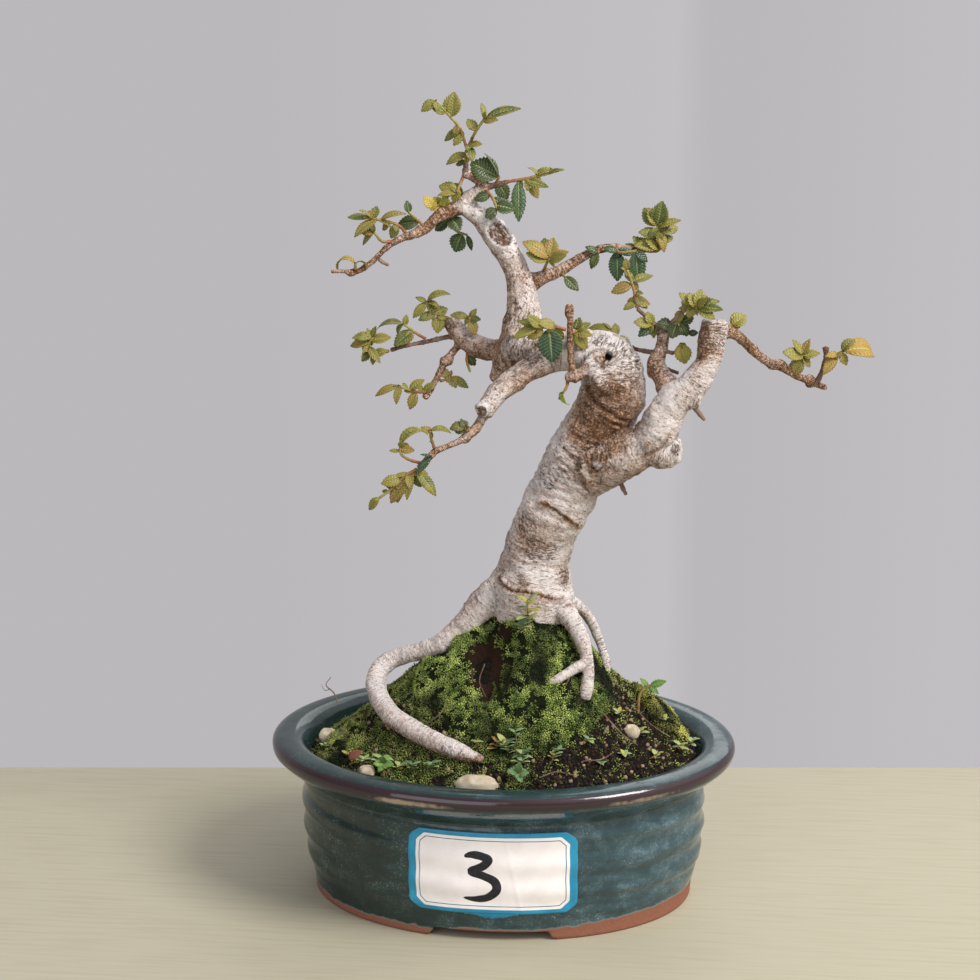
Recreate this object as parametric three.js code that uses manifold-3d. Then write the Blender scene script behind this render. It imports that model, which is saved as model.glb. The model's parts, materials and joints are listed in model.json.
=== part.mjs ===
// Elm bonsai in its oval glazed pot. Millimetres, +Z up, the label side of the pot faces -Y.
// Everything is drawn from the middle of the pot's foot, and the last lines move the whole
// group so that the origin is the middle of the tree's and pot's common footprint.
import * as THREE from 'three';
import { mergeVertices } from 'three/addons/utils/BufferGeometryUtils.js';
import Module from 'manifold-3d';

const wasm = await Module();
wasm.setup();

// Driving dimensions
const GAP = 0.35;               // clearance between pieces that touch
const POT_A = 104;              // half length of the rim
const POT_B = 79;               // half width of the rim
const POT_SIDES = 36;
const FLOOR_TOP = 11;           // upper face of the pot's floor
const FOOT_INSET = 18.5;        // the foot's outer edge, measured in from the rim
const FOOT_RING = 10;           // width of the foot ring
const FOOT_RISE = 5;            // height of the underside above the table
const NOTCH_HALF = 26;          // half width of the arch in the front and back of the foot
const DRAIN_RADIUS = 6;
const DRAIN_X = 38;
const SCREEN_SIZE = 20;
const SOIL_EDGE = 66;           // height of the soil at the rim
const MOUND_RISE = 58;          // rise of the mound under the trunk
const MOSS_DEPTH = 3.4;
const LABEL_WIDTH = 72;
const LABEL_HEIGHT = 38;
const LABEL_MID_Z = 33;
const LABEL_CORNER = 5;
const LABEL_THICK = 0.6;
const BLADE_THICK = 1.2;        // an elm leaf at its rib
const SHOOT_RADIUS = 0.8;

// Solids and meshes

function solid(geometry) {
  const bare = new THREE.BufferGeometry();
  bare.setAttribute('position', geometry.getAttribute('position'));
  if (geometry.index) bare.setIndex(geometry.index);
  const merged = mergeVertices(bare, 1e-4);
  return new wasm.Manifold(new wasm.Mesh({
    numProp: 3,
    vertProperties: new Float32Array(merged.getAttribute('position').array),
    triVerts: new Uint32Array(merged.index.array),
  }));
}

function solidFrom(points, faces) {
  return new wasm.Manifold(new wasm.Mesh({
    numProp: 3,
    vertProperties: new Float32Array(points.flat()),
    triVerts: new Uint32Array(faces.flat()),
  }));
}

function join(list) {
  return list.reduce((whole, piece) => whole.add(piece));
}

function largest(body) {
  const pieces = body.decompose();
  pieces.sort((p, q) => q.volume() - p.volume());
  return pieces[0];
}

function piece(body, name, colour, roughness, metalness = 0) {
  const data = largest(body).getMesh();
  const geometry = new THREE.BufferGeometry();
  geometry.setAttribute('position', new THREE.BufferAttribute(new Float32Array(data.vertProperties), 3));
  geometry.setIndex(new THREE.BufferAttribute(new Uint32Array(data.triVerts), 1));
  geometry.computeVertexNormals();
  const finish = new THREE.MeshStandardMaterial({ color: colour, roughness, metalness });
  const mesh = new THREE.Mesh(geometry, finish);
  mesh.name = name;
  return mesh;
}

// A closed skin through a stack of rings, with a middle point under the first and over the last.
function skin(rings, first, last) {
  const points = [first, ...rings.flat(), last];
  const sides = rings[0].length;
  const at = (ring, k) => 1 + ring * sides + (k % sides);
  const top = points.length - 1;
  const faces = [];
  for (let k = 0; k < sides; k++) {
    faces.push([0, at(0, k + 1), at(0, k)]);
    faces.push([top, at(rings.length - 1, k), at(rings.length - 1, k + 1)]);
    for (let r = 0; r + 1 < rings.length; r++) {
      faces.push([at(r, k), at(r, k + 1), at(r + 1, k + 1)]);
      faces.push([at(r, k), at(r + 1, k + 1), at(r + 1, k)]);
    }
  }
  return solidFrom(points, faces);
}

// An oval ring that lies `inset` inside the rim's outer edge.
function oval(inset, z, sides = POT_SIDES) {
  const ring = [];
  for (let k = 0; k < sides; k++) {
    const turn = (2 * Math.PI * k) / sides;
    ring.push([(POT_A - inset) * Math.cos(turn), (POT_B - inset) * Math.sin(turn), z]);
  }
  return ring;
}

// Pot

const OUTSIDE = [
  [FOOT_INSET, 0], [18.2, 7], [15.8, 15], [13.6, 32], [13.4, 50], [12, 56], [1.8, 65],
  [0, 69], [1.8, 72.2], [6, 73], [11.6, 72.2], [14.4, 69.4],
];
const INSIDE = [[21.4, 57], [22.8, 48], [23.4, 15], [26, FLOOR_TOP]];

// Inset of the outer wall at height z, between the foot and the rim.
function wallInset(z) {
  for (let i = 0; i + 1 < OUTSIDE.length; i++) {
    const [insetLow, low] = OUTSIDE[i];
    const [insetHigh, high] = OUTSIDE[i + 1];
    if (z <= high) return insetLow + ((insetHigh - insetLow) * (z - low)) / (high - low);
  }
  return OUTSIDE.at(-1)[0];
}

function buildPot() {
  const profile = [...OUTSIDE, ...INSIDE];
  const underside = [[FOOT_INSET + FOOT_RING + 1.5, FOOT_RISE], [FOOT_INSET + FOOT_RING, 0]];
  const rings = [...underside, ...profile].map(([inset, z]) => oval(inset, z));
  let pot = skin(rings, [0, 0, FOOT_RISE], [0, 0, FLOOR_TOP]);
  const notch = new THREE.BoxGeometry(2 * NOTCH_HALF, 2 * POT_B, 2 * (FOOT_RISE - 0.6));
  pot = pot.subtract(solid(notch));
  for (const side of [-1, 1]) {
    const drain = new THREE.CylinderGeometry(DRAIN_RADIUS, DRAIN_RADIUS, 30, 16);
    drain.rotateX(Math.PI / 2);
    drain.translate(side * DRAIN_X, 0, 8);
    pot = pot.subtract(solid(drain));
  }
  return pot;
}

// A square of plastic netting over each drain hole, under the soil.
function buildScreen(side) {
  const half = SCREEN_SIZE / 2;
  const plate = new THREE.BoxGeometry(SCREEN_SIZE, SCREEN_SIZE, 1);
  let screen = solid(plate);
  for (let i = -1; i <= 1; i++) {
    const slot = new THREE.BoxGeometry(2.6, 1.6 * half, 4);
    slot.translate(i * half * 0.5, 0, 0);
    screen = screen.subtract(solid(slot));
  }
  return screen.translate([side * DRAIN_X, 0, FLOOR_TOP + GAP + 0.5]);
}

// Ground: a mound under the trunk that swells up between its front roots, a cushion at the
// right and a hollow below the left root.

function ground(x, y) {
  const reach = Math.hypot((x - 8) / (x < 8 ? 94 : 77), (y - 2) / 64);
  const mound = MOUND_RISE * Math.pow(Math.max(0, 1 - reach * reach), 1.7);
  const swell = 17 * Math.exp(-((x - 12) ** 2 + (y + 10) ** 2) / 200);
  const cushion = 8 * Math.exp(-((x - 70) ** 2 + (y - 8) ** 2) / 260);
  const hollow = 8 * Math.exp(-((x + 3) ** 2 + (y + 24) ** 2) / 110);
  const crumbs = 0.5 * Math.sin(0.41 * x + 0.9) * Math.sin(0.37 * y);
  return SOIL_EDGE + mound + swell + cushion - hollow + crumbs;
}

function mossHeight(x, y, cover) {
  const lumps = 0.7 * Math.sin(0.52 * x + 1.3) * Math.cos(0.47 * y) + 0.5 * Math.sin(0.9 * y - 0.3 * x);
  return ground(x, y) + 1.4 + (MOSS_DEPTH + lumps) * Math.sqrt(Math.max(0, 1 - cover ** 4));
}

function buildSoil() {
  const rings = [[26, FLOOR_TOP + 2], [23.4, 17], [22.8, 48], [21.4, 57]].map(
    ([inset, z]) => oval(inset + 2 * GAP, z),
  );
  const shares = [1, 0.84, 0.64, 0.44, 0.24];
  const rim = oval(18.4 + 2 * GAP, 0);
  for (const share of shares) {
    rings.push(rim.map(([x, y]) => {
      const px = 8 * (1 - share) + x * share;
      const py = 2 * (1 - share) + y * share;
      return [px, py, share === 1 ? 63.6 : ground(px, py)];
    }));
  }
  return skin(rings, [0, 0, FLOOR_TOP + 2], [8, 2, ground(8, 2)]);
}

// A cushion of moss over the soil: a middle, an outline as reaches in even turns, and rings.
function buildMoss(cx, cy, reaches, sides, shares) {
  const reachAt = (turn) => {
    const place = (turn / (2 * Math.PI)) * reaches.length;
    const low = Math.floor(place);
    const part = (1 - Math.cos(Math.PI * (place - low))) / 2;
    return reaches[low % reaches.length] * (1 - part) + reaches[(low + 1) % reaches.length] * part;
  };
  const ring = (share, lift) => {
    const points = [];
    for (let k = 0; k < sides; k++) {
      const turn = (2 * Math.PI * k) / sides;
      const reach = reachAt(turn) * share;
      const x = cx + reach * Math.cos(turn);
      const y = cy + reach * Math.sin(turn);
      points.push([x, y, lift(x, y, share)]);
    }
    return points;
  };
  const under = (x, y) => ground(x, y) - 2;
  const rings = [];
  for (const share of shares) rings.push(ring(share, under));
  for (const share of [...shares].reverse()) rings.push(ring(share, mossHeight));
  return skin(rings, [cx, cy, under(cx, cy)], [cx, cy, mossHeight(cx, cy, 0)]);
}

// Wood: each limb is a row of [x, y, z, radius], from where it springs to where it ends.

const LIMBS = {
  bole: {
    sides: 14, step: 12, grain: 0.035,
    route: [[10, 2, 112, 15], [12.5, 0, 130, 17], [13, 0, 140, 18.5], [14, 0, 148, 16.3], [15, 0, 156, 15],
      [18, -1, 168, 14.4], [22, -2, 176, 14.6], [26.5, -3, 185, 14.8], [32.5, -4, 199, 14.7],
      [38, -5, 209, 14], [43, -6, 219, 13.7], [47, -6, 229, 14.3], [47.5, -6, 238, 13.5]],
  },
  shoulder: {
    sides: 12, step: 10, grain: 0.04,
    route: [[51, -6, 234, 11.5], [45, -6, 244, 11.8], [36, -6, 247.5, 9.6], [26, -5, 247.5, 9],
      [16, -3, 246.5, 9.4], [8, 0, 248, 9.4]],
  },
  leader: {
    sides: 12, step: 10, grain: 0.04,
    route: [[9, 0, 243, 8.6], [7.5, 1, 255, 8.6], [8.5, 2, 262.5, 7.8], [8, 3, 268.5, 6.9], [6.5, 4, 276, 5.8],
      [3.5, 5, 284, 5.5], [-0.5, 6, 290.5, 5.5], [-4.5, 6, 296, 5.6], [-9.5, 6, 302, 4.3],
      [-15.5, 6, 306, 3.7], [-20, 6, 308.5, 3.3]],
  },
  heel: { sides: 8, step: 12, grain: 0, route: [[6, 2, 251, 8], [0, 4, 241, 5.2], [-4.5, 6, 232.5, 2.2]] },
  middleLeft: {
    sides: 9, step: 9, grain: 0.03,
    route: [[8, 4, 246, 6.5], [-5.5, 10, 244.5, 4.8], [-13.5, 14, 246, 4.8], [-19.5, 17, 249.5, 4.4],
      [-23.5, 18, 254, 3.6], [-25, 18, 257, 3]],
  },
  lowLeft: {
    sides: 9, step: 9, grain: 0.03,
    route: [[20, -6, 244, 6.2], [11.5, -14, 240.5, 5.1], [4.5, -18, 236, 4.9], [-1, -21, 231, 4.4],
      [-4.5, -23, 226, 4.2], [-6.2, -24, 222.8, 3.8]],
  },
  lowLeftScar: { sides: 10, step: 8, grain: 0, route: [[-4.5, -23, 227, 3], [-7.4, -28.4, 225.6, 3.1]] },
  right: {
    sides: 11, step: 9, grain: 0.04,
    route: [[36, -3, 194, 12], [45, -12, 200.5, 11.5], [54, -16, 205, 9.8], [62, -18, 209.5, 9],
      [67, -19, 216, 8.5], [70, -20, 224, 8], [74, -20, 230, 7.4], [79, -20, 234, 6.7],
      [84, -20, 240, 5.7], [87, -19, 246, 5.3], [88.3, -18, 253, 5.9], [89.5, -17, 260, 5.7],
      [89.7, -17, 263.3, 5.1]],
  },
  rightStump: { sides: 10, step: 9, grain: 0.03, route: [[61, -18, 209, 9], [71, -19, 207.5, 7.4], [76.5, -20, 208, 5]] },
  rightElbow: { sides: 8, step: 12, grain: 0, route: [[76, -20, 232, 6.6], [84.5, -20, 231.5, 5]] },
  upright: {
    sides: 8, step: 9, grain: 0.03,
    route: [[75, -17, 229, 6.5], [68.5, -10, 237.5, 4.2], [65.6, -8, 243, 3.6], [67.2, -8, 249, 2.7],
      [67.9, -8, 254, 2.4], [67.8, -8, 257.5, 2.3]],
  },
  farRight: {
    sides: 6, step: 12, grain: 0,
    route: [[89, -17, 259.5, 3], [98, -14, 257, 2.2], [102.6, -12, 253.4, 1.9], [108, -10, 248, 1.8],
      [116.5, -6, 242.5, 1.6], [126, -2, 237, 1.5], [133.5, 0, 234, 1.4], [138.3, 1, 232, 1.1]],
  },
  farRightUp: {
    sides: 4, step: 14, grain: 0,
    route: [[133.5, 0, 233.5, 1.2], [136, 0, 240, 1.05], [137.2, 0, 245.5, 1.1], [137, 0, 249.5, 1.3]],
  },
  crownLeft: {
    sides: 7, step: 12, grain: 0,
    route: [[-18, 6, 307.5, 3.2], [-24.7, 2, 305, 2.8], [-29, -1, 302.5, 2.3], [-32.7, -3, 298.3, 2.1],
      [-38, -6, 296, 1.7], [-43, -8, 294.5, 1.5], [-47.3, -9, 292, 1.4], [-52.2, -11, 287.6, 1.3],
      [-57, -13, 283.5, 1.2], [-61.8, -15, 281, 1.1], [-65.5, -16, 281.5, 1], [-71.2, -18, 282, 0.9]],
  },
  crownUp: {
    sides: 7, step: 12, grain: 0,
    route: [[-19, 6, 308, 3.3], [-15.5, 6, 310.3, 3.2], [-10.5, 6, 313.3, 2.8], [-8.6, 6, 316, 2.4],
      [-12.6, 5, 319.3, 2.1], [-17.4, 4, 321.8, 1.9]],
  },
  crownTop: { sides: 4, step: 14, grain: 0, route: [[-16.6, 4, 321, 1.4], [-16.2, 3, 325.5, 1.2]] },
  crownRight: { sides: 4, step: 14, grain: 0, route: [[-9, 6, 315, 1.7], [-2.4, 6, 316.7, 1.3], [1, 7, 317.6, 1.1]] },
  rightCrown: {
    sides: 8, step: 12, grain: 0,
    route: [[6, 3, 273, 5], [16.4, 8, 277, 3], [24, 12, 280, 2.4], [31.4, 15, 284.5, 2], [38.7, 17, 288, 1.7],
      [44.6, 18, 289, 1.6], [51, 19, 288.6, 1.4], [58.8, 20, 287.3, 1.2]],
  },
  leftTwig: {
    sides: 4, step: 14, grain: 0,
    route: [[-20, 17, 249.5, 1.8], [-25.4, 18, 249, 1.2], [-35, 16, 247, 1], [-42.7, 14, 245.7, 0.9],
      [-50.4, 12, 243.7, 0.9]],
  },
  leftDrop: {
    sides: 6, step: 12, grain: 0,
    route: [[-18, 16, 248.5, 2.2], [-21.7, 16, 245, 1.7], [-26.8, 14, 238.3, 1.5], [-30.6, 12, 230.7, 1.4],
      [-33.6, 11, 225.3, 1.4], [-35.3, 10, 222.8, 1.3]],
  },
  lowTwig: {
    sides: 6, step: 12, grain: 0,
    route: [[-5.5, -23.5, 224.5, 2.6], [-6.6, -24, 221.5, 2.1], [-10.5, -26, 216.6, 1.8], [-14.6, -28, 213, 1.5],
      [-20.3, -30, 210.3, 1.3], [-25.7, -31, 208.3, 1.3], [-29.4, -32, 204.6, 1.3], [-33, -33, 201.2, 1.2]],
  },
  browBase: {
    sides: 6, step: 12, grain: 0.03,
    route: [[44, -12, 248, 4.5], [38.5, -19, 244.5, 2.9], [36.3, -20.5, 241.5, 2.4], [32.8, -21, 239.6, 2],
      [28.4, -21, 239, 1.7]],
  },
  browStub: { sides: 7, step: 12, grain: 0, route: [[31, -20.5, 239, 1.6], [29.8, -20, 252.5, 1.4], [29.5, -20, 269.2, 1.4]] },
  rib: {
    sides: 6, step: 12, grain: 0.03,
    route: [[37.5, -18.5, 246, 3.2], [41, -21, 239, 2.8], [44, -21, 234.5, 2.3], [46, -19, 232, 1.6]],
  },
  uprightTwig: {
    sides: 4, step: 14, grain: 0,
    route: [[67.9, -8, 256, 1.8], [66, -8, 258.7, 1.1], [61.8, -7, 262.2, 0.95], [57.4, -6, 265.8, 0.9]],
  },
  uprightLeft: {
    sides: 4, step: 14, grain: 0,
    route: [[67, -8, 247.5, 1.4], [60.8, -4, 247.6, 1], [55.6, 0, 248.2, 0.9], [50.6, 3, 251, 0.8]],
  },
  uprightRight: { sides: 4, step: 14, grain: 0, route: [[67, -8, 249, 1.2], [72.8, -9, 247.7, 0.8]] },
  uprightStub: { sides: 4, step: 12, grain: 0, route: [[66.5, -8, 242.2, 1], [71, -8, 240.5, 0.8], [75, -8, 239.1, 0.8]] },
  uprightCurl: {
    sides: 4, step: 14, grain: 0,
    route: [[68, -8, 256, 1.3], [72, -12, 261.4, 0.9], [76.2, -15, 266, 0.8]],
  },
  twiglet: { sides: 4, step: 12, grain: 0, route: [[50.5, -14, 197, 1.2], [52.2, -15, 191, 1], [54, -15, 187.4, 0.8]] },
  thorn: { sides: 4, step: 12, grain: 0, route: [[81, -20, 228, 1.4], [86.4, -20, 221.5, 0.8]] },
  leftShort: { sides: 4, step: 12, grain: 0, route: [[-53, -11, 287.5, 0.9], [-50.8, -9, 285, 0.8], [-48.5, -7, 283.4, 0.7]] },
  rootLeft: {
    sides: 9, step: 12, grain: 0.03,
    route: [[6, 0, 142, 12], [-2, -1, 138, 8.6], [-7.4, -1, 132.8, 7.7], [-12.8, -1, 126.6, 7.1],
      [-18, -1, 120.5, 6.7], [-23.4, -2, 116, 5.8], [-28.7, -2, 113, 4.9], [-34.5, -1, 110.6, 4.2],
      [-41.5, 1, 108, 4], [-47.6, 3, 105.8, 4.2], [-52.9, 2, 103, 4.4], [-56.2, -2, 99.2, 4.4],
      [-55.8, -9, 94.4, 4.5], [-52.3, -17, 90.7, 4.5], [-45.9, -26, 87.6, 4.5], [-38.7, -32, 85.2, 4.5],
      [-30.5, -38, 83.6, 4.3], [-23.5, -42, 82, 4.2], [-16.5, -45, 80.6, 3.8], [-10.8, -47, 79.4, 3.1],
      [-4.3, -49, 77.8, 1.7]],
  },
  rootFront: {
    sides: 8, step: 9, grain: 0.03,
    route: [[17, -4, 142, 8], [22, -5, 136.6, 6.3], [27.6, -9, 133, 5], [33.5, -13, 126.6, 3.8],
      [37, -17, 119.7, 3.1], [38.8, -20, 112.6, 2.7], [39, -22, 106.4, 2.7], [38.2, -24, 101, 2.8], [37.8, -25, 98, 2.3]],
  },
  rootFork: {
    sides: 6, step: 12, grain: 0,
    route: [[38.6, -20, 113.8, 2.5], [31.6, -24, 110.6, 2.2], [26.2, -27, 107.6, 2.2], [22.8, -28, 105.9, 1.8]],
  },
  rootRight: {
    sides: 7, step: 12, grain: 0,
    route: [[21, 0, 140, 6], [28, 0.5, 135, 3.6], [34.5, 2, 131, 2.4], [39.5, 2, 124.4, 2.2], [43.2, 1, 115.5, 2],
      [46, -1, 107.4, 1.9], [46.2, -2, 96, 1.8]],
  },
  rootBack: {
    sides: 8, step: 15, grain: 0.03,
    route: [[14, 4, 142, 8], [16, 16, 126, 6], [20, 28, 109, 4.6], [26, 38, 93, 3.6], [30, 48, 76, 2.6]],
  },
};

// Follows a limb's route with rings square to it; the far end is a flat cut, the near end is buried.
function limb({ route, sides, step, grain = 0 }, grow = 0) {
  const curve = new THREE.CatmullRomCurve3(
    route.map(([x, y, z]) => new THREE.Vector3(x, y, z)), false, 'centripetal');
  const stops = [];
  for (let i = 0; i + 1 < route.length; i++) {
    const [ax, ay, az] = route[i];
    const [bx, by, bz] = route[i + 1];
    const parts = Math.max(1, Math.round(Math.hypot(bx - ax, by - ay, bz - az) / step));
    for (let j = 0; j < parts; j++) stops.push(i + j / parts);
  }
  stops.push(route.length - 1);
  const side = new THREE.Vector3(0, -1, 0.01);
  const rings = [];
  for (const stop of stops) {
    const share = stop / (route.length - 1);
    const centre = curve.getPoint(share);
    const ahead = curve.getTangent(share);
    side.addScaledVector(ahead, -side.dot(ahead)).normalize();
    const across = new THREE.Vector3().crossVectors(ahead, side);
    const low = Math.min(route.length - 2, Math.floor(stop));
    const radius = route[low][3] + (route[low + 1][3] - route[low][3]) * (stop - low);
    const ring = [];
    for (let k = 0; k < sides; k++) {
      const turn = (2 * Math.PI * k) / sides;
      const bark = 1 + grain * (Math.sin(3 * turn + 0.9 * stop) + 0.7 * Math.sin(5 * turn - 1.7 * stop));
      const reach = radius * bark + grow;
      const point = centre.clone();
      point.addScaledVector(side, reach * Math.cos(turn));
      point.addScaledVector(across, reach * Math.sin(turn));
      ring.push(point.toArray());
    }
    rings.push(ring);
  }
  const start = curve.getPoint(0).addScaledVector(curve.getTangent(0), -grow);
  const end = curve.getPoint(1).addScaledVector(curve.getTangent(1), grow + 0.3);
  return skin(rings, start.toArray(), end.toArray());
}

// The swollen ring round the old branch knot, and the rounded heads where limbs turn sharply.
function buildKnots(grow = 0) {
  const ring = new THREE.TorusGeometry(6.4, 2 + grow, 5, 12);
  ring.rotateX(Math.PI / 2);
  ring.rotateZ(0.15);
  ring.translate(42, -18.6, 200);
  const knots = [solid(ring)];
  const heads = [[47.5, -6, 238, 13.4], [8.3, 0, 247, 9.6]];
  for (const [x, y, z, radius] of heads) {
    const head = new THREE.IcosahedronGeometry(radius + grow, 1);
    head.translate(x, y, z);
    knots.push(solid(head));
  }
  return join(knots);
}

function buildWood(grow = 0) {
  const limbs = Object.values(LIMBS).map((shape) => limb(shape, grow));
  return join([...limbs, buildKnots(grow)]).simplify(grow ? 0.2 : 0.5);
}

// Leafy shoots. A shoot has one or more stems, each a row of [x, y, z] from the wood outwards,
// and its leaves are rows of [stem, place along it, heading, length, width, towards, roll, arch].
// The heading is in degrees seen from the label side, 0 to the right and 90 up; towards is how
// far it leans to the viewer, roll turns its face upward and arch bends it down its length.

const YOUNG = '#9aa136';
const OLD = '#3d5a2c';
const BRONZE = '#a07f3c';

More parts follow.
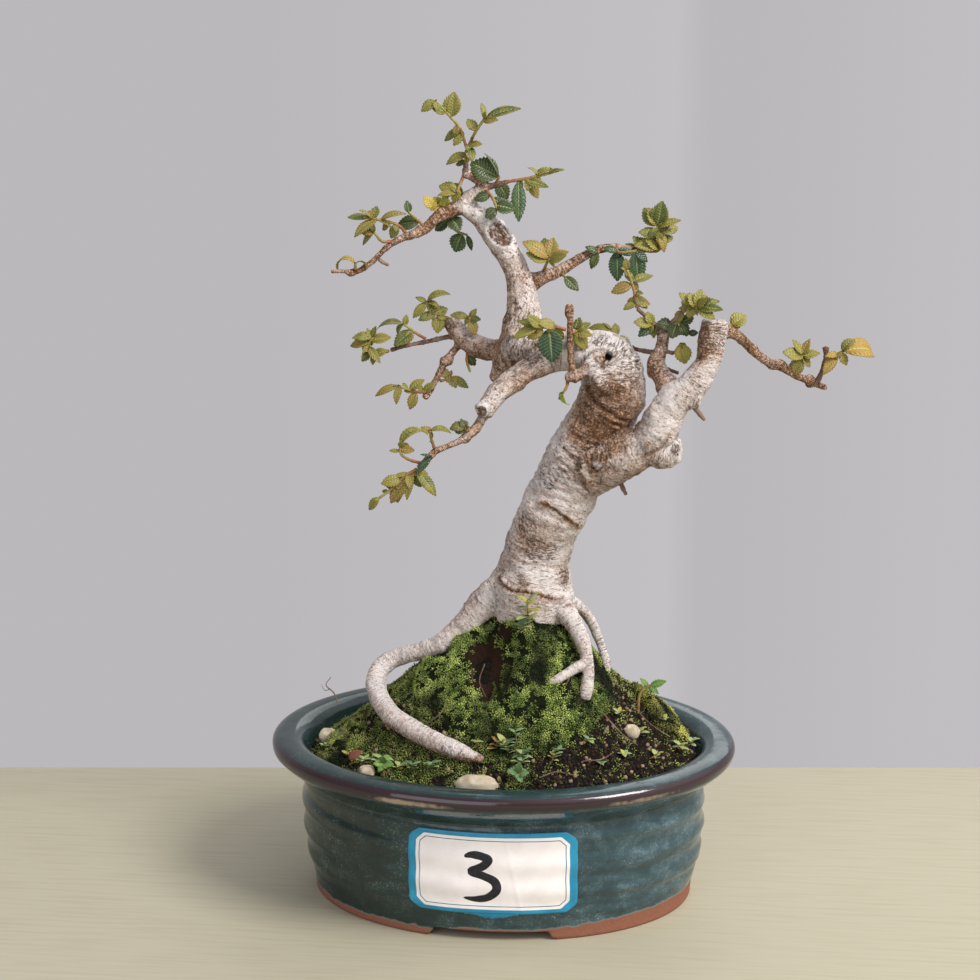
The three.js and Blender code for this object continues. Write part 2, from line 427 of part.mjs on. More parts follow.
const SHOOTS = {
  shoot_top: {
    colour: YOUNG,
    stems: [[[-16.2, 3, 324.6], [-15.6, 2, 331], [-16.9, 2, 335.3], [-18.2, 2, 339.5], [-23.5, 1, 346], [-28.4, 0, 351.5]],
      [[-15.6, 2, 331], [-12.5, 0, 337.6], [-8, -2, 344.3]]],
    leaves: [[0, 1, 208, 7.5, 5.4, 10, 10, 0.3], [0, 0.76, 82, 10.5, 7.4, 8, 0, 0.2], [0, 0.6, 203, 9, 4.8, -8, 15, 0.4],
      [0, 0.52, 228, 6, 3.6, 15, 0, 0.3], [1, 0.62, 124, 7, 4.4, -20, 15, 0.3], [1, 1, 28, 16, 5.6, 4, 25, 0.5],
      [1, 0.94, 12, 7.5, 3.4, 35, 0, 0.3], [1, 0.2, 6, 5.4, 3.2, 20, 0, 0.2], [1, 0.14, 290, 7, 4.4, 38, 10, 0.4],
      [0, 0.16, 198, 10, 5, 12, 20, 0.4], [0, 0.05, 190, 6, 3, -25, 0, 0.3]],
  },
  shoot_crown_mid: {
    colour: OLD,
    stems: [[[-3.4, 5.6, 317.4], [-2.2, 4, 320]]],
    leaves: [[0, 0.9, 157, 15, 9.2, 6, 12, 0.5], [0, 1, 113, 11.5, 6, 0, 70, 0.3]],
  },
  shoot_crown_right: {
    colour: YOUNG,
    stems: [[[0.8, 7, 317.6], [10.2, 8, 319.2], [17.3, 9, 320.8], [25, 10, 323]]],
    leaves: [[0, 0.44, 45, 12, 5.2, -10, 35, 1.2], [0, 0.7, 30, 6, 3, 12, 40, 0.3], [0, 0.22, 243, 5, 4, -30, 0, 0.3],
      [0, 0.3, 303, 10.5, 4.8, -14, 10, 0.3], [0, 0.17, 272, 17.5, 6, 14, 5, 0.2], [0, 0.38, 250, 6, 4, 30, 0, 0.2]],
  },
  shoot_crown_low: {
    colour: OLD,
    stems: [[[-7.8, 4.5, 314.4], [-4.5, 1, 310.8], [-2.7, -1, 306.8], [-3, -2, 302.3]]],
    leaves: [[0, 0.2, 318, 9.5, 4.6, 15, 0, 0.2], [0, 0.62, 312, 8.8, 5, 20, 10, 0.3], [0, 0.8, 226, 7.2, 4, 12, 0, 0.3],
      [0, 0.28, 208, 8, 4.4, 10, 15, 0.3]],
  },
  shoot_crown_back: {
    colour: YOUNG,
    stems: [[[-17.6, 4, 319.6], [-19, 0, 315.6], [-19.6, -2, 313.6]]],
    leaves: [[0, 0.3, 212, 10.5, 5, -5, 10, 0.4], [0, 1, 180, 8, 3.6, 10, 20, 0.3]],
  },
  shoot_yellow: {
    colour: '#b7a83a',
    stems: [[[-24.6, 1.4, 307], [-27, 0, 308.6], [-30.4, -3, 306.4]]],
    leaves: [[0, 0.5, 140, 8.8, 6, 14, 0, 0.3], [0, 1, 147, 7, 4, 20, 10, 0.3]],
  },
  shoot_crown_rear: {
    colour: OLD,
    stems: [[[-23, 5.2, 302.6], [-24.5, 12, 299.8], [-21.6, 13, 296], [-16.8, 12, 294.3]]],
    leaves: [[0, 0.1, 234, 9, 5.2, -12, 0, 0.3], [0, 0.42, 222, 7.5, 4.6, -20, 15, 0.3], [0, 0.8, 224, 9.6, 5.8, -8, 0, 0.3],
      [0, 1, 268, 9.4, 4, 0, 20, 0.3], [0, 0.94, 320, 7, 3.4, 16, 0, 0.3], [0, 0.6, 60, 6, 3.4, -30, 0, 0.4]],
  },
  shoot_left_dark: {
    colour: OLD,
    stems: [[[-33.6, -3.6, 299.6], [-35.6, -5, 302], [-39.5, -6, 305.5]]],
    leaves: [[0, 0.4, 184, 10.5, 6.8, -8, 0, 0.3], [0, 1, 98, 5, 3.4, 0, 20, 0.2]],
  },
  shoot_left_red: {
    colour: BRONZE,
    stems: [[[-40.9, -7.6, 297.4], [-43.6, -10, 300.6], [-51, -12.5, 303], [-57.7, -13.5, 304]]],
    leaves: [[0, 0.72, 204, 12.5, 5.2, 34, 25, 0.5], [0, 0.66, 34, 11.6, 4.6, 0, 30, 0.8], [0, 0.94, 50, 4.6, 2.8, -10, 0, 0.2],
      [0, 0.34, 238, 6.4, 4.4, 5, 0, 0.3], [0, 0.5, 222, 5.8, 3.4, -25, 0, 0.2]],
  },
  shoot_left_twig: {
    colour: YOUNG,
    stems: [[[-46.8, -9.6, 293.6], [-50.3, -12, 294], [-53.3, -14, 298]]],
    leaves: [[0, 1, 214, 9, 4, -16, 15, 0.5], [0, 0.96, 176, 6, 3, -4, 0, 0.4]],
  },
  shoot_left_curl: {
    colour: '#a8933a',
    stems: [[[-61.2, -15.6, 282.3], [-61, -16.5, 285]]],
    leaves: [[0, 1, 128, 13, 5.4, 0, 55, 2.6]],
  },
  shoot_right_base: {
    colour: YOUNG,
    stems: [[[16.8, 6.4, 280.2], [18, 3, 283], [19.4, 0.5, 286]]],
    leaves: [[0, 1, 137, 13.5, 7, 8, 15, 0.6], [0, 0.88, 102, 10.5, 6, -16, 0, 0.5], [0, 0.8, 38, 10, 5, 20, 20, 0.5],
      [0, 0.96, 66, 7, 4.2, -30, 0, 0.4]],
  },
  shoot_right_low: {
    colour: OLD,
    stems: [[[24.4, 10.6, 278.2], [25.4, 8.4, 277.4]]],
    leaves: [[0, 1, 320, 8.6, 4.6, 10, 0, 0.3]],
  },
  shoot_right_dots: {
    colour: OLD,
    stems: [[[39.6, 14.8, 287.6], [39.8, 13, 287]]],
    leaves: [[0, 1, 240, 7.4, 4.4, 5, 15, 0.3], [0, 0.8, 150, 6, 3.2, 10, 0, 0.3]],
  },
  shoot_right_hanging: {
    colour: '#355434',
    stems: [[[47.4, 17, 288.6], [48.6, 13, 287.4], [56, 12, 288.2]]],
    leaves: [[0, 0.2, 272, 13.4, 7, 2, 0, 0.2], [0, 0.98, 277, 14, 7.4, -4, 10, 0.2], [0, 0.4, 160, 6.5, 3.2, 0, 0, 0.3]],
  },
  shoot_right_tip: {
    colour: YOUNG,
    stems: [[[58.6, 20, 287.3], [65.7, 19, 287.9], [66.2, 18, 292.3], [64.8, 17, 298.4]]],
    leaves: [[0, 0.8, 168, 9, 5, 12, 0, 0.3], [0, 0.5, 172, 11.5, 6, 22, 0, 0.4], [0, 0.66, 140, 9.5, 5, -20, 0, 0.3],
      [0, 1, 112, 8.6, 5.6, 6, 15, 0.4], [0, 0.97, 62, 8.2, 4.6, -12, 0, 0.4], [0, 1, 24, 10.4, 4.4, 6, 20, 0.4],
      [0, 0.42, 142, 8, 4.8, 34, 0, 0.3], [0, 0.9, 296, 10, 4.6, 5, 25, 0.5], [0, 0.6, 30, 7.5, 4.2, -30, 0, 0.4]],
  },
  shoot_upper_mid: {
    colour: BRONZE,
    stems: [[[57.2, -6, 266.2], [56.2, -5, 271.2], [54.8, -4, 276.6], [52.6, -4, 282]]],
    leaves: [[0, 0.62, 203, 10.8, 5, 5, 20, 0.5], [0, 0.7, 24, 9.6, 4.2, -8, 15, 0.4], [0, 0.34, 318, 7.4, 4.2, 12, 0, 0.3],
      [0, 0.3, 236, 6.2, 3.8, -10, 0, 0.3], [0, 1, 96, 5, 3, 10, 0, 0.2]],
  },
  shoot_pair: {
    colour: YOUNG,
    stems: [[[64.4, -9.2, 261.4], [63.6, -12, 262]]],
    leaves: [[0, 1, 164, 8.6, 6, 10, 5, 0.3], [0, 0.9, 212, 9, 4.6, 24, 0, 0.3]],
  },
  shoot_mid_dark: {
    colour: OLD,
    stems: [[[70.2, -9.4, 256.6], [72.4, -13, 256]]],
    leaves: [[0, 0.6, 44, 8, 4.4, -20, 0, 0.3], [0, 1, 36, 11.6, 6, 18, 10, 0.4], [0, 0.9, 350, 7.5, 4, 10, 0, 0.3]],
  },
  shoot_mid_young: {
    colour: YOUNG,
    stems: [[[73.2, -9.2, 247.7], [75.8, -12, 250.8]]],
    leaves: [[0, 1, 306, 11, 6.4, 12, 0, 0.4]],
  },
  shoot_stump_left: {
    colour: YOUNG,
    stems: [[[76.4, -15.2, 266.2], [80.1, -17, 269], [82.4, -19, 268.4]]],
    leaves: [[0, 0.7, 134, 8.4, 4.2, 0, 15, 0.3], [0, 0.8, 28, 10.4, 4.8, 8, 20, 0.6], [0, 1, 12, 11, 4.6, 30, 10, 0.5],
      [0, 1, 340, 9.4, 4.4, 42, 0, 0.4], [0, 0.94, 60, 7, 4, -20, 0, 0.3], [0, 0.2, 100, 6, 3.6, -30, 0, 0.3]],
  },
  shoot_stump_back: {
    colour: '#b08f3a',
    stems: [[[95.2, -12.6, 260], [96.4, -10, 262]]],
    leaves: [[0, 1, 70, 9, 6.6, -4, 0, 0.7]],
  },
  shoot_gap_left: {
    colour: YOUNG,
    stems: [[[50.2, 3.3, 251.5], [45.9, 6, 255]]],
    leaves: [[0, 1, 166, 11, 4.6, 0, 20, 0.7], [0, 0.3, 322, 7.4, 4.4, 10, 0, 0.3], [0, 0.4, 100, 6, 3.4, -30, 0, 0.3]],
  },
  shoot_brow: {
    colour: YOUNG,
    stems: [[[28, -21, 258.9], [24.3, -22, 260.2], [20.2, -23, 260], [16.5, -24, 260.4]]],
    leaves: [[0, 0.35, 156, 8.8, 4.6, 22, 0, 0.4], [0, 0.6, 276, 14.6, 10, 4, 0, 0.15], [0, 1, 196, 11.2, 4.8, 14, 15, 0.4],
      [0, 0.96, 158, 9.4, 4, -6, 10, 0.4]],
  },
  shoot_brow_back: {
    colour: YOUNG,
    stems: [[[30.4, -18.2, 257.2], [32, -15.4, 257.6]]],
    leaves: [[0, 0.9, 34, 7, 4, 0, 0, 0.4], [0, 0.8, 304, 9.4, 5.2, 4, 0, 0.4]],
  },
  shoot_pendent: {
    colour: '#9fc03a',
    stems: [[[28.9, -21, 237], [28.6, -22, 235], [27, -22, 232.3]]],
    leaves: [[0, 1, 256, 7.6, 3.8, 0, 40, 1.5]],
  },
  shoot_far_top: {
    colour: YOUNG,
    stems: [[[126.2, -2.4, 239], [126.7, -3, 243], [127.3, -4, 247]]],
    leaves: [[0, 0.9, 122, 7.6, 6.4, 30, 0, 0.3], [0, 1, 122, 10, 3.4, 0, 30, 0.3], [0, 1, 92, 10, 3.4, 10, 30, 0.3],
      [0, 1, 62, 9.6, 3.4, -6, 30, 0.3], [0, 0.8, 40, 9.4, 3.6, 12, 20, 0.3], [0, 0.7, 160, 6, 3.4, -25, 0, 0.3]],
  },
  shoot_far_end: {
    colour: BRONZE,
    stems: [[[138.6, -1, 245.9], [140.4, -2, 246.6], [143.6, -4, 248.6]]],
    leaves: [[0, 1, 22, 19, 7.4, 0, 32, 1.5], [0, 0.7, 232, 10.4, 4.6, 25, 0, 0.4], [0, 0.9, 300, 6, 3.6, 10, 0, 0.3]],
  },
  shoot_arch_top: {
    colour: YOUNG,
    stems: [[[-25.8, 16.6, 257.4], [-29.5, 14, 259.2], [-33.2, 13, 261], [-34.4, 12, 265]]],
    leaves: [[0, 1, 55, 12, 5, 6, 40, 1.4], [0, 0.98, 222, 9, 4.2, 10, 10, 0.3], [0, 0.7, 296, 4.4, 3.2, 20, 0, 0.2],
      [0, 0.74, 20, 5.4, 3.2, -20, 0, 0.4], [0, 0.5, 198, 7.4, 4.4, 28, 0, 0.3], [0, 0.3, 262, 7.8, 5.6, 12, 0, 0.2]],
  },
  shoot_arch_mid: {
    colour: YOUNG,
    stems: [[[-35.4, 14.8, 248.5], [-39.4, 13, 251.2], [-42.3, 12, 253.6], [-44.6, 11, 255.4]]],
    leaves: [[0, 1, 160, 14, 5, 0, 35, 1.2], [0, 0.9, 84, 4.6, 2.8, 0, 0, 0.2], [0, 0.5, 216, 10.4, 6, 22, 0, 0.3]],
  },
  shoot_left_end: {
    colour: YOUNG,
    stems: [[[-51.2, 11.8, 243.5], [-57.6, 10, 241.4], [-60, 8, 245.6], [-57.6, 7, 250.2]]],
    leaves: [[0, 1, 174, 9, 4.6, 8, 15, 0.4], [0, 0.84, 186, 9.8, 4.8, -8, 10, 0.4], [0, 0.9, 14, 9, 4.8, 14, 0, 0.3],
      [0, 0.7, 314, 9.8, 3.6, 30, 0, 0.2], [0, 0.5, 226, 5.2, 3.6, 20, 0, 0.2], [0, 0.36, 262, 4.6, 2.4, -10, 0, 0.2]],
  },
  shoot_left_low: {
    colour: YOUNG,
    stems: [[[-34.4, 9.4, 225.6], [-40, 9, 226], [-46.3, 7, 228.7]]],
    leaves: [[0, 1, 190, 12, 4.6, 5, 20, 0.6], [0, 0.66, 42, 8, 4.4, 0, 10, 0.4], [0, 0.95, 246, 5.4, 3, 20, 0, 0.2],
      [0, 0.42, 248, 8.4, 4.4, 8, 0, 0.3], [0, 0.12, 50, 6.4, 3.4, 14, 0, 0.3]],
  },
  shoot_left_small: {
    colour: BRONZE,
    stems: [[[-29, 12.4, 230.3], [-27, 13, 230.6], [-24.4, 14, 232]]],
    leaves: [[0, 1, 334, 9.2, 4.2, 8, 10, 0.3], [0, 0.9, 312, 5.6, 3.6, 30, 0, 0.3], [0, 0.8, 124, 5.8, 4, 0, 0, 0.3]],
  },
  shoot_left_under: {
    colour: OLD,
    stems: [[[-16.8, 13.8, 242.8], [-17, 12, 239.6], [-15.2, 8, 235.4]]],
    leaves: [[0, 0.2, 312, 5.8, 4.2, -6, 0, 0.3]],
  },
  shoot_stub_right: {
    colour: YOUNG,
    stems: [[[-14.2, 14, 251.5], [-13.8, 12, 255.3], [-16, 11, 258.9]]],
    leaves: [[0, 1, 166, 8, 3.8, 10, 10, 0.4], [0, 0.84, 292, 7, 4.4, 24, 0, 0.3], [0, 0.9, 60, 5, 3, 0, 0, 0.3]],
  },
  shoot_low_arch: {
    colour: YOUNG,
    stems: [[[-32.3, -32.5, 203.4], [-36.6, -32, 204.4], [-40.5, -31, 206.6], [-41.2, -30, 210]]],
    leaves: [[0, 1, 72, 17, 6, 0, 42, 2.0], [0, 0.87, 2, 6.2, 3.8, 14, 0, 0.2], [0, 0.81, 178, 4.6, 1.8, 0, 0, 0.1]],
  },
  shoot_low_side: {
    colour: YOUNG,
    stems: [[[-26.3, -31.2, 209.4], [-27.5, -33, 214.3], [-27.8, -34, 217.6]]],
    leaves: [[0, 1, 28, 9.8, 4.2, 4, 35, 1.3], [0, 0.9, 150, 4.4, 2.8, 0, 0, 0.2]],
  },
  shoot_low_tip: {
    colour: '#a89b38',
    stems: [[[-33.5, -33.1, 200.9], [-38.5, -34, 197.9], [-44.8, -35, 192], [-51.1, -36, 187.3]]],
    leaves: [[0, 0.2, 232, 15.5, 7, 12, 10, 0.4], [0, 0.5, 266, 9.6, 4.2, -6, 0, 0.3], [0, 0.14, 258, 12, 4, 28, 20, 0.2],
      [0, 0.05, 316, 14.4, 5, 5, 15, 0.5], [0, 0.12, 296, 8.8, 4.4, -14, 0, 0.3], [0, 0.03, 338, 5.8, 2.4, -22, 0, 0.2],
      [0, 0.66, 100, 6, 3.6, -20, 0, 0.3]],
  },
  shoot_low_crumple: {
    colour: '#6d6a35',
    stems: [[[-12.6, -28.4, 216.6], [-13.6, -29.6, 218]]],
    leaves: [[0, 1, 150, 6.8, 5.4, 20, 30, 1.2], [0, 0.9, 190, 6, 4, 0, -30, 0.8], [0, 0.8, 110, 4.6, 3, 10, 10, 0.4]],
  },
  shoot_low_dark: {
    colour: '#38513a',
    stems: [[[-26.2, -33.2, 206.8], [-27.2, -34.6, 206.8]]],
    leaves: [[0, 1, 226, 10, 3.6, 10, 10, 0.2]],
  },
  seedling_right: {
    colour: '#5e8a35',
    stems: [[[60.6, -6, 86], [61.4, -6, 94.7], [63.5, -6, 97.4], [65.7, -6, 98.6]]],
    leaves: [[0, 1, 22, 7.4, 3.4, 5, 0, 0.2], [0, 0.9, 130, 5, 2.4, 0, 20, 0.3], [0, 0.8, 330, 3.6, 1.8, 20, 0, 0.2]],
  },
  weed_left: {
    colour: '#6fa044',
    stems: [[[-48, -44.5, 60], [-47.5, -45, 73.5]]],
    leaves: [[0, 1, 92, 4.4, 3, 40, 0, 0.4], [0, 1, 170, 4.6, 3, 30, 0, 0.4], [0, 1, 10, 4.6, 3, 30, 0, 0.4],
      [0, 0.98, 230, 4.2, 2.8, 40, 0, 0.4], [0, 0.98, 60, 4.2, 2.8, -40, 0, 0.4]],
  },
  weed_front: {
    colour: '#7aa866',
    stems: [[[11.4, -54.2, 60], [11.2, -54.4, 74.8]]],
    leaves: [[0, 1, 84, 6, 3.4, 30, 0, 0.2], [0, 1, 150, 5, 3, 30, 0, 0.4], [0, 1, 20, 5, 3, 30, 0, 0.4],
      [0, 0.98, 300, 4, 2.6, 40, 0, 0.4]],
  },
};

const LEAF_PROFILE = [0.92, 0.8, 1, 0.55];   // half widths; every other one is a tooth
const SMALL_PROFILE = [0.95, 0.7];
const SMALL_LEAF = 6.6;

// One leaf: a toothed blade with its rib standing out below, bent along the rib.
function leaf(base, [, , heading, length, width, towards, roll, arch]) {
  const rad = Math.PI / 180;
  const along = new THREE.Vector3(
    Math.cos(heading * rad) * Math.cos(towards * rad),
    -Math.sin(towards * rad),
    Math.sin(heading * rad) * Math.cos(towards * rad),
  );
  const normal = new THREE.Vector3(0, -0.85, 0.53);
  const lift = Math.cos(heading * rad) > 0 ? -roll : roll;
  normal.addScaledVector(along, -normal.dot(along)).normalize().applyAxisAngle(along, lift * rad);
  const across = new THREE.Vector3().crossVectors(along, normal);
  const profile = length < SMALL_LEAF ? SMALL_PROFILE : LEAF_PROFILE;
  const reach = (length + 0.5) / (profile.length + 1);
  const rib = base.clone().addScaledVector(along, -0.5);
  const heel = rib.toArray();
  const rings = profile.map((share, i) => {
    rib.addScaledVector(along, reach);
    along.applyAxisAngle(across, -arch / profile.length);
    normal.applyAxisAngle(across, -arch / profile.length);
    const edge = rib.clone().addScaledVector(along, i % 2 ? 0 : 0.4 * reach).addScaledVector(normal, 0.3);
    const left = edge.clone().addScaledVector(across, (-width / 2) * share);
    const right = edge.clone().addScaledVector(across, (width / 2) * share);
    const ridge = rib.clone().addScaledVector(normal, 0.3 - BLADE_THICK);
    return [left.toArray(), right.toArray(), ridge.toArray()];
  });
  rib.addScaledVector(along, reach);
  return skin(rings, heel, rib.toArray());
}

function buildShoot({ stems, leaves }) {
  const parts = [];
  const curves = [];
  stems.forEach((route) => {
    const rows = route.map(([x, y, z], i) => [x, y, z, SHOOT_RADIUS * (1 - (0.25 * i) / route.length)]);
    parts.push(limb({ route: rows, sides: 4, step: 30 }));
    const points = route.map(([x, y, z]) => new THREE.Vector3(x, y, z));
    curves.push(new THREE.CatmullRomCurve3(points, false, 'centripetal'));
  });
  for (const row of leaves) parts.push(leaf(curves[row[0]].getPoint(row[1]), row));
  return join(parts);
}

// Paper label on the front of the pot, with cut corners, bent to the wall.
function buildLabel() {
  const columns = [-36, -31, -20, -10, 0, 10, 20, 31, 36].map((x) => (x * LABEL_WIDTH) / 72);
  const rows = 3;
  const place = (x, z, lift) => {
    const inset = wallInset(z) - GAP - lift;
    const a = POT_A - inset;
    const b = POT_B - inset;
    return [x + 1, -b * Math.sqrt(1 - ((x + 1) / a) ** 2), z];
  };
  const points = [];
  for (const lift of [0, LABEL_THICK]) {
    for (const x of columns) {
      const cut = Math.max(0, Math.abs(x) - (LABEL_WIDTH / 2 - LABEL_CORNER));
      for (let r = 0; r < rows; r++) {
        const half = LABEL_HEIGHT / 2 - cut;
        points.push(place(x, LABEL_MID_Z + half * ((2 * r) / (rows - 1) - 1), lift));
      }
    }
  }
  const layer = columns.length * rows;
  const at = (c, r, top) => top * layer + c * rows + r;
  const faces = [];
  for (let c = 0; c + 1 < columns.length; c++) {
    for (let r = 0; r + 1 < rows; r++) {
      faces.push([at(c, r, 1), at(c + 1, r, 1), at(c + 1, r + 1, 1)], [at(c, r, 1), at(c + 1, r + 1, 1), at(c, r + 1, 1)]);
      faces.push([at(c, r, 0), at(c + 1, r + 1, 0), at(c + 1, r, 0)], [at(c, r, 0), at(c, r + 1, 0), at(c + 1, r + 1, 0)]);
    }
    for (const [r, flip] of [[0, false], [rows - 1, true]]) {
      const quad = [at(c, r, 0), at(c + 1, r, 0), at(c + 1, r, 1), at(c, r, 1)];
      if (flip) quad.reverse();
      faces.push([quad[0], quad[1], quad[2]], [quad[0], quad[2], quad[3]]);
    }
  }
  for (const [c, flip] of [[0, true], [columns.length - 1, false]]) {
    for (let r = 0; r + 1 < rows; r++) {
      const quad = [at(c, r, 0), at(c, r + 1, 0), at(c, r + 1, 1), at(c, r, 1)];
      if (flip) quad.reverse();
      faces.push([quad[0], quad[1], quad[2]], [quad[0], quad[2], quad[3]]);
    }
  }
  return solidFrom(points, faces);
}

function pebble(x, y, z, rx, ry, rz, seed, grow = 0) {
  const stone = new THREE.IcosahedronGeometry(1, 1);
  const place = stone.getAttribute('position');
  for (let i = 0; i < place.count; i++) {
    const [px, py, pz] = [place.getX(i), place.getY(i), place.getZ(i)];
    const rough = 1 + 0.07 * Math.sin(4 * px + seed) * Math.cos(5 * py - seed) + 0.05 * Math.sin(6 * pz + 2 * seed);
    place.setXYZ(i, x + px * (rx * rough + grow), y + py * (ry * rough + grow), z + pz * (rz * rough + grow));
  }
  return solid(stone);
}

// Assembly: what lies in or on the ground is cut out of it with a small clearance.

const STONES = {
  stone_front: [-6, -54.2, 68.4, 9.4, 4.6, 4.6, 1],
  pebble_right: [58, -20, 82, 3.8, 3.4, 3.2, 2],
  pebble_left: [-55, -44.5, 69, 3.4, 2.8, 3, 3],
  pebble_far_left: [-78, -8, 71, 4.2, 3.6, 3.4, 4],
};

const wood = buildWood();
const woodRoom = buildWood(1.3 * GAP);
const stones = Object.entries(STONES).map(([name, shape]) => [name, pebble(...shape)]);
const stoneRoom = join(Object.values(STONES).map((shape) => pebble(...shape, GAP)));

const shoots = Object.entries(SHOOTS).map(([name, shape]) => {
  const body = largest(buildShoot(shape).subtract(woodRoom).simplify(0.25));
  return [name, body, shape.colour];
});

// Room for a plant that stands in the ground: its own stem, a little thicker.
function stemRoom({ stems }) {
  const route = stems[0].map(([x, y, z]) => [x, y, z, SHOOT_RADIUS]);
  route[0] = [route[0][0], route[0][1], route[0][2] - 0.5, SHOOT_RADIUS];
  return limb({ route, sides: 5, step: 12 }, GAP);
}
const plants = ['seedling_right', 'weed_left', 'weed_front'];
const groundRoom = join([woodRoom, stoneRoom, ...plants.map((name) => stemRoom(SHOOTS[name]))]);

// Moss lies on the soil, whose top it follows.
const soil = buildSoil().subtract(groundRoom).simplify(0.1);
const mossRoom = groundRoom.add(buildSoil().translate([0, 0, GAP + 0.05]));
const mosses = {
  moss_mound: buildMoss(8, -12, [42, 40, 42, 44, 40, 38, 46, 40, 34, 36, 36, 38], 26, [0.4, 0.75, 1]),
  moss_left: buildMoss(-69, -14, [8, 10, 14, 12, 10, 14, 18, 12], 16, [0.5, 0.85, 1]),
  moss_right: buildMoss(70, 8, [13, 14, 16, 14, 12, 12, 16, 16], 18, [0.5, 0.85, 1]),
};

const tree = new THREE.Group();
tree.add(piece(buildPot(), 'pot', '#35504c', 0.28));
tree.add(piece(buildScreen(-1), 'drain_screen_left', '#23262a', 0.6));
tree.add(piece(buildScreen(1), 'drain_screen_right', '#23262a', 0.6));
tree.add(piece(soil, 'soil', '#3a2c20', 0.95));
for (const [name, body] of Object.entries(mosses)) {
  tree.add(piece(body.subtract(mossRoom).simplify(0.15), name, name === 'moss_right' ? '#6f7a28' : '#4a6b22', 0.95));
}
tree.add(piece(wood, 'wood', '#b3a597', 0.8));
for (const [name, body, colour] of shoots) tree.add(piece(body, name, colour, 0.55));
tree.add(piece(buildLabel(), 'label', '#e9e6ea', 0.55));
for (const [name, body] of stones) tree.add(piece(body, name, '#b9aa92', 0.9));

// The origin is the middle of the common footprint, at the surface that the foot stands on.
const bounds = new THREE.Box3().setFromObject(tree);
const middle = bounds.getCenter(new THREE.Vector3());
tree.position.set(-middle.x, -middle.y, 0);
const model = new THREE.Group();
model.add(tree);

export default model;
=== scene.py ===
"""Elm bonsai in an oval glazed pot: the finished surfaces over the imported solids."""
import json
import math
from functools import partial

import bpy
import numpy as np
from bpy.props import FloatProperty, FloatVectorProperty, IntProperty, PointerProperty
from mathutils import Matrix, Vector


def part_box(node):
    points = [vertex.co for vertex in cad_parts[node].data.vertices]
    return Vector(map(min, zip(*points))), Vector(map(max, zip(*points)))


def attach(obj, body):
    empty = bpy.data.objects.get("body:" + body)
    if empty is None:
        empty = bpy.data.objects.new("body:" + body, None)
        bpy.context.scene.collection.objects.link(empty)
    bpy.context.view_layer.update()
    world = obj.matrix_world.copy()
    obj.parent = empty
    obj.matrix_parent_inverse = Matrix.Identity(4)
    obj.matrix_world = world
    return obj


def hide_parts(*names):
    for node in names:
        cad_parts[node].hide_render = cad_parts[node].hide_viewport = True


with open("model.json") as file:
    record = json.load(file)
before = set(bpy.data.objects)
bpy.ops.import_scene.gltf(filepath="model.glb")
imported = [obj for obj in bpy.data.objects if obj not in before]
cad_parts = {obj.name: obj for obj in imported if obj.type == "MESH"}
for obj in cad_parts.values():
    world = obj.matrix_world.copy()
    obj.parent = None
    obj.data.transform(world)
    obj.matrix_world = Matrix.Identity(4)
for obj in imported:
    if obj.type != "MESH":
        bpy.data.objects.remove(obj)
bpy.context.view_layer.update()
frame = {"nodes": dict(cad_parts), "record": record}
SLOTS = {part["node"]: part["material_slot"] for part in frame["record"]["subparts"]}

bl_info = {
    "name": "Elm Bonsai", "version": (1, 0, 0), "blender": (4, 5, 0), "location": "View3D > Sidebar > Bonsai",
    "description": "Dresses the solids of a potted elm bonsai", "category": "Object",
}

MM = 0.001
POT_LOW, POT_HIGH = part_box("pot")
SHIFT = (POT_LOW.x + POT_HIGH.x) / 2          # the pot's middle, from the origin
RIM_A = (POT_HIGH.x - POT_LOW.x) / 2 / MM     # half length of the rim in mm
RIM_B = (POT_HIGH.y - POT_LOW.y) / 2 / MM

UNDERSIDE, FLOOR_TOP = 5, 11                  # heights of the pot's underside and of its floor inside, in mm
ARCH_HEIGHT = 4.4                             # of the openings under the foot ring, in mm
DRAIN_X, DRAIN_RADIUS = 38, 6                 # of the two holes in the floor, in mm
MOUND_X, MOUND_Y = 8, 2                       # the top of the mound of soil, in mm
CAMERA_ASIDE, CAMERA_HEIGHT = 0.0057, 0.1846  # the point looked at, left of the pot's middle and up, in m
CAMERA_DISTANCE, CAMERA_LENS = 0.874, 73.47   # in m and in mm
TABLE_REACH, TABLE_THICKNESS = 2200, 30       # in mm
LIGHT_AIM = 0.18                              # height that the lights face, in m

# Insets from the rim and heights, in mm, down the foot, up the wall, over the rim and inside.
FOOT = [(30, 5), (28.9, 0.7), (28.2, 0.1), (27, 0), (20, 0), (18.9, 0.15), (18.5, 0.8)]
WALL = [(18.5, 0.8), (18.3, 4), (17.7, 8), (15.9, 15), (14.4, 24), (13.6, 34), (13.3, 44), (13.5, 51),
    (14, 54.6)]
FLARE = [(14, 54.6), (12.6, 56.2), (9, 58.9), (5, 62), (2.2, 64.6)]
RIM = [(2.2, 64.6), (0.7, 66.2), (0.1, 68), (0, 69.4), (0.6, 71), (1.9, 72.2), (3.8, 72.85), (6, 73),
    (9, 72.9), (11.6, 72.2), (13.4, 70.9), (14.4, 69.4), (16, 66), (18.8, 61), (21.6, 56.4), (22.4, 52)]
INSIDE = [(22.4, 52), (22.8, 44), (23.2, 28), (23.5, 15), (24.2, 12), (26, 11)]

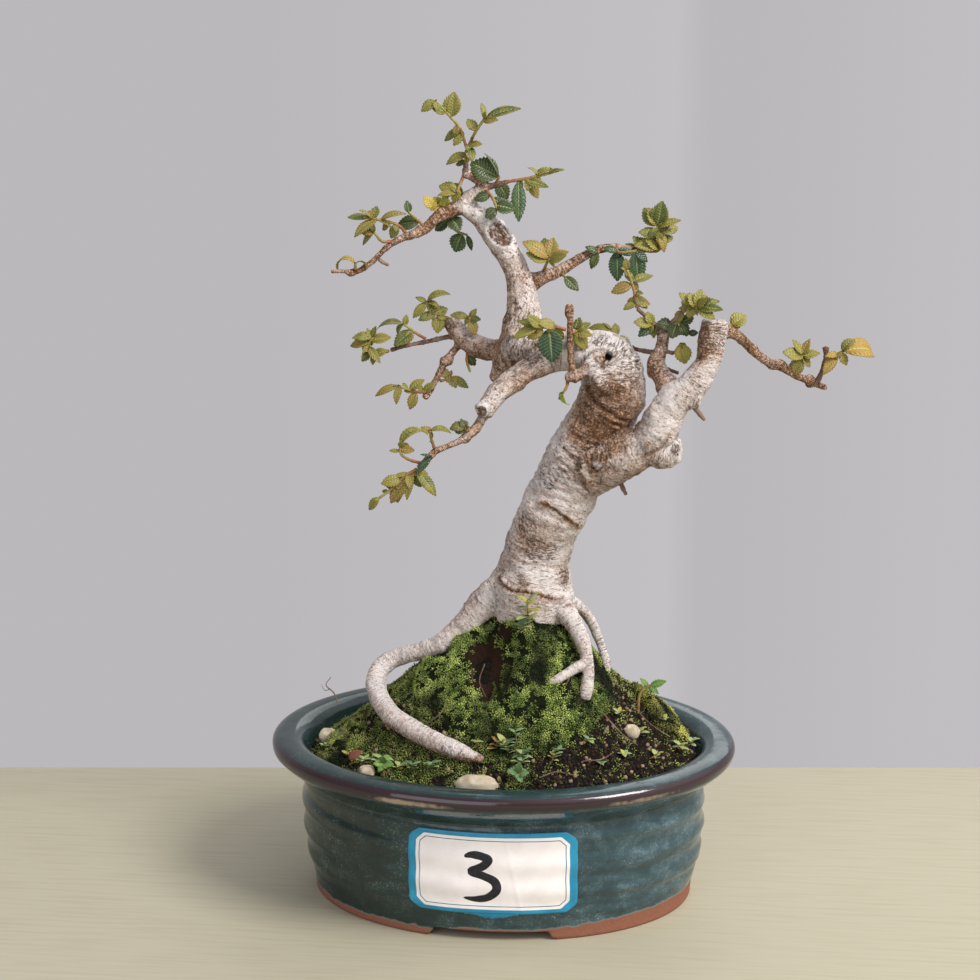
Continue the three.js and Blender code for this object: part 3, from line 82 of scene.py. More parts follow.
# Each limb of the wood is a row of (x, y, z, radius) in mm, from where it springs outwards.
LIMBS = {
    "bole": [(10, 2, 112, 15), (12.5, 0, 130, 17), (13, 0, 140, 18.5), (14, 0, 148, 16.3), (15, 0, 156, 15),
        (18, -1, 168, 14.4), (22, -2, 176, 14.6), (26.5, -3, 185, 14.8), (32.5, -4, 199, 14.7),
        (38, -5, 209, 14), (43, -6, 219, 13.7), (47, -6, 229, 14.3), (47.5, -6, 238, 13.5)],
    "shoulder": [(51, -6, 234, 11.5), (45, -6, 244, 11.8), (36, -6, 247.5, 9.6), (26, -5, 247.5, 9),
        (16, -3, 246.5, 9.4), (8, 0, 248, 9.4)],
    "leader": [(9, 0, 243, 8.6), (7.5, 1, 255, 8.6), (8.5, 2, 262.5, 7.8), (8, 3, 268.5, 6.9),
        (6.5, 4, 276, 5.8), (3.5, 5, 284, 5.5), (-0.5, 6, 290.5, 5.5), (-4.5, 6, 296, 5.6),
        (-9.5, 6, 302, 4.3), (-15.5, 6, 306, 3.7), (-20, 6, 308.5, 3.3)],
    "heel": [(6, 2, 251, 8), (0, 4, 241, 5.2), (-4.5, 6, 232.5, 2.2)],
    "middleLeft": [(8, 4, 246, 6.5), (-5.5, 10, 244.5, 4.8), (-13.5, 14, 246, 4.8), (-19.5, 17, 249.5, 4.4),
        (-23.5, 18, 254, 3.6), (-25, 18, 257, 3)],
    "lowLeft": [(20, -6, 244, 6.2), (11.5, -14, 240.5, 5.1), (4.5, -18, 236, 4.9), (-1, -21, 231, 4.4),
        (-4.5, -23, 226, 4.2), (-6.2, -24, 222.8, 3.8)],
    "lowLeftScar": [(-4.5, -23, 227, 3), (-7.4, -28.4, 225.6, 3.1)],
    "right": [(36, -3, 194, 12), (45, -12, 200.5, 11.5), (54, -16, 205, 9.8), (62, -18, 209.5, 9),
        (67, -19, 216, 8.5), (70, -20, 224, 8), (74, -20, 230, 7.4), (79, -20, 234, 6.7), (84, -20, 240, 5.7),
        (87, -19, 246, 5.3), (88.3, -18, 253, 5.9), (89.5, -17, 260, 5.7), (89.7, -17, 263.3, 5.1)],
    "rightStump": [(61, -18, 209, 9), (71, -19, 207.5, 7.4), (76.5, -20, 208, 5)],
    "rightElbow": [(76, -20, 232, 6.6), (84.5, -20, 231.5, 5)],
    "upright": [(75, -17, 229, 6.5), (68.5, -10, 237.5, 4.2), (65.6, -8, 243, 3.6), (67.2, -8, 249, 2.7),
        (67.9, -8, 254, 2.4), (67.8, -8, 257.5, 2.3)],
    "farRight": [(89, -17, 259.5, 3), (98, -14, 257, 2.2), (102.6, -12, 253.4, 1.9), (108, -10, 248, 1.8),
        (116.5, -6, 242.5, 1.6), (126, -2, 237, 1.5), (133.5, 0, 234, 1.4), (138.3, 1, 232, 1.1)],
    "farRightUp": [(133.5, 0, 233.5, 1.2), (136, 0, 240, 1.05), (137.2, 0, 245.5, 1.1), (137, 0, 249.5, 1.3)],
    "crownLeft": [(-18, 6, 307.5, 3.2), (-24.7, 2, 305, 2.8), (-29, -1, 302.5, 2.3), (-32.7, -3, 298.3, 2.1),
        (-38, -6, 296, 1.7), (-43, -8, 294.5, 1.5), (-47.3, -9, 292, 1.4), (-52.2, -11, 287.6, 1.3),
        (-57, -13, 283.5, 1.2), (-61.8, -15, 281, 1.1), (-65.5, -16, 281.5, 1), (-71.2, -18, 282, 0.9)],
    "crownUp": [(-19, 6, 308, 3.3), (-15.5, 6, 310.3, 3.2), (-10.5, 6, 313.3, 2.8), (-8.6, 6, 316, 2.4),
        (-12.6, 5, 319.3, 2.1), (-17.4, 4, 321.8, 1.9)],
    "crownTop": [(-16.6, 4, 321, 1.4), (-16.2, 3, 325.5, 1.2)],
    "crownRight": [(-9, 6, 315, 1.7), (-2.4, 6, 316.7, 1.3), (1, 7, 317.6, 1.1)],
    "rightCrown": [(6, 3, 273, 5), (16.4, 8, 277, 3), (24, 12, 280, 2.4), (31.4, 15, 284.5, 2),
        (38.7, 17, 288, 1.7), (44.6, 18, 289, 1.6), (51, 19, 288.6, 1.4), (58.8, 20, 287.3, 1.2)],
    "leftTwig": [(-20, 17, 249.5, 1.8), (-25.4, 18, 249, 1.2), (-35, 16, 247, 1), (-42.7, 14, 245.7, 0.9),
        (-50.4, 12, 243.7, 0.9)],
    "leftDrop": [(-18, 16, 248.5, 2.2), (-21.7, 16, 245, 1.7), (-26.8, 14, 238.3, 1.5),
        (-30.6, 12, 230.7, 1.4), (-33.6, 11, 225.3, 1.4), (-35.3, 10, 222.8, 1.3)],
    "lowTwig": [(-5.5, -23.5, 224.5, 2.6), (-6.6, -24, 221.5, 2.1), (-10.5, -26, 216.6, 1.8),
        (-14.6, -28, 213, 1.5), (-20.3, -30, 210.3, 1.3), (-25.7, -31, 208.3, 1.3), (-29.4, -32, 204.6, 1.3),
        (-33, -33, 201.2, 1.2)],
    "browBase": [(44, -12, 248, 4.5), (38.5, -19, 244.5, 2.9), (36.3, -20.5, 241.5, 2.4),
        (32.8, -21, 239.6, 2), (28.4, -21, 239, 1.7)],
    "browStub": [(31, -20.5, 239, 1.5), (29.8, -20, 252.5, 1.2), (29.5, -20, 269.2, 1.15)],
    "rib": [(37.5, -18.5, 246, 3.2), (41, -21, 239, 2.8), (44, -21, 234.5, 2.3), (46, -19, 232, 1.6)],
    "uprightTwig": [(67.9, -8, 256, 1.8), (66, -8, 258.7, 1.1), (61.8, -7, 262.2, 0.95),
        (57.4, -6, 265.8, 0.9)],
    "uprightLeft": [(67, -8, 247.5, 1.4), (60.8, -4, 247.6, 1), (55.6, 0, 248.2, 0.9), (50.6, 3, 251, 0.8)],
    "uprightRight": [(67, -8, 249, 1.2), (72.8, -9, 247.7, 0.8)],
    "uprightStub": [(66.5, -8, 242.2, 1), (71, -8, 240.5, 0.8), (75, -8, 239.1, 0.8)],
    "uprightCurl": [(68, -8, 256, 1.3), (72, -12, 261.4, 0.9), (76.2, -15, 266, 0.8)],
    "twiglet": [(50.5, -14, 197, 1.2), (52.2, -15, 191, 1), (54, -15, 187.4, 0.8)],
    "thorn": [(81, -20, 228, 1.4), (86.4, -20, 221.5, 0.8)],
    "leftShort": [(-53, -11, 287.5, 0.9), (-50.8, -9, 285, 0.8), (-48.5, -7, 283.4, 0.7)],
    "rootLeft": [(6, 0, 142, 12), (-2, -1, 138, 8.6), (-7.4, -1, 132.8, 7.7), (-12.8, -1, 126.6, 7.1),
        (-18, -1, 120.5, 6.7), (-23.4, -2, 116, 5.8), (-28.7, -2, 113, 4.9), (-34.5, -1, 110.6, 4.2),
        (-41.5, 1, 108, 4), (-47.6, 3, 105.8, 4.2), (-52.9, 2, 103, 4.4), (-56.2, -2, 99.2, 4.4),
        (-55.8, -9, 94.4, 4.5), (-52.3, -17, 90.7, 4.5), (-45.9, -26, 87.6, 4.5), (-38.7, -32, 85.2, 4.5),
        (-30.5, -38, 83.6, 4.3), (-23.5, -42, 82, 4.2), (-16.5, -45, 80.6, 3.8), (-10.8, -47, 79.4, 3.1),
        (-4.3, -49, 77.8, 1.7)],
    "rootFront": [(17, -4, 142, 8), (22, -5, 136.6, 6.3), (27.6, -9, 133, 5), (33.5, -13, 126.6, 3.8),
        (37, -17, 119.7, 3.1), (38.8, -20, 112.6, 2.7), (39, -22, 106.4, 2.7), (38.2, -24, 101, 2.8),
        (37.8, -25, 98, 2.3)],
    "rootFork": [(38.6, -20, 113.8, 2.5), (31.6, -24, 110.6, 2.2), (26.2, -27, 107.6, 2.2),
        (22.8, -28, 105.9, 1.8)],
    "rootRight": [(21, 0, 140, 6), (28, 0.5, 135, 3.6), (34.5, 2, 131, 2.4), (39.5, 2, 124.4, 2.2),
        (43.2, 1, 115.5, 2), (46, -1, 107.4, 1.9), (46.2, -2, 96, 1.8)],
    "rootBack": [(14, 4, 142, 8), (16, 16, 126, 6), (20, 28, 109, 4.6), (26, 38, 93, 3.6), (30, 48, 76, 2.6)],
}

# Tones of leaf: the blade's body, its edge, its darker tone that is also the painted shade in its hollows,
# and its roughness.
LEAF_TONES = {
    "young": ("#8e853a", "#a6783c", "#4e5826", 0.44),
    "old": ("#3e4d2a", "#6f733a", "#263420", 0.32),
    "bronze": ("#8b7a38", "#92583a", "#5d6832", 0.42),
    "golden": ("#b5a03e", "#bf944a", "#8f8f38", 0.45),
    "tawny": ("#a58d3c", "#935c3a", "#757232", 0.45),
    "deep": ("#355039", "#54693c", "#20382b", 0.3),
    "amber": ("#ac893c", "#97643a", "#857f38", 0.42),
    "lime": ("#a0b33e", "#b2b85a", "#7a9034", 0.4),
    "straw": ("#a0913c", "#a46d3e", "#6b7234", 0.42),
    "olive": ("#8e8236", "#a46d3e", "#565f2b", 0.44),
    "copper": ("#a3823a", "#a8603a", "#6d6a32", 0.6),
    "crumpled": ("#6a6236", "#574029", "#48502e", 0.5),
    "shaded": ("#364d38", "#4a6040", "#25392c", 0.32),
    "seedling": ("#5f8436", "#86a04a", "#45652c", 0.45),
    "weed": ("#6e9846", "#95b05e", "#4e7238", 0.45),
    "pale weed": ("#7aa068", "#a6bc8a", "#587e4c", 0.5),
}

# Each shoot has its tone, its stems as rows of (x, y, z), and its leaves as rows of (stem, place
# along it, heading, length, width, towards the viewer, roll, arch), in mm and degrees.
SHOOTS = {
    "shoot_top": ("young", [[(-16.2, 3, 324.6), (-15.6, 2, 331), (-16.9, 2, 335.3), (-18.2, 2, 339.5),
        (-23.5, 1, 346), (-28.4, 0, 351.5)], [(-15.6, 2, 331), (-12.5, 0, 337.6), (-8, -2, 344.3)]],
        [(0, 1, 208, 7.5, 5.4, 10, 10, 0.3), (0, 0.76, 82, 10.5, 7.4, 8, 0, 0.2), (0, 0.6, 203, 9, 4.8,
        -8, 15, 0.4), (0, 0.52, 228, 6, 3.6, 15, 0, 0.3), (1, 0.62, 124, 7, 4.4, -20, 15, 0.3),
        (1, 1, 28, 16, 5.6, 4, 25, 0.5), (1, 0.94, 12, 7.5, 3.4, 35, 0, 0.3),
        (1, 0.2, 6, 5.4, 3.2, 20, 0, 0.2), (1, 0.14, 290, 7, 4.4, 38, 10, 0.4),
        (0, 0.16, 198, 10, 5, 12, 20, 0.4), (0, 0.05, 190, 6, 3, -25, 0, 0.3)]),
    "shoot_crown_mid": ("old", [[(-3.4, 5.6, 317.4), (-2.2, 4, 320)]], [(0, 0.9, 150, 13.5, 10.8, 6, -5, 0.4),
        (0, 1, 113, 11.5, 6, 0, 70, 0.3)]),
    "shoot_crown_right": ("young", [[(0.8, 7, 317.6), (10.2, 8, 319.2), (17.3, 9, 320.8), (25, 10, 323)]],
        [(0, 0.44, 45, 12, 5.2, -10, 35, 1.2), (0, 0.7, 30, 6, 3, 12, 40, 0.3), (0, 0.22, 243, 5, 4,
        -30, 0, 0.3), (0, 0.3, 303, 10.5, 4.8, -14, 10, 0.3), (0, 0.17, 272, 17.5, 6, 14, 5, 0.2),
        (0, 0.38, 250, 6, 4, 30, 0, 0.2)]),
    "shoot_crown_low": ("old", [[(-7.8, 4.5, 314.4), (-4.5, 1, 310.8), (-2.7, -1, 306.8)]],
        [(0, 0.8, 352, 8.4, 6.6, 12, 0, 0.3), (0, 0.3, 190, 7, 4.6, 10, 0, 0.3),
        (0, 1, 212, 6, 4.8, 12, 0, 0.3), (0, 0.45, 330, 7, 4.4, -10, 15, 0.3)]),
    "shoot_crown_back": ("young", [[(-17.6, 4, 319.6), (-19, 0, 315.6), (-19.6, -2, 313.6)]],
        [(0, 0.3, 212, 10.5, 5, -5, 10, 0.4), (0, 1, 180, 8, 3.6, 10, 20, 0.3)]),
    "shoot_yellow": ("golden", [[(-24.6, 1.4, 307), (-27, 0, 308.6), (-30.4, -3, 306.4)]],
        [(0, 0, 158, 8.6, 6.6, 16, 0, 0.3), (0, 0.9, 120, 6.4, 4.4, 16, 10, 0.3)]),
    "shoot_crown_rear": ("old",
        [[(-23, 5.2, 302.6), (-24.5, 12, 299.8), (-21.6, 13, 296), (-16.8, 12, 294.3)]],
        [(0, 0.1, 214, 9, 5.8, -8, 0, 0.3), (0, 0.02, 316, 7.8, 6.6, 40, 0, 0.3), (0, 0.85, 246, 9, 7.4,
        -4, 0, 0.3), (0, 1, 292, 7, 2.8, 0, 20, 0.3)]),
    "shoot_left_dark": ("old", [[(-33.6, -3.6, 299.6), (-35.6, -5, 302), (-39.5, -6, 305.5)]],
        [(0, 0.4, 184, 10.5, 6.8, -8, 0, 0.3), (0, 1, 98, 5, 3.4, 0, 20, 0.2)]),
    "shoot_left_red": ("bronze", [[(-40.9, -7.6, 297.4), (-43.6, -10, 300.6), (-51, -12.5, 303),
        (-57.7, -13.5, 304)]], [(0, 0.72, 204, 12.5, 5.2, 34, 25, 0.5), (0, 0.66, 34, 11.6, 4.6, 0, 30, 0.8),
        (0, 0.94, 50, 4.6, 2.8, -10, 0, 0.2), (0, 0.34, 238, 6.4, 4.4, 5, 0, 0.3), (0, 0.5, 222, 5.8, 3.4,
        -25, 0, 0.2)]),
    "shoot_left_twig": ("young", [[(-46.8, -9.6, 293.6), (-50.3, -12, 294), (-53.3, -14, 298)]],
        [(0, 1, 214, 9, 4, -16, 15, 0.5), (0, 0.96, 176, 6, 3, -4, 0, 0.4)]),
    "shoot_left_curl": ("tawny", [[(-61.2, -15.6, 282.3), (-61, -16.5, 285)]],
        [(0, 1, 128, 13, 5.4, 0, 55, 2.6)]),
    "shoot_right_base": ("young", [[(16.8, 6.4, 280.2), (18, 3, 283), (19.4, 0.5, 286)]],
        [(0, 1, 137, 13.5, 7, 8, 15, 0.6), (0, 0.88, 102, 10.5, 6, -16, 0, 0.5),
        (0, 0.8, 38, 10, 5, 20, 20, 0.5), (0, 0.96, 66, 7, 4.2, -30, 0, 0.4)]),
    "shoot_right_low": ("old", [[(24.4, 10.6, 278.2), (25.4, 8.4, 277.4)]],
        [(0, 1, 320, 8.6, 4.6, 10, 0, 0.3)]),
    "shoot_right_dots": ("old", [[(39.6, 14.8, 287.6), (39.8, 13, 287)]], [(0, 1, 240, 7.4, 4.4, 5, 15, 0.3),
        (0, 0.8, 150, 6, 3.2, 10, 0, 0.3)]),
    "shoot_right_hanging": ("deep", [[(47.4, 17, 288.6), (48.6, 13, 287.4), (56, 12, 288.2)]],
        [(0, 0.2, 272, 13.4, 7, 2, 0, 0.2), (0, 0.98, 277, 14, 7.4, -4, 10, 0.2),
        (0, 0.4, 160, 6.5, 3.2, 0, 0, 0.3)]),
    "shoot_right_tip": ("young",
        [[(58.6, 20, 287.3), (65.7, 19, 287.9), (66.2, 18, 292.3), (64.8, 17, 298.4)]],
        [(0, 0.8, 168, 9, 5, 12, 0, 0.3), (0, 0.5, 172, 11.5, 6, 22, 0, 0.4), (0, 0.66, 140, 9.5, 5,
        -20, 0, 0.3), (0, 1, 112, 8.6, 5.6, 6, 15, 0.4), (0, 0.97, 62, 8.2, 4.6, -12, 0, 0.4),
        (0, 1, 24, 10.4, 4.4, 6, 20, 0.4), (0, 0.42, 142, 8, 4.8, 34, 0, 0.3),
        (0, 0.9, 296, 10, 4.6, 5, 25, 0.5), (0, 0.6, 30, 7.5, 4.2, -30, 0, 0.4)]),
    "shoot_upper_mid": ("bronze",
        [[(57.2, -6, 266.2), (56.2, -5, 271.2), (54.8, -4, 276.6), (52.6, -4, 282)]],
        [(0, 0.62, 194, 9.6, 5.6, 5, 5, 0.4), (0, 0.7, 24, 9.6, 4.2, -8, 15, 0.4),
        (0, 0.34, 318, 7.4, 4.2, 12, 0, 0.3), (0, 0.3, 236, 6.2, 3.8, -10, 0, 0.3),
        (0, 1, 96, 5, 3, 10, 0, 0.2)]),
    "shoot_pair": ("young", [[(64.6, -9.2, 260), (63.8, -12, 260.4)]], [(0, 1, 168, 7.8, 5.2, 10, 5, 0.3),
        (0, 0.4, 214, 8.2, 4.6, 24, 0, 0.3), (0, 1, 112, 5.6, 4, 10, 0, 0.3)]),
    "shoot_mid_dark": ("old", [[(70.2, -9.4, 256.6), (71.8, -12, 260), (75.5, -14, 261.6)],
        [(71.5, -10, 256.4), (75.6, -11, 256.4), (79, -12, 256.6)]], [(0, 0.5, 165, 6, 5.4, 8, 0, 0.3),
        (0, 0.8, 250, 6.6, 5.6, 12, 0, 0.3), (0, 1, 302, 6.4, 5, 8, 10, 0.3), (0, 1, 24, 6, 4.6, -10, 0, 0.3),
        (1, 1, 12, 4, 3, 0, 0, 0.3)]),
    "shoot_mid_young": ("straw", [[(73.2, -9.2, 247.7), (75.8, -12, 252.2)]],
        [(0, 1, 286, 8.6, 6.8, 12, 0, 0.4)]),
    "shoot_stump_left": ("young", [[(76.4, -15.2, 266.2), (80.1, -17, 269), (82.4, -19, 268.4)]],
        [(0, 0.7, 134, 8.4, 4.2, 0, 15, 0.3), (0, 0.8, 28, 10.4, 4.8, 8, 20, 0.6),
        (0, 1, 12, 11, 4.6, 30, 10, 0.5), (0, 1, 340, 9.4, 4.4, 42, 0, 0.4), (0, 0.94, 60, 7, 4, -20, 0, 0.3),
        (0, 0.2, 100, 6, 3.6, -30, 0, 0.3)]),
    "shoot_stump_back": ("amber", [[(95.2, -12.6, 259.4), (96.4, -10, 260.2)]],
        [(0, 1, 38, 8, 6.6, -4, 0, 0.6)]),
    "shoot_gap_left": ("young", [[(50.2, 3.3, 251.5), (45.9, 6, 255)]], [(0, 1, 166, 11, 4.6, 0, 20, 0.7),
        (0, 0.3, 322, 7.4, 4.4, 10, 0, 0.3), (0, 0.4, 100, 6, 3.4, -30, 0, 0.3)]),
    "shoot_brow": ("young", [[(28, -21, 258.9), (24.3, -22, 260.2), (20.2, -23, 260), (16.5, -24, 260.4)]],
        [(0, 0.35, 156, 8.8, 4.6, 22, 0, 0.4), (0, 0.6, 276, 14.6, 10, 4, 0, 0.15),
        (0, 1, 196, 11.2, 4.8, 14, 15, 0.4), (0, 0.96, 158, 9.4, 4, -6, 10, 0.4)]),
    "shoot_brow_back": ("young", [[(30.4, -18.2, 257.2), (32, -15.4, 257.6)]], [(0, 0.9, 34, 7, 4, 0, 0, 0.4),
        (0, 0.8, 304, 9.4, 5.2, 4, 0, 0.4)]),
    "shoot_pendent": ("lime", [[(28.9, -21, 237), (28.6, -22, 235), (27, -22, 232.3)]],
        [(0, 1, 256, 7.6, 3.8, 0, 40, 1.5)]),
    "shoot_far_top": ("young", [[(126.2, -2.4, 239), (126.7, -3, 243), (127.3, -4, 247)]],
        [(0, 0.9, 158, 9, 5.6, 24, 0, 0.4), (0, 0.8, 238, 8.2, 6.2, 8, 10, 0.4),
        (0, 1, 118, 7.6, 4, 0, 30, 0.3), (0, 1, 74, 7.2, 3.8, -6, 30, 0.3), (0, 0.9, 24, 7.4, 4.4, 12, 20,
        0.4), (0, 0.6, 196, 6, 4, -20, 0, 0.3)]),
    "shoot_far_end": ("copper", [[(138.6, -1, 245.9), (140.4, -2, 246.6), (143.6, -4, 248.6)]],
        [(0, 1, 20, 19, 9.4, 0, 6, 1.5), (0, 0.7, 232, 10.4, 4.6, 25, 0, 0.4),
        (0, 0.9, 300, 6, 3.6, 10, 0, 0.3)]),
    "shoot_arch_top": ("young",
        [[(-25.8, 16.6, 257.4), (-29.5, 14, 259.2), (-33.2, 13, 261), (-34.4, 12, 265)]],
        [(0, 1, 55, 12, 5, 6, 40, 1.4), (0, 0.98, 222, 9, 4.2, 10, 10, 0.3), (0, 0.7, 296, 4.4, 3.2, 20, 0,
        0.2), (0, 0.74, 20, 5.4, 3.2, -20, 0, 0.4), (0, 0.5, 198, 7.4, 4.4, 28, 0, 0.3),
        (0, 0.3, 262, 7.8, 5.6, 12, 0, 0.2)]),
    "shoot_arch_mid": ("young", [[(-35.4, 14.8, 248.5), (-39.4, 13, 251.2), (-42.3, 12, 253.6),
        (-44.6, 11, 255.4)]], [(0, 1, 160, 14, 5, 0, 35, 1.2), (0, 0.9, 84, 4.6, 2.8, 0, 0, 0.2),
        (0, 0.5, 216, 10.4, 6, 22, 0, 0.3)]),
    "shoot_left_end": ("young",
        [[(-51.2, 11.8, 243.5), (-57.6, 10, 241.4), (-60, 8, 245.6), (-57.6, 7, 250.2)]],
        [(0, 1, 174, 9, 4.6, 8, 15, 0.4), (0, 0.84, 186, 9.8, 4.8, -8, 10, 0.4),
        (0, 0.9, 14, 9, 4.8, 14, 0, 0.3), (0, 0.7, 314, 9.8, 3.6, 30, 0, 0.2), (0, 0.5, 226, 5.2, 3.6, 20, 0,
        0.2), (0, 0.36, 262, 4.6, 2.4, -10, 0, 0.2)]),
    "shoot_left_low": ("young", [[(-34.4, 9.4, 225.6), (-40, 9, 226), (-46.3, 7, 228.7)]],
        [(0, 1, 190, 12, 4.6, 5, 20, 0.6), (0, 0.66, 42, 8, 4.4, 0, 10, 0.4),
        (0, 0.95, 246, 5.4, 3, 20, 0, 0.2), (0, 0.42, 248, 8.4, 4.4, 8, 0, 0.3),
        (0, 0.12, 50, 6.4, 3.4, 14, 0, 0.3)]),
    "shoot_left_small": ("bronze", [[(-29, 12.4, 230.3), (-27, 13, 230.6), (-24.4, 14, 232)]],
        [(0, 1, 334, 9.2, 4.2, 8, 10, 0.3), (0, 0.9, 312, 5.6, 3.6, 30, 0, 0.3),
        (0, 0.8, 124, 5.8, 4, 0, 0, 0.3)]),
    "shoot_left_under": ("old", [[(-16.8, 13.8, 242.8), (-17, 12, 239.6), (-15.2, 8, 235.4)]],
        [(0, 0.2, 312, 5.8, 4.2, -6, 0, 0.3)]),
    "shoot_stub_right": ("young", [[(-14.2, 14, 251.5), (-13.8, 12, 255.3), (-16, 11, 258.9)]],
        [(0, 1, 166, 8, 3.8, 10, 10, 0.4), (0, 0.84, 292, 7, 4.4, 24, 0, 0.3),
        (0, 0.9, 60, 5, 3, 0, 0, 0.3)]),
    "shoot_low_arch": ("young", [[(-32.3, -32.5, 203.4), (-36.6, -32, 204.4), (-40.5, -31, 206.6),
        (-41.2, -30, 210)]], [(0, 1, 72, 17, 6, 0, 42, 2), (0, 0.87, 2, 6.2, 3.8, 14, 0, 0.2),
        (0, 0.81, 178, 4.6, 1.8, 0, 0, 0.1)]),
    "shoot_low_side": ("young", [[(-26.3, -31.2, 209.4), (-27.5, -33, 214.3), (-27.8, -34, 217.6)]],
        [(0, 1, 28, 9.8, 4.2, 4, 35, 1.3), (0, 0.9, 150, 4.4, 2.8, 0, 0, 0.2)]),
    "shoot_low_tip": ("olive", [[(-33.5, -33.1, 200.9), (-38.5, -34, 197.9), (-44.8, -35, 192),
        (-51.1, -36, 187.3)]], [(0, 0.2, 232, 15.5, 7, 12, 10, 0.4), (0, 0.5, 266, 9.6, 4.2, -6, 0, 0.3),
        (0, 0.14, 258, 12, 4, 28, 20, 0.2), (0, 0.05, 316, 14.4, 5, 5, 15, 0.5), (0, 0.12, 296, 8.8, 4.4,
        -14, 0, 0.3), (0, 0.03, 338, 5.8, 2.4, -22, 0, 0.2), (0, 0.66, 100, 6, 3.6, -20, 0, 0.3)]),
    "shoot_low_crumple": ("crumpled", [[(-12.6, -28.4, 216.6), (-13.6, -29.6, 218)]],
        [(0, 1, 150, 6.8, 5.4, 20, 30, 1.2), (0, 0.9, 190, 6, 4, 0, -30, 0.8),
        (0, 0.8, 110, 4.6, 3, 10, 10, 0.4)]),
    "shoot_low_dark": ("shaded", [[(-26.2, -33.2, 206.8), (-27.2, -34.6, 206.8)]],
        [(0, 1, 226, 10, 3.6, 10, 10, 0.2)]),
    "seedling_right": ("seedling", [[(60.6, -6, 86), (61.4, -6, 94.7), (63.5, -6, 97.4), (65.7, -6, 98.6)]],
        [(0, 1, 22, 7.4, 3.4, 5, 0, 0.2), (0, 0.9, 130, 5, 2.4, 0, 20, 0.3), (0, 0.8, 330, 3.6, 1.8, 20, 0,
        0.2)]),
    "weed_left": ("weed", [[(-48, -44.5, 60), (-47.5, -45, 73.5)]], [(0, 1, 92, 4.4, 3, 40, 0, 0.4),
        (0, 1, 170, 4.6, 3, 30, 0, 0.4), (0, 1, 10, 4.6, 3, 30, 0, 0.4), (0, 0.98, 230, 4.2, 2.8, 40, 0, 0.4),
        (0, 0.98, 60, 4.2, 2.8, -40, 0, 0.4)]),
    "weed_front": ("pale weed", [[(11.4, -54.2, 60), (11.2, -54.4, 74.8)]], [(0, 1, 84, 6, 3.4, 30, 0, 0.2),
        (0, 1, 150, 5, 3, 30, 0, 0.4), (0, 1, 20, 5, 3, 30, 0, 0.4), (0, 0.98, 300, 4, 2.6, 40, 0, 0.4)]),
}

# Stones: the middle and the half lengths, in mm.
STONES = {
    "stone_front": (-6, -54.2, 68.4, 9.4, 4.6, 4.6),
    "pebble_right": (58, -20, 82, 3.8, 3.4, 3.2),
    "pebble_left": (-55, -44.5, 69, 3.4, 2.8, 3),
    "pebble_far_left": (-78, -8, 71, 4.2, 3.6, 3.4),
}

# Limbs with a rough brown skin, and how brown: the thin wood of the crown and the left side.
BROWN = {"leader": 0.4, "heel": 0.6, "middleLeft": 0.7, "lowLeft": 0.45, "crownLeft": 1.1, "crownUp": 1.1,
    "crownTop": 1, "crownRight": 1, "rightCrown": 1.1, "leftTwig": 1, "leftDrop": 1, "lowTwig": 0.9,
    "browBase": 0.85, "browStub": 1.35, "upright": 0.85, "farRight": 1.35, "farRightUp": 1.1,
    "uprightTwig": 0.8, "uprightLeft": 0.8, "uprightRight": 0.7, "uprightCurl": 0.7, "leftShort": 1}
# Limbs too thin for the grid of the bark, which are tubes of their own.
TWIGS = ["farRightUp", "crownTop", "crownRight", "leftTwig", "uprightTwig", "uprightLeft", "uprightRight",
    "uprightStub", "uprightCurl", "twiglet", "thorn", "leftShort"]

# Creases in the bark: places in mm, half width, depth and how brown the crease is: the crack's own brown,
# deepened by painted shade that also darkens it and turns it orange.
CREASES = [
    ([(-5.9, -12, 149.3), (-1.3, -15, 146.6), (3.7, -17, 144.2), (8.9, -18, 143.7), (15.5, -18.5, 143.1),
        (22, -18, 141.4), (27.5, -16, 140), (32.5, -12, 139)], 0.55, 1.0, 0.8),
    ([(17.6, -15, 182.8), (23.8, -17, 180.4), (29.3, -16, 175.8), (34.3, -12, 170.5)], 0.5, 0.7, 1.0),
    ([(23.7, -17, 193.6), (32.3, -17, 189.4), (38.6, -15, 184.6)], 0.6, 0.6, 0.3),
    ([(25.8, -17, 198), (33.5, -17, 192.9), (42.9, -14, 185.4)], 0.6, 0.6, 0.3),
    ([(24, -17, 203), (30, -18, 198.5), (36, -18, 192)], 0.6, 0.6, 0.3),
    ([(27, -17, 207), (32, -18, 203), (35, -19, 198)], 0.6, 0.6, 0.3),
    ([(4, -14, 158), (10, -16, 156), (17, -17, 155.4), (24, -14, 154)], 0.5, 0.4, 0.2),
    ([(6, -14, 168), (12, -16, 166), (19, -17, 165)], 0.5, 0.35, 0.2),
    ([(30, -17, 214), (36, -19, 211), (42, -19, 209.6)], 0.6, 0.6, 0.3),
    ([(33, -18, 236), (39, -20, 229), (48, -20, 222.5), (57, -17, 218)], 0.8, 1.4, 0.8),
    ([(40, -19, 240), (47, -20, 233), (55, -19, 228)], 0.6, 0.5, 0.3),
    ([(48, -18, 219), (54, -18, 216), (58, -16, 213)], 0.8, 1.4, 1.0),
    ([(0.7, -1, 301.4), (2, -1, 297.2), (0.3, -1, 292.1)], 0.6, 0.9, 1.0),
    ([(14, -14, 252), (19, -14, 249), (24, -15, 245)], 0.7, 0.6, 0.5),
    ([(62, -26, 207), (68, -27, 210), (72, -27, 216)], 0.6, 0.5, 0.4),
]
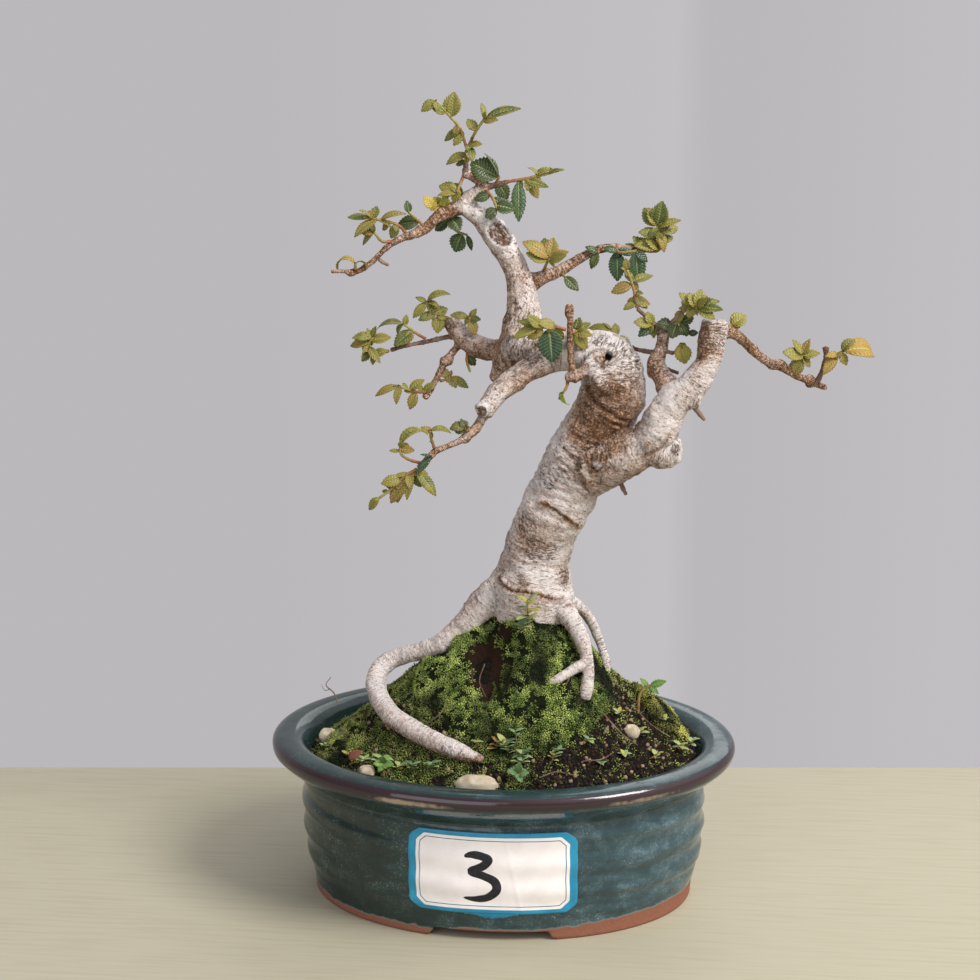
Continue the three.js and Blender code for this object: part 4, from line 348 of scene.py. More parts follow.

# Knots and hollows: place, radius, depth (a swelling is below zero), brown, and dark: painted shade in the
# hollows and under the bulge, and the dark of small knots.
MARKS = [
    ((10.6, -16, 148.1), 2.6, -0.9, 0.5, 0), ((41.3, -21, 205.2), 5.0, -0.5, 0.3, 0.0),
    ((44.5, -22, 207.5), 1.3, 0.7, 0.5, 0.3), ((42.1, -22.3, 201.7), 1.4, -0.9, -1.6, 0),
    ((45.9, -16.8, 247.2), 1.9, 2.6, 0.4, 1), ((48, -19, 228), 9.5, 0.4, 0.75, 0.16),
    ((38, -19, 222), 8.5, 0.2, 0.75, 0.14), ((53.2, -24.4, 210.3), 1.6, -0.6, 0.5, 0.1),
    ((63.6, -27.2, 211.8), 1.9, -0.6, 0.5, 0.1), ((74.5, -22.3, 214.6), 1.5, 0.4, 0.5, 0.2),
    ((54.5, -10.9, 247.8), 1.2, 0.4, 0.7, 0.4), ((57.6, -10.7, 244.2), 1.3, 0.5, 0.7, 0.5),
    ((49.9, -19.2, 232.6), 1.0, 0.3, 0.6, 0.4), ((62.3, -20, 253), 1.5, -0.4, 0.5, 0.1),
    ((41, -21, 204), 9, 0, 0.5, 0), ((88, -22, 257), 8.5, 0, 0.45, 0.04), ((50, -19, 237), 9, 0, 0.2, 0),
    ((46, -15, 245), 10, 0, 0.1, 0), ((54, -10, 241), 7, 0, 0.15, 0), ((84, -20, 250), 6, 0, 0.6, 0.05),
    ((57, -11, 233), 8, 0, 0.35, 0), ((43, -20, 217), 10, 0, 0.95, 0.14), ((50, -17, 214), 9, 0, 0.45, 0.12),
    ((40, -20, 211), 6, 0, 0.5, 0.1), ((1, -4, 253.6), 12, 0, 0.15, 0), ((13, -19, 240.5), 9, 0, 0.4, 0),
    ((2, 2, 276), 9, 0, 0.15, 0), ((-6, -48.6, 78), 3.6, 0.2, 0.9, 0.2), ((-12, -47, 79.4), 3, 0, 0.5, 0),
    ((-14, 1, 309), 5.5, 0, -0.9, 0), ((-8, 1, 305), 5, 0, -0.7, 0), ((14, -16, 165), 8, 0, 0.3, 0),
    ((60, -20, 204), 9, 0, 0.15, 0), ((30, -8, 150), 6, 0, 0.6, 0),
]
# Oval scars of cut limbs: place, way of the long axis, half length and half width.
SCARS = [
    ((-1.3, 1, 296.1), (0.72, 0, -0.7), 6.0, 4.3), ((-6.6, -28.8, 225.3), (0, 0, 1), 2.3, 2.1),
    ((75, -24.5, 209), (0, 0.2, 1), 2.6, 2.2),
]

# Clusters of dark flecks: place, reach and strength.
FLECKS = [
    ((50, -17, 241), 12, 0.9), ((40, -19, 231), 9, 0.7), ((60, -22, 212), 9, 0.3), ((43, -20, 216), 8, 0.8),
    ((88, -22, 257), 8, 0.7), ((80, -26, 236), 6, 0.6), ((38, -12, 250), 9, 0.35), ((58, -11, 238), 8, 0.5),
    ((11, -12.5, 173.2), 4.5, 1.2), ((15.5, -14.5, 162.2), 5, 1.3), ((21, -15, 161), 4, 1.1),
    ((3.2, -6.7, 162.2), 4, 0.9), ((21.4, -15.2, 192.8), 3.5, 1.0), ((17.3, -11.5, 194.1), 3, 0.8),
    ((27.8, -7.1, 148.3), 4, 1.2), ((41.5, -12.9, 253.1), 3.5, 1.0), ((52, -18, 254), 4, 0.8),
    ((33, -18, 205), 7, 0.6), ((27, -16, 200), 6, 0.6), ((66, -24, 208), 7, 0.5), ((74, -24, 212), 5, 0.6),
    ((28, -18, 168), 3, 0.6), ((62, -14, 232), 5, 0.4), ((88, -20, 258), 6, 1.0), ((5, -16, 150), 5, 0.5),
    ((-40, -30, 105), 6, 0.8), ((-55, -40, 90), 5, 0.8), ((-20, -50, 76), 7, 0.9), ((-38, -48, 82), 5, 0.7),
    ((0, -8, 262), 8, 0.8), ((9, -10, 247), 9, 0.9), ((-8, -14, 236), 6, 0.7), ((42, -20, 226), 8, 0.6),
]


# Numbers and noise


def linear(code):
    """A linear colour from an sRGB hex value."""
    shares = [int(code[i:i + 2], 16) / 255 for i in (1, 3, 5)]
    bent = [s / 12.92 if s <= 0.04045 else ((s + 0.055) / 1.055) ** 2.4 for s in shares]
    return (*bent, 1.0)


def toss(i, j, k, seed):
    """An even spread of numbers from 0 to 1 over whole-number places."""
    mixed = (i.astype(np.uint32) * np.uint32(374761393) ^ j.astype(np.uint32)
        * np.uint32(668265263) ^ k.astype(np.uint32) * np.uint32(2246822519))
    mixed = mixed + np.uint32((seed * 3266489917) & 0xFFFFFFFF)
    mixed = (mixed ^ (mixed >> np.uint32(13))) * np.uint32(1274126177)
    return (mixed ^ (mixed >> np.uint32(16))) / 4294967295.0


def lumps(points, size, seed=0):
    """Smooth noise from -1 to 1 whose lumps are about `size` across."""
    place = np.asarray(points, float) / size
    cell = np.floor(place).astype(np.int64)
    part = place - cell
    part = part * part * part * (part * (part * 6 - 15) + 10)
    total = np.zeros(len(place))
    for corner in range(8):
        step = np.array([corner & 1, corner >> 1 & 1, corner >> 2 & 1])
        share = np.prod(np.where(step, part, 1 - part), axis=1)
        i, j, k = (cell + step).T
        total += share * toss(i, j, k, seed)
    return 2 * total - 1


def ease(low, high, value):
    """0 below low, 1 above high and smooth between them."""
    share = np.clip((value - low) / (high - low), 0, 1)
    return share * share * (3 - 2 * share)


def round_turns(count):
    """Angles all round, evenly."""
    return 2 * np.pi * np.arange(count) / count


def unit(way):
    way = np.asarray(way, float)
    return way / np.linalg.norm(way)


# Meshes: all are worked out in mm from the middle of the pot's foot


def in_frame(points):
    return np.asarray(points, float) * MM + np.array([SHIFT, 0, 0])


def points_of(mesh):
    flat = np.zeros(len(mesh.vertices) * 3, np.float32)
    mesh.vertices.foreach_get("co", flat)
    return (flat.reshape(-1, 3).astype(float) - np.array([SHIFT, 0, 0])) / MM


def put_points(mesh, points):
    mesh.vertices.foreach_set("co", in_frame(points).astype(np.float32).ravel())
    mesh.update()


def normals_of(mesh):
    flat = np.zeros(len(mesh.vertices) * 3, np.float32)
    mesh.vertex_normals.foreach_get("vector", flat)
    return flat.reshape(-1, 3).astype(float)


def dress(mesh, materials, values=None, uv=None, pick=None):
    """Gives a mesh its materials, the values its materials read, and smooth faces."""
    for material in materials:
        mesh.materials.append(material)
    for key, numbers in (values or {}).items():
        numbers = np.asarray(numbers, np.float32)
        vector = numbers.ndim == 2
        made = mesh.attributes.new(key, "FLOAT_VECTOR" if vector else "FLOAT", "POINT")
        made.data.foreach_set("vector" if vector else "value", numbers.ravel())
    if uv is not None:
        corners = np.zeros(len(mesh.loops), np.int32)
        mesh.loops.foreach_get("vertex_index", corners)
        layer = mesh.uv_layers.new(name="blade")
        layer.data.foreach_set("uv", np.asarray(uv, np.float32)[corners].ravel())
    if pick is not None:
        mesh.polygons.foreach_set("material_index", np.asarray(pick, np.int32))
    mesh.polygons.foreach_set("use_smooth", [True] * len(mesh.polygons))
    mesh.update()


def placed(name, data):
    """A new object in the scene for a mesh, a lamp or a camera."""
    thing = bpy.data.objects.new(name, data)
    bpy.context.scene.collection.objects.link(thing)
    return thing


def new_piece(name, points, faces, materials, **dressing):
    mesh = bpy.data.meshes.new(name)
    mesh.from_pydata(in_frame(points).tolist(), [], [tuple(map(int, face)) for face in faces])
    dress(mesh, materials, **dressing)
    return placed(name, mesh)


def settle(piece, slot, *nodes):
    """Fixes a finished piece to the one body and hides the solids it stands for; its slot is not used."""
    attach(piece, "root")
    if nodes:
        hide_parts(*nodes)
    return piece


def skin(rings, first, last):
    """A closed skin through a stack of rings, with a middle point at each end."""
    rings = np.asarray(rings, float)
    count, sides = rings.shape[:2]
    points = np.vstack([rings.reshape(-1, 3), [first], [last]])
    k = np.arange(sides)
    after = (k + 1) % sides
    faces = []
    for ring in range(count - 1):
        low, high = ring * sides, (ring + 1) * sides
        faces += np.stack([low + k, low + after, high + after, high + k], 1).tolist()
    low, high, end = count * sides, count * sides + 1, (count - 1) * sides
    faces += np.stack([np.full(sides, low), after, k], 1).tolist()
    faces += np.stack([np.full(sides, high), end + k, end + after], 1).tolist()
    return points, faces


def gather(parts):
    """One set of points and faces from several."""
    points, faces, first = [], [], 0
    for some, its in parts:
        points.append(some)
        faces += [[first + v for v in face] for face in its]
        first += len(some)
    return np.vstack(points), faces


def baked(piece, name):
    """A plain smooth mesh of what a piece's modifiers make of it."""
    graph = bpy.context.evaluated_depsgraph_get()
    mesh = bpy.data.meshes.new_from_object(piece.evaluated_get(graph))
    mesh.name = name
    mesh.polygons.foreach_set("use_smooth", [True] * len(mesh.polygons))
    return mesh


# Curves shared by the wood and the shoots


def spline(route, places):
    """Centripetal curve through the route's points, at places from 0 to 1."""
    route = np.asarray(route, float)[:, :3]
    count = len(route)
    made = []
    for place in np.atleast_1d(places):
        along = place * (count - 1)
        low = min(int(along), count - 2)
        part = along - low
        here, after = route[low], route[low + 1]
        before = route[low - 1] if low > 0 else 2 * route[0] - route[1]
        last = route[low + 2] if low + 2 < count else 2 * route[-1] - route[-2]
        a, b, c = [max(np.sum((q - p) ** 2) ** 0.25, 1e-4)
            for p, q in ((before, here), (here, after), (after, last))]
        pull = ((here - before) / a - (after - before) / (a + b) + (after - here) / b) * b
        push = ((after - here) / b - (last - here) / (b + c) + (last - after) / c) * b
        square = -3 * here + 3 * after - 2 * pull - push
        cube = 2 * here - 2 * after + pull + push
        made.append(here + pull * part + square * part ** 2 + cube * part ** 3)
    return np.array(made)


def follow(route, step):
    """Stops along a route of (x, y, z, radius): centres, ways, radii, arc lengths and sides."""
    route = np.asarray(route, float)
    stops = []
    for i in range(len(route) - 1):
        reach = np.linalg.norm(route[i + 1, :3] - route[i, :3])
        parts = max(1, round(reach / step))
        stops += [i + j / parts for j in range(parts)]
    stops = np.array(stops + [len(route) - 1.0]) / (len(route) - 1)
    centres = spline(route, stops)
    ahead = spline(route, np.clip(stops + 1e-4, 0, 1)) - spline(route, np.clip(stops - 1e-4, 0, 1))
    ahead /= np.linalg.norm(ahead, axis=1)[:, None]
    radii = np.interp(stops * (len(route) - 1), range(len(route)), route[:, 3])
    arc = np.concatenate([[0], np.cumsum(np.linalg.norm(np.diff(centres, axis=0), axis=1))])
    side, sides = np.array([0, -1, 0.01]), []
    for way in ahead:
        side = unit(side - way * (side @ way))
        sides.append(side)
    return centres, ahead, radii, arc, np.array(sides)


def tube(route, around, step, swell=None, tip=0.5):
    """A closed round tube along a route, thickened at each stop by swell(arc), with a pointed or flat tip."""
    centres, ahead, radii, arc, sides = follow(route, step)
    if swell is not None:
        radii = radii * swell(arc)
    turns = round_turns(around)
    across = np.cross(ahead, sides)
    rings = (centres[:, None] + radii[:, None, None] * (np.cos(turns)[None, :, None] * sides[:, None]
        + np.sin(turns)[None, :, None] * across[:, None]))
    cap = centres[-1] + ahead[-1] * tip * radii[-1]
    return skin(rings, centres[0], cap)


# Materials


# Which output is meant where none is named: a Mix's colour and an Attribute's number, else the first.
OUTPUTS = {"Mix": 2, "Attribute": 2}
COLOUR_MIX = (0, 6, 7)     # the sockets of a Mix for its share and its two colours


def new_material(name):
    """An empty material, the function that adds its nodes, and the place on the object."""
    made = bpy.data.materials.new(name)
    made.use_nodes = True
    made.node_tree.nodes.clear()
    add = partial(add_node, made.node_tree)
    return made, add, add("TexCoord", out=3)


def add_node(tree, kind, inputs=(), operation=None, out=None, stops=(), **settings):
    """Adds one node with its settings and links, and gives its output; #text is a colour, a Size is in mm."""
    node = tree.nodes.new(kind if "Node" in kind else "ShaderNode" + kind)
    if kind == "Mix":
        node.data_type = "RGBA"
    if operation:
        node.operation = operation
    for key, value in settings.items():
        setattr(node, key, value)
    for number, (place, code) in enumerate(stops):
        stop = node.color_ramp.elements[number] if number < 2 else node.color_ramp.elements.new(place)
        stop.position, stop.color = place, linear(code)
    if not isinstance(inputs, dict):
        inputs = dict(zip(COLOUR_MIX if kind == "Mix" else range(len(inputs)), inputs))
    for key, value in inputs.items():
        if key == "Size":
            key, value = "Scale", 1 / (value * MM)
        if isinstance(value, bpy.types.NodeSocket):
            tree.links.new(value, node.inputs[key])
        elif isinstance(value, str) and value.startswith("#"):
            node.inputs[key].default_value = linear(value)
        else:
            node.inputs[key].default_value = value
    return node.outputs[OUTPUTS.get(kind, 0) if out is None else out] if len(node.outputs) else None


def glazed_clay(sizes):
    """High-fired stoneware glaze: thick, glassy and deep green, with its right side painted bluer and lighter
    as a painted reflection, painted highlight streaks on the lip, and fine pale specks.
    """
    made, add, place = new_material("teal stoneware glaze")
    parts = add("SeparateXYZ", (place,))
    # The right side is painted bluer and lighter than the left: a painted reflection of the light from the
    # right.
    right = add("MapRange", (parts, SHIFT - 0.06, SHIFT + 0.06))
    cloud = add("TexNoise", {"Vector": place, "Size": 16, "Detail": 7, "Roughness": 0.65, "Distortion": 0.8})
    level = add("VectorMath", (place, (1, 1, 1.7)), "MULTIPLY")
    run = add("TexNoise", {"Vector": level, "Size": 14, "Detail": 6, "Roughness": 0.7})
    depth = add("Math", (cloud, run), "ADD")
    depth = add("MapRange", (depth, 0.75, 1.25))
    green = add("ValToRGB", (depth,), stops=((0.0, "#0c1912"), (1.0, "#263930"), (0.5, "#15251c")))
    blue = add("ValToRGB", (depth,), stops=((0.0, "#263b41"), (1.0, "#5d747d"), (0.5, "#395058")))
    body = add("Mix", (right, green, blue))
    body = add("Mix", (0.25, body, tuple(sizes.glaze)))
    haze = add("TexNoise", {"Vector": place, "Size": 0.9, "Detail": 4, "Roughness": 0.7})
    milk = add("MapRange", (haze, 0.54, 0.7, 0, 0.6))
    milk = add("Math", (milk, add("MapRange", (depth, 0.3, 0.9))), "MULTIPLY")
    body = add("Mix", (milk, body, "#93a9ac"))
    speck = add("TexVoronoi", {"Vector": place, "Size": 2.2})
    dot = add("Math", (speck, add("MapRange", (cloud, 0.5, 0.7, 0.04, 0.16))), "LESS_THAN")
    body = add("Mix", (add("Math", (dot, 0.6), "MULTIPLY"), body, "#a9bcbc"))
    rim = add("Attribute", attribute_name="rim")
    body = add("Mix", (add("Math", (rim, 0.55), "MULTIPLY"), body, "#1d2f33"))
    worn = add("Attribute", attribute_name="band")
    torn = add("TexNoise", {"Vector": place, "Size": 5, "Detail": 5, "Roughness": 0.65})
    edge = add("Math", (worn, add("MapRange", (torn, 0.3, 0.7, -0.3, 0.3))), "ADD")
    edge = add("MapRange", (edge, 0.3, 0.75))
    body = add("Mix", (edge, body, "#322428"))
    # cream: painted highlight streaks on the front of the lip, broken up by noise.
    cream = add("Attribute", attribute_name="cream")
    cream = add("MapRange", (add("Math", (cream, torn), "MULTIPLY"), 0.24, 0.5))
    body = add("Mix", (cream, body, "#a5917c"))
    over = add("Attribute", attribute_name="bare")
    wander = add("TexNoise", {"Vector": place, "Size": 7, "Detail": 3})
    line = add("Math", (over, add("MapRange", (wander, 0.3, 0.7, -0.8, 0.8))), "ADD")
    clay = add("MapRange", (line, 0.15, -0.15))
    lip = add("MapRange", (add("Math", (line, 0.5), "SUBTRACT"), 0.5, 0))
    body = add("Mix", (add("Math", (lip, 0.7), "MULTIPLY"), body, "#7d8078"))
    sand = add("TexNoise", {"Vector": place, "Size": 0.9, "Detail": 6, "Roughness": 0.8})
    earth = add("Mix", (add("MapRange", (sand, 0.35, 0.65)), tuple(sizes.clay), "#7d4e38"))
    colour = add("Mix", (clay, body, earth))
    rough = add("MapRange", {0: clay, 3: 0.13, 4: 0.85})
    dimple = add("TexNoise", {"Vector": place, "Size": 6, "Detail": 3})
    grain = add("Math", (sand, clay), "MULTIPLY")
    height = add("Math", (add("Math", (dimple, 1.6), "MULTIPLY"), grain), "ADD")
    bump = add("Bump", {"Height": height, "Distance": 0.1 * MM, "Strength": 0.8})
    shell = add("BsdfPrincipled", {"Base Color": colour, "Roughness": rough, "IOR": 1.52, "Normal": bump})
    add("OutputMaterial", {"Surface": shell})
    return made


def elm_bark(sizes):
    """Elm bark: dry and dull, chalky flakes over tan and brown, so it scatters light and never shines."""
    made, add, place = new_material("elm bark")
    grain = add("Attribute", attribute_name="grain", out=1)
    brown, dark, pale, orange_shade, fleck = [add("Attribute", attribute_name=key)
        for key in ("brown", "dark", "pale", "orange_shade", "fleck")]
    patch = add("TexNoise", {"Vector": place, "Size": 11, "Detail": 8, "Roughness": 0.72, "Distortion": 0.5})
    flat = add("VectorMath", (grain, (1, 1, 3.5)), "MULTIPLY")
    tall = add("VectorMath", (grain, (1, 1, 0.4)), "MULTIPLY")
    ring = add("TexNoise", {"Vector": flat, "Size": 4.5, "Detail": 8, "Roughness": 0.78, "Distortion": 0.3})
    flake = add("TexNoise", {"Vector": place, "Size": 0.9, "Detail": 6, "Roughness": 0.8})
    mixed = add("Math", (patch, 0.6), "MULTIPLY")
    # brown darkens with the bark's own brown skin and with painted shade on faces turned down and to the left
    # and in creases; pale lightens with painted light on faces turned up and to the right.
    for part, weight in ((ring, 0.65), (flake, 1.65), (brown, -0.34), (pale, 0.13)):
        mixed = add("Math", (part, weight, mixed), "MULTIPLY_ADD")
    share = add("MapRange", (mixed, 0.46, 1.46))
    colour = add("ValToRGB", (share,), stops=((0.16, "#402918"), (1.0, "#f6eeea"), (0.38, "#704b30"),
        (0.5, "#986e4b"), (0.6, "#b9957a"), (0.71, "#d3b9a8"), (0.84, "#e6d6ce")))
    # Painted shade in orange brown under the thick limbs and in the creases.
    colour = add("Mix", (add("Math", (orange_shade, 0.7), "MULTIPLY"), colour, "#9a6238"))
    speck = add("TexNoise", {"Vector": flat, "Size": 2.4, "Detail": 5, "Roughness": 0.7})
    speck = add("Math", (fleck, 0.12, speck), "MULTIPLY_ADD")
    specks = add("MapRange", (speck, 0.61, 0.67, 0, 0.8))
    colour = add("Mix", (specks, colour, "#5f432d"))
    thin = add("VectorMath", (flat, (1, 1, 2.2)), "MULTIPLY")
    dash = add("TexNoise", {"Vector": thin, "Size": 3.4, "Detail": 5, "Roughness": 0.62})
    dashes = add("MapRange", (dash, 0.42, 0.36, 0, 0.75))
    colour = add("Mix", (dashes, colour, "#644530"))
    bend = add("TexNoise", {"Vector": place, "Size": 3, "Detail": 4}, out=1)
    lines = []
    for way, size, low, high in ((flat, 7, 0.35, 0.3), (tall, 4.2, 0.0, 0.75)):
        way = add("VectorMath", (bend, (4 * MM, 4 * MM, 4 * MM), way), "MULTIPLY_ADD")
        cells = add("TexVoronoi", {"Vector": way, "Size": size}, feature="DISTANCE_TO_EDGE")
        line = add("MapRange", (cells, 0.07, 0.01))
        weight = add("MapRange", (brown, 0.25, 0.9, low, high))
        lines.append(add("Math", (line, weight), "MULTIPLY"))
    cracks = add("Math", (lines[0], lines[1]), "MAXIMUM")
    broken = add("MapRange", (ring, 0.4, 0.58, 1, 0.15))
    cracks = add("Math", (cracks, broken), "MULTIPLY")
    colour = add("Mix", (cracks, colour, "#4a3424"))
    # Painted shade in creases, hollows, the knot's grooves and under the bulge, with the dark of small knots,
    # cut scars and the wood at the soil.
    colour = add("Mix", (dark, colour, "#2a1c13"))
    height = ring
    for part, weight in ((flake, 1.3), (dashes, -0.5), (cracks, -0.9), (specks, -0.4)):
        height = add("Math", (part, weight, height), "MULTIPLY_ADD")
    bump = add("Bump", {"Height": height, "Distance": sizes.bark_depth, "Strength": 1})
    shell = add("BsdfPrincipled", {"Base Color": colour, "Roughness": 0.82, "IOR": 1.45,
        "Specular IOR Level": 0.3, "Normal": bump})
    add("OutputMaterial", {"Surface": shell})
    return made


def twig_bark(sizes):
    """Young elm twig: rough, matt and reddish brown with paler pores, and grey where it has aged."""
    made, add, place = new_material("elm twig")
    flake = add("TexNoise", {"Vector": place, "Size": 1.2, "Detail": 5, "Roughness": 0.75})
    patch = add("TexNoise", {"Vector": place, "Size": 9, "Detail": 3})
    colour = add("Mix", (add("MapRange", (flake, 0.4, 0.65)), "#4a3428", "#86695a"))
    colour = add("Mix", (add("MapRange", (patch, 0.45, 0.7)), colour, "#93806f"))
    bump = add("Bump", {"Height": flake, "Distance": sizes.bark_depth, "Strength": 0.9})
    shell = add("BsdfPrincipled", {"Base Color": colour, "Roughness": 0.8, "IOR": 1.45,
        "Specular IOR Level": 0.3, "Normal": bump})
    add("OutputMaterial", {"Surface": shell})
    return made


def leaf_blade(name, code, edge, mate, gloss):
    """Elm leaf: thin and satin, with sunken pale veins that run to the teeth, painted shade in the hollows
    beside them, and lamina puffed between.
    """
    made, add, place = new_material(name)
    blade = add("UVMap", uv_map="blade")
    across = add("SeparateXYZ", (blade,))
    along = add("SeparateXYZ", (blade,), out=1)
    veins = add("Attribute", attribute_name="veins")
    tone = add("Attribute", attribute_name="tone")
    side = add("Math", (add("Math", (across, 0.5), "SUBTRACT"),), "ABSOLUTE")
    slant = add("Math", (side, 3.2), "MULTIPLY")
    phase = add("Math", (add("Math", (along, veins), "MULTIPLY"), slant), "SUBTRACT")
    gap = add("Math", (phase, 0.5), "PINGPONG")
    vein = add("MapRange", (gap, 0.13, 0))
    rib = add("MapRange", (side, 0.045, 0.015))
    lines = add("Math", (rib, add("Math", (vein, 0.5), "MULTIPLY")), "MAXIMUM")
    cloud = add("TexNoise", {"Vector": place, "Size": 3, "Detail": 4})
    blush = add("Math", (tone, add("MapRange", (cloud, 0.35, 0.65, -0.16, 0.16))), "ADD")
    colour = add("ValToRGB", (blush,), stops=((0.0, mate), (1.0, edge), (0.3, code), (0.7, code)))
    rimmed = add("MapRange", (side, 0.36, 0.5, 0, 0.45))
    colour = add("Mix", (rimmed, colour, edge))
    # Painted shade in the hollows beside the sunken veins.
    hollow = add("MapRange", (gap, 0.5, 0.1, 0, 0.35))
    colour = add("Mix", (hollow, colour, mate))
    colour = add("Mix", (add("Math", (lines, 0.5), "MULTIPLY"), colour, "#b9bd86"))
    puff = add("Math", (gap, add("Math", (rib, 0.5), "MULTIPLY")), "SUBTRACT")
    bump = add("Bump", {"Height": puff, "Distance": 0.5 * MM, "Strength": 0.7})
    shell = add("BsdfPrincipled", {"Base Color": colour, "Roughness": gloss, "IOR": 1.42,
        "Subsurface Weight": 0.12, "Subsurface Radius": (0.6, 1.0, 0.25), "Subsurface Scale": 0.8 * MM,
        "Normal": bump})
    add("OutputMaterial", {"Surface": shell})
    return made


def green_stem():
    """Soft young stem: satin, red at its base and green towards its tip."""
    made, add, place = new_material("young stem")
    tone = add("Attribute", attribute_name="tone")
    cloud = add("TexNoise", {"Vector": place, "Size": 3, "Detail": 3})
    share = add("Math", (tone, add("MapRange", (cloud, 0.3, 0.7, -0.3, 0.3))), "ADD", use_clamp=True)
    colour = add("Mix", (share, "#8c4f38", "#8d9446"))
    shell = add("BsdfPrincipled", {"Base Color": colour, "Roughness": 0.5, "IOR": 1.42})
    add("OutputMaterial", {"Surface": shell})
    return made


def moss_mat():
    """The felt under the moss's tufts: matt, its dark damp base deepened into painted shade between the
    tufts, brown where it is worn bare.
    """
    made, add, place = new_material("moss felt")
    bare = add("Attribute", attribute_name="worn")
    cloud = add("TexNoise", {"Vector": place, "Size": 1.5, "Detail": 5, "Roughness": 0.7})
    # Near black green: the moss's dark base deepened into painted shade between the tufts.
    green = add("Mix", (add("MapRange", (cloud, 0.4, 0.62)), "#080b05", "#19220b"))
    soil = add("Mix", (cloud, "#0a0705", "#3d281c"))
    colour = add("Mix", (bare, green, soil))
    bump = add("Bump", {"Height": cloud, "Distance": 1.0 * MM, "Strength": 1})
    shell = add("BsdfPrincipled", {"Base Color": colour, "Roughness": 0.95, "IOR": 1.4,
        "Specular IOR Level": 0.2, "Normal": bump})
    add("OutputMaterial", {"Surface": shell})
    return made


def moss_tuft(name, code, tip_code):
    """Star moss: small soft pointed leaves, dark at the root, where painted shade deepens the older base, and
    bright at the tip, with little gloss; tufts low between the cushions get painted shade.
    """
    made, add, place = new_material(name)
    tip = add("Attribute", attribute_name="tip")
    tone = add("Attribute", attribute_name="tone")
    cloud = add("TexNoise", {"Vector": place, "Size": 5, "Detail": 4})
    leafy = add("Mix", (add("MapRange", (cloud, 0.42, 0.62)), code, tip_code))
    leafy = add("Mix", (add("Math", (tone, 0.6), "MULTIPLY"), leafy, tip_code))
    # Dark at the root: the shoot's older base deepened into painted shade inside the cushion.
    colour = add("Mix", (add("MapRange", (tip, 0.2, 0.75)), "#080c04", leafy))
    # Painted shade: tufts low in the crevices between the cushions are darkened towards black green.
    lift = add("Attribute", attribute_name="lift")
    colour = add("Mix", (add("MapRange", (lift, 0.22, 0.72, 0.03)), "#0c1407", colour))
    shell = add("BsdfPrincipled", {"Base Color": colour, "Roughness": 0.7, "IOR": 1.4})
    add("OutputMaterial", {"Surface": shell})
    return made


def loose_soil():
    """Bonsai soil: dark damp crumbs of fired clay and bark, matt, each crumb its own brown, with painted
    shade in the gaps between them.
    """
    made, add, place = new_material("granular soil")
    cell = add("TexVoronoi", {"Vector": place, "Size": 1.9}, out=1)
    shade = add("SeparateXYZ", (cell,))
    edge = add("TexVoronoi", {"Vector": place, "Size": 1.9})
    ramp = add("Mix", (add("MapRange", (shade, 0.3, 1)), "#0a0705", "#261b13"))
    # Painted shade in the gaps between crumbs, darker towards each cell's edge.
    colour = add("Mix", (add("MapRange", (edge, 0.35, 0.7)), ramp, "#0d0907"))
    fine = add("TexNoise", {"Vector": place, "Size": 0.6, "Detail": 4})
    height = add("Math", (fine, add("Math", (edge, -1.6), "MULTIPLY")), "ADD")
    bump = add("Bump", {"Height": height, "Distance": 0.9 * MM, "Strength": 1})
    shell = add("BsdfPrincipled", {"Base Color": colour, "Roughness": 0.92, "IOR": 1.45,
        "Specular IOR Level": 0.3, "Normal": bump})
    add("OutputMaterial", {"Surface": shell})
    return made


def crumb():
    """Crumbs of fired clay: porous and matt, from near black through red-brown to tan."""
    made, add, place = new_material("clay crumbs")
    tone = add("Attribute", attribute_name="tone")
    fine = add("TexNoise", {"Vector": place, "Size": 0.5, "Detail": 4})
    deep = add("Mix", (add("MapRange", (tone, 0, 0.6)), "#0b0805", "#302214"))
    colour = add("Mix", (add("MapRange", (tone, 0.84, 0.95)), deep, "#9c876a"))
    colour = add("Mix", (add("MapRange", {0: fine, 1: 0.4, 2: 0.7, 4: 0.5}), colour, "#1e1510"))
    bump = add("Bump", {"Height": fine, "Distance": 0.25 * MM, "Strength": 0.8})
    shell = add("BsdfPrincipled", {"Base Color": colour, "Roughness": 0.9, "IOR": 1.45,
        "Specular IOR Level": 0.3, "Normal": bump})
    add("OutputMaterial", {"Surface": shell})
    return made


def river_stone():
    """River pebble: worn smooth but dry, cream with fine dark grains, so only a faint sheen."""
    made, add, place = new_material("river pebble")
    cloud = add("TexNoise", {"Vector": place, "Size": 4, "Detail": 5})
    speck = add("TexNoise", {"Vector": place, "Size": 0.7, "Detail": 4, "Roughness": 0.7})
    colour = add("Mix", (add("MapRange", (cloud, 0.35, 0.65)), "#a3947c", "#cbbfa8"))
    colour = add("Mix", (add("MapRange", {0: speck, 1: 0.58, 2: 0.68, 4: 0.6}), colour, "#6d5c49"))
    bump = add("Bump", {"Height": speck, "Distance": 0.15 * MM, "Strength": 0.8})
    shell = add("BsdfPrincipled", {"Base Color": colour, "Roughness": 0.7, "IOR": 1.5, "Normal": bump})
    add("OutputMaterial", {"Surface": shell})
    return made


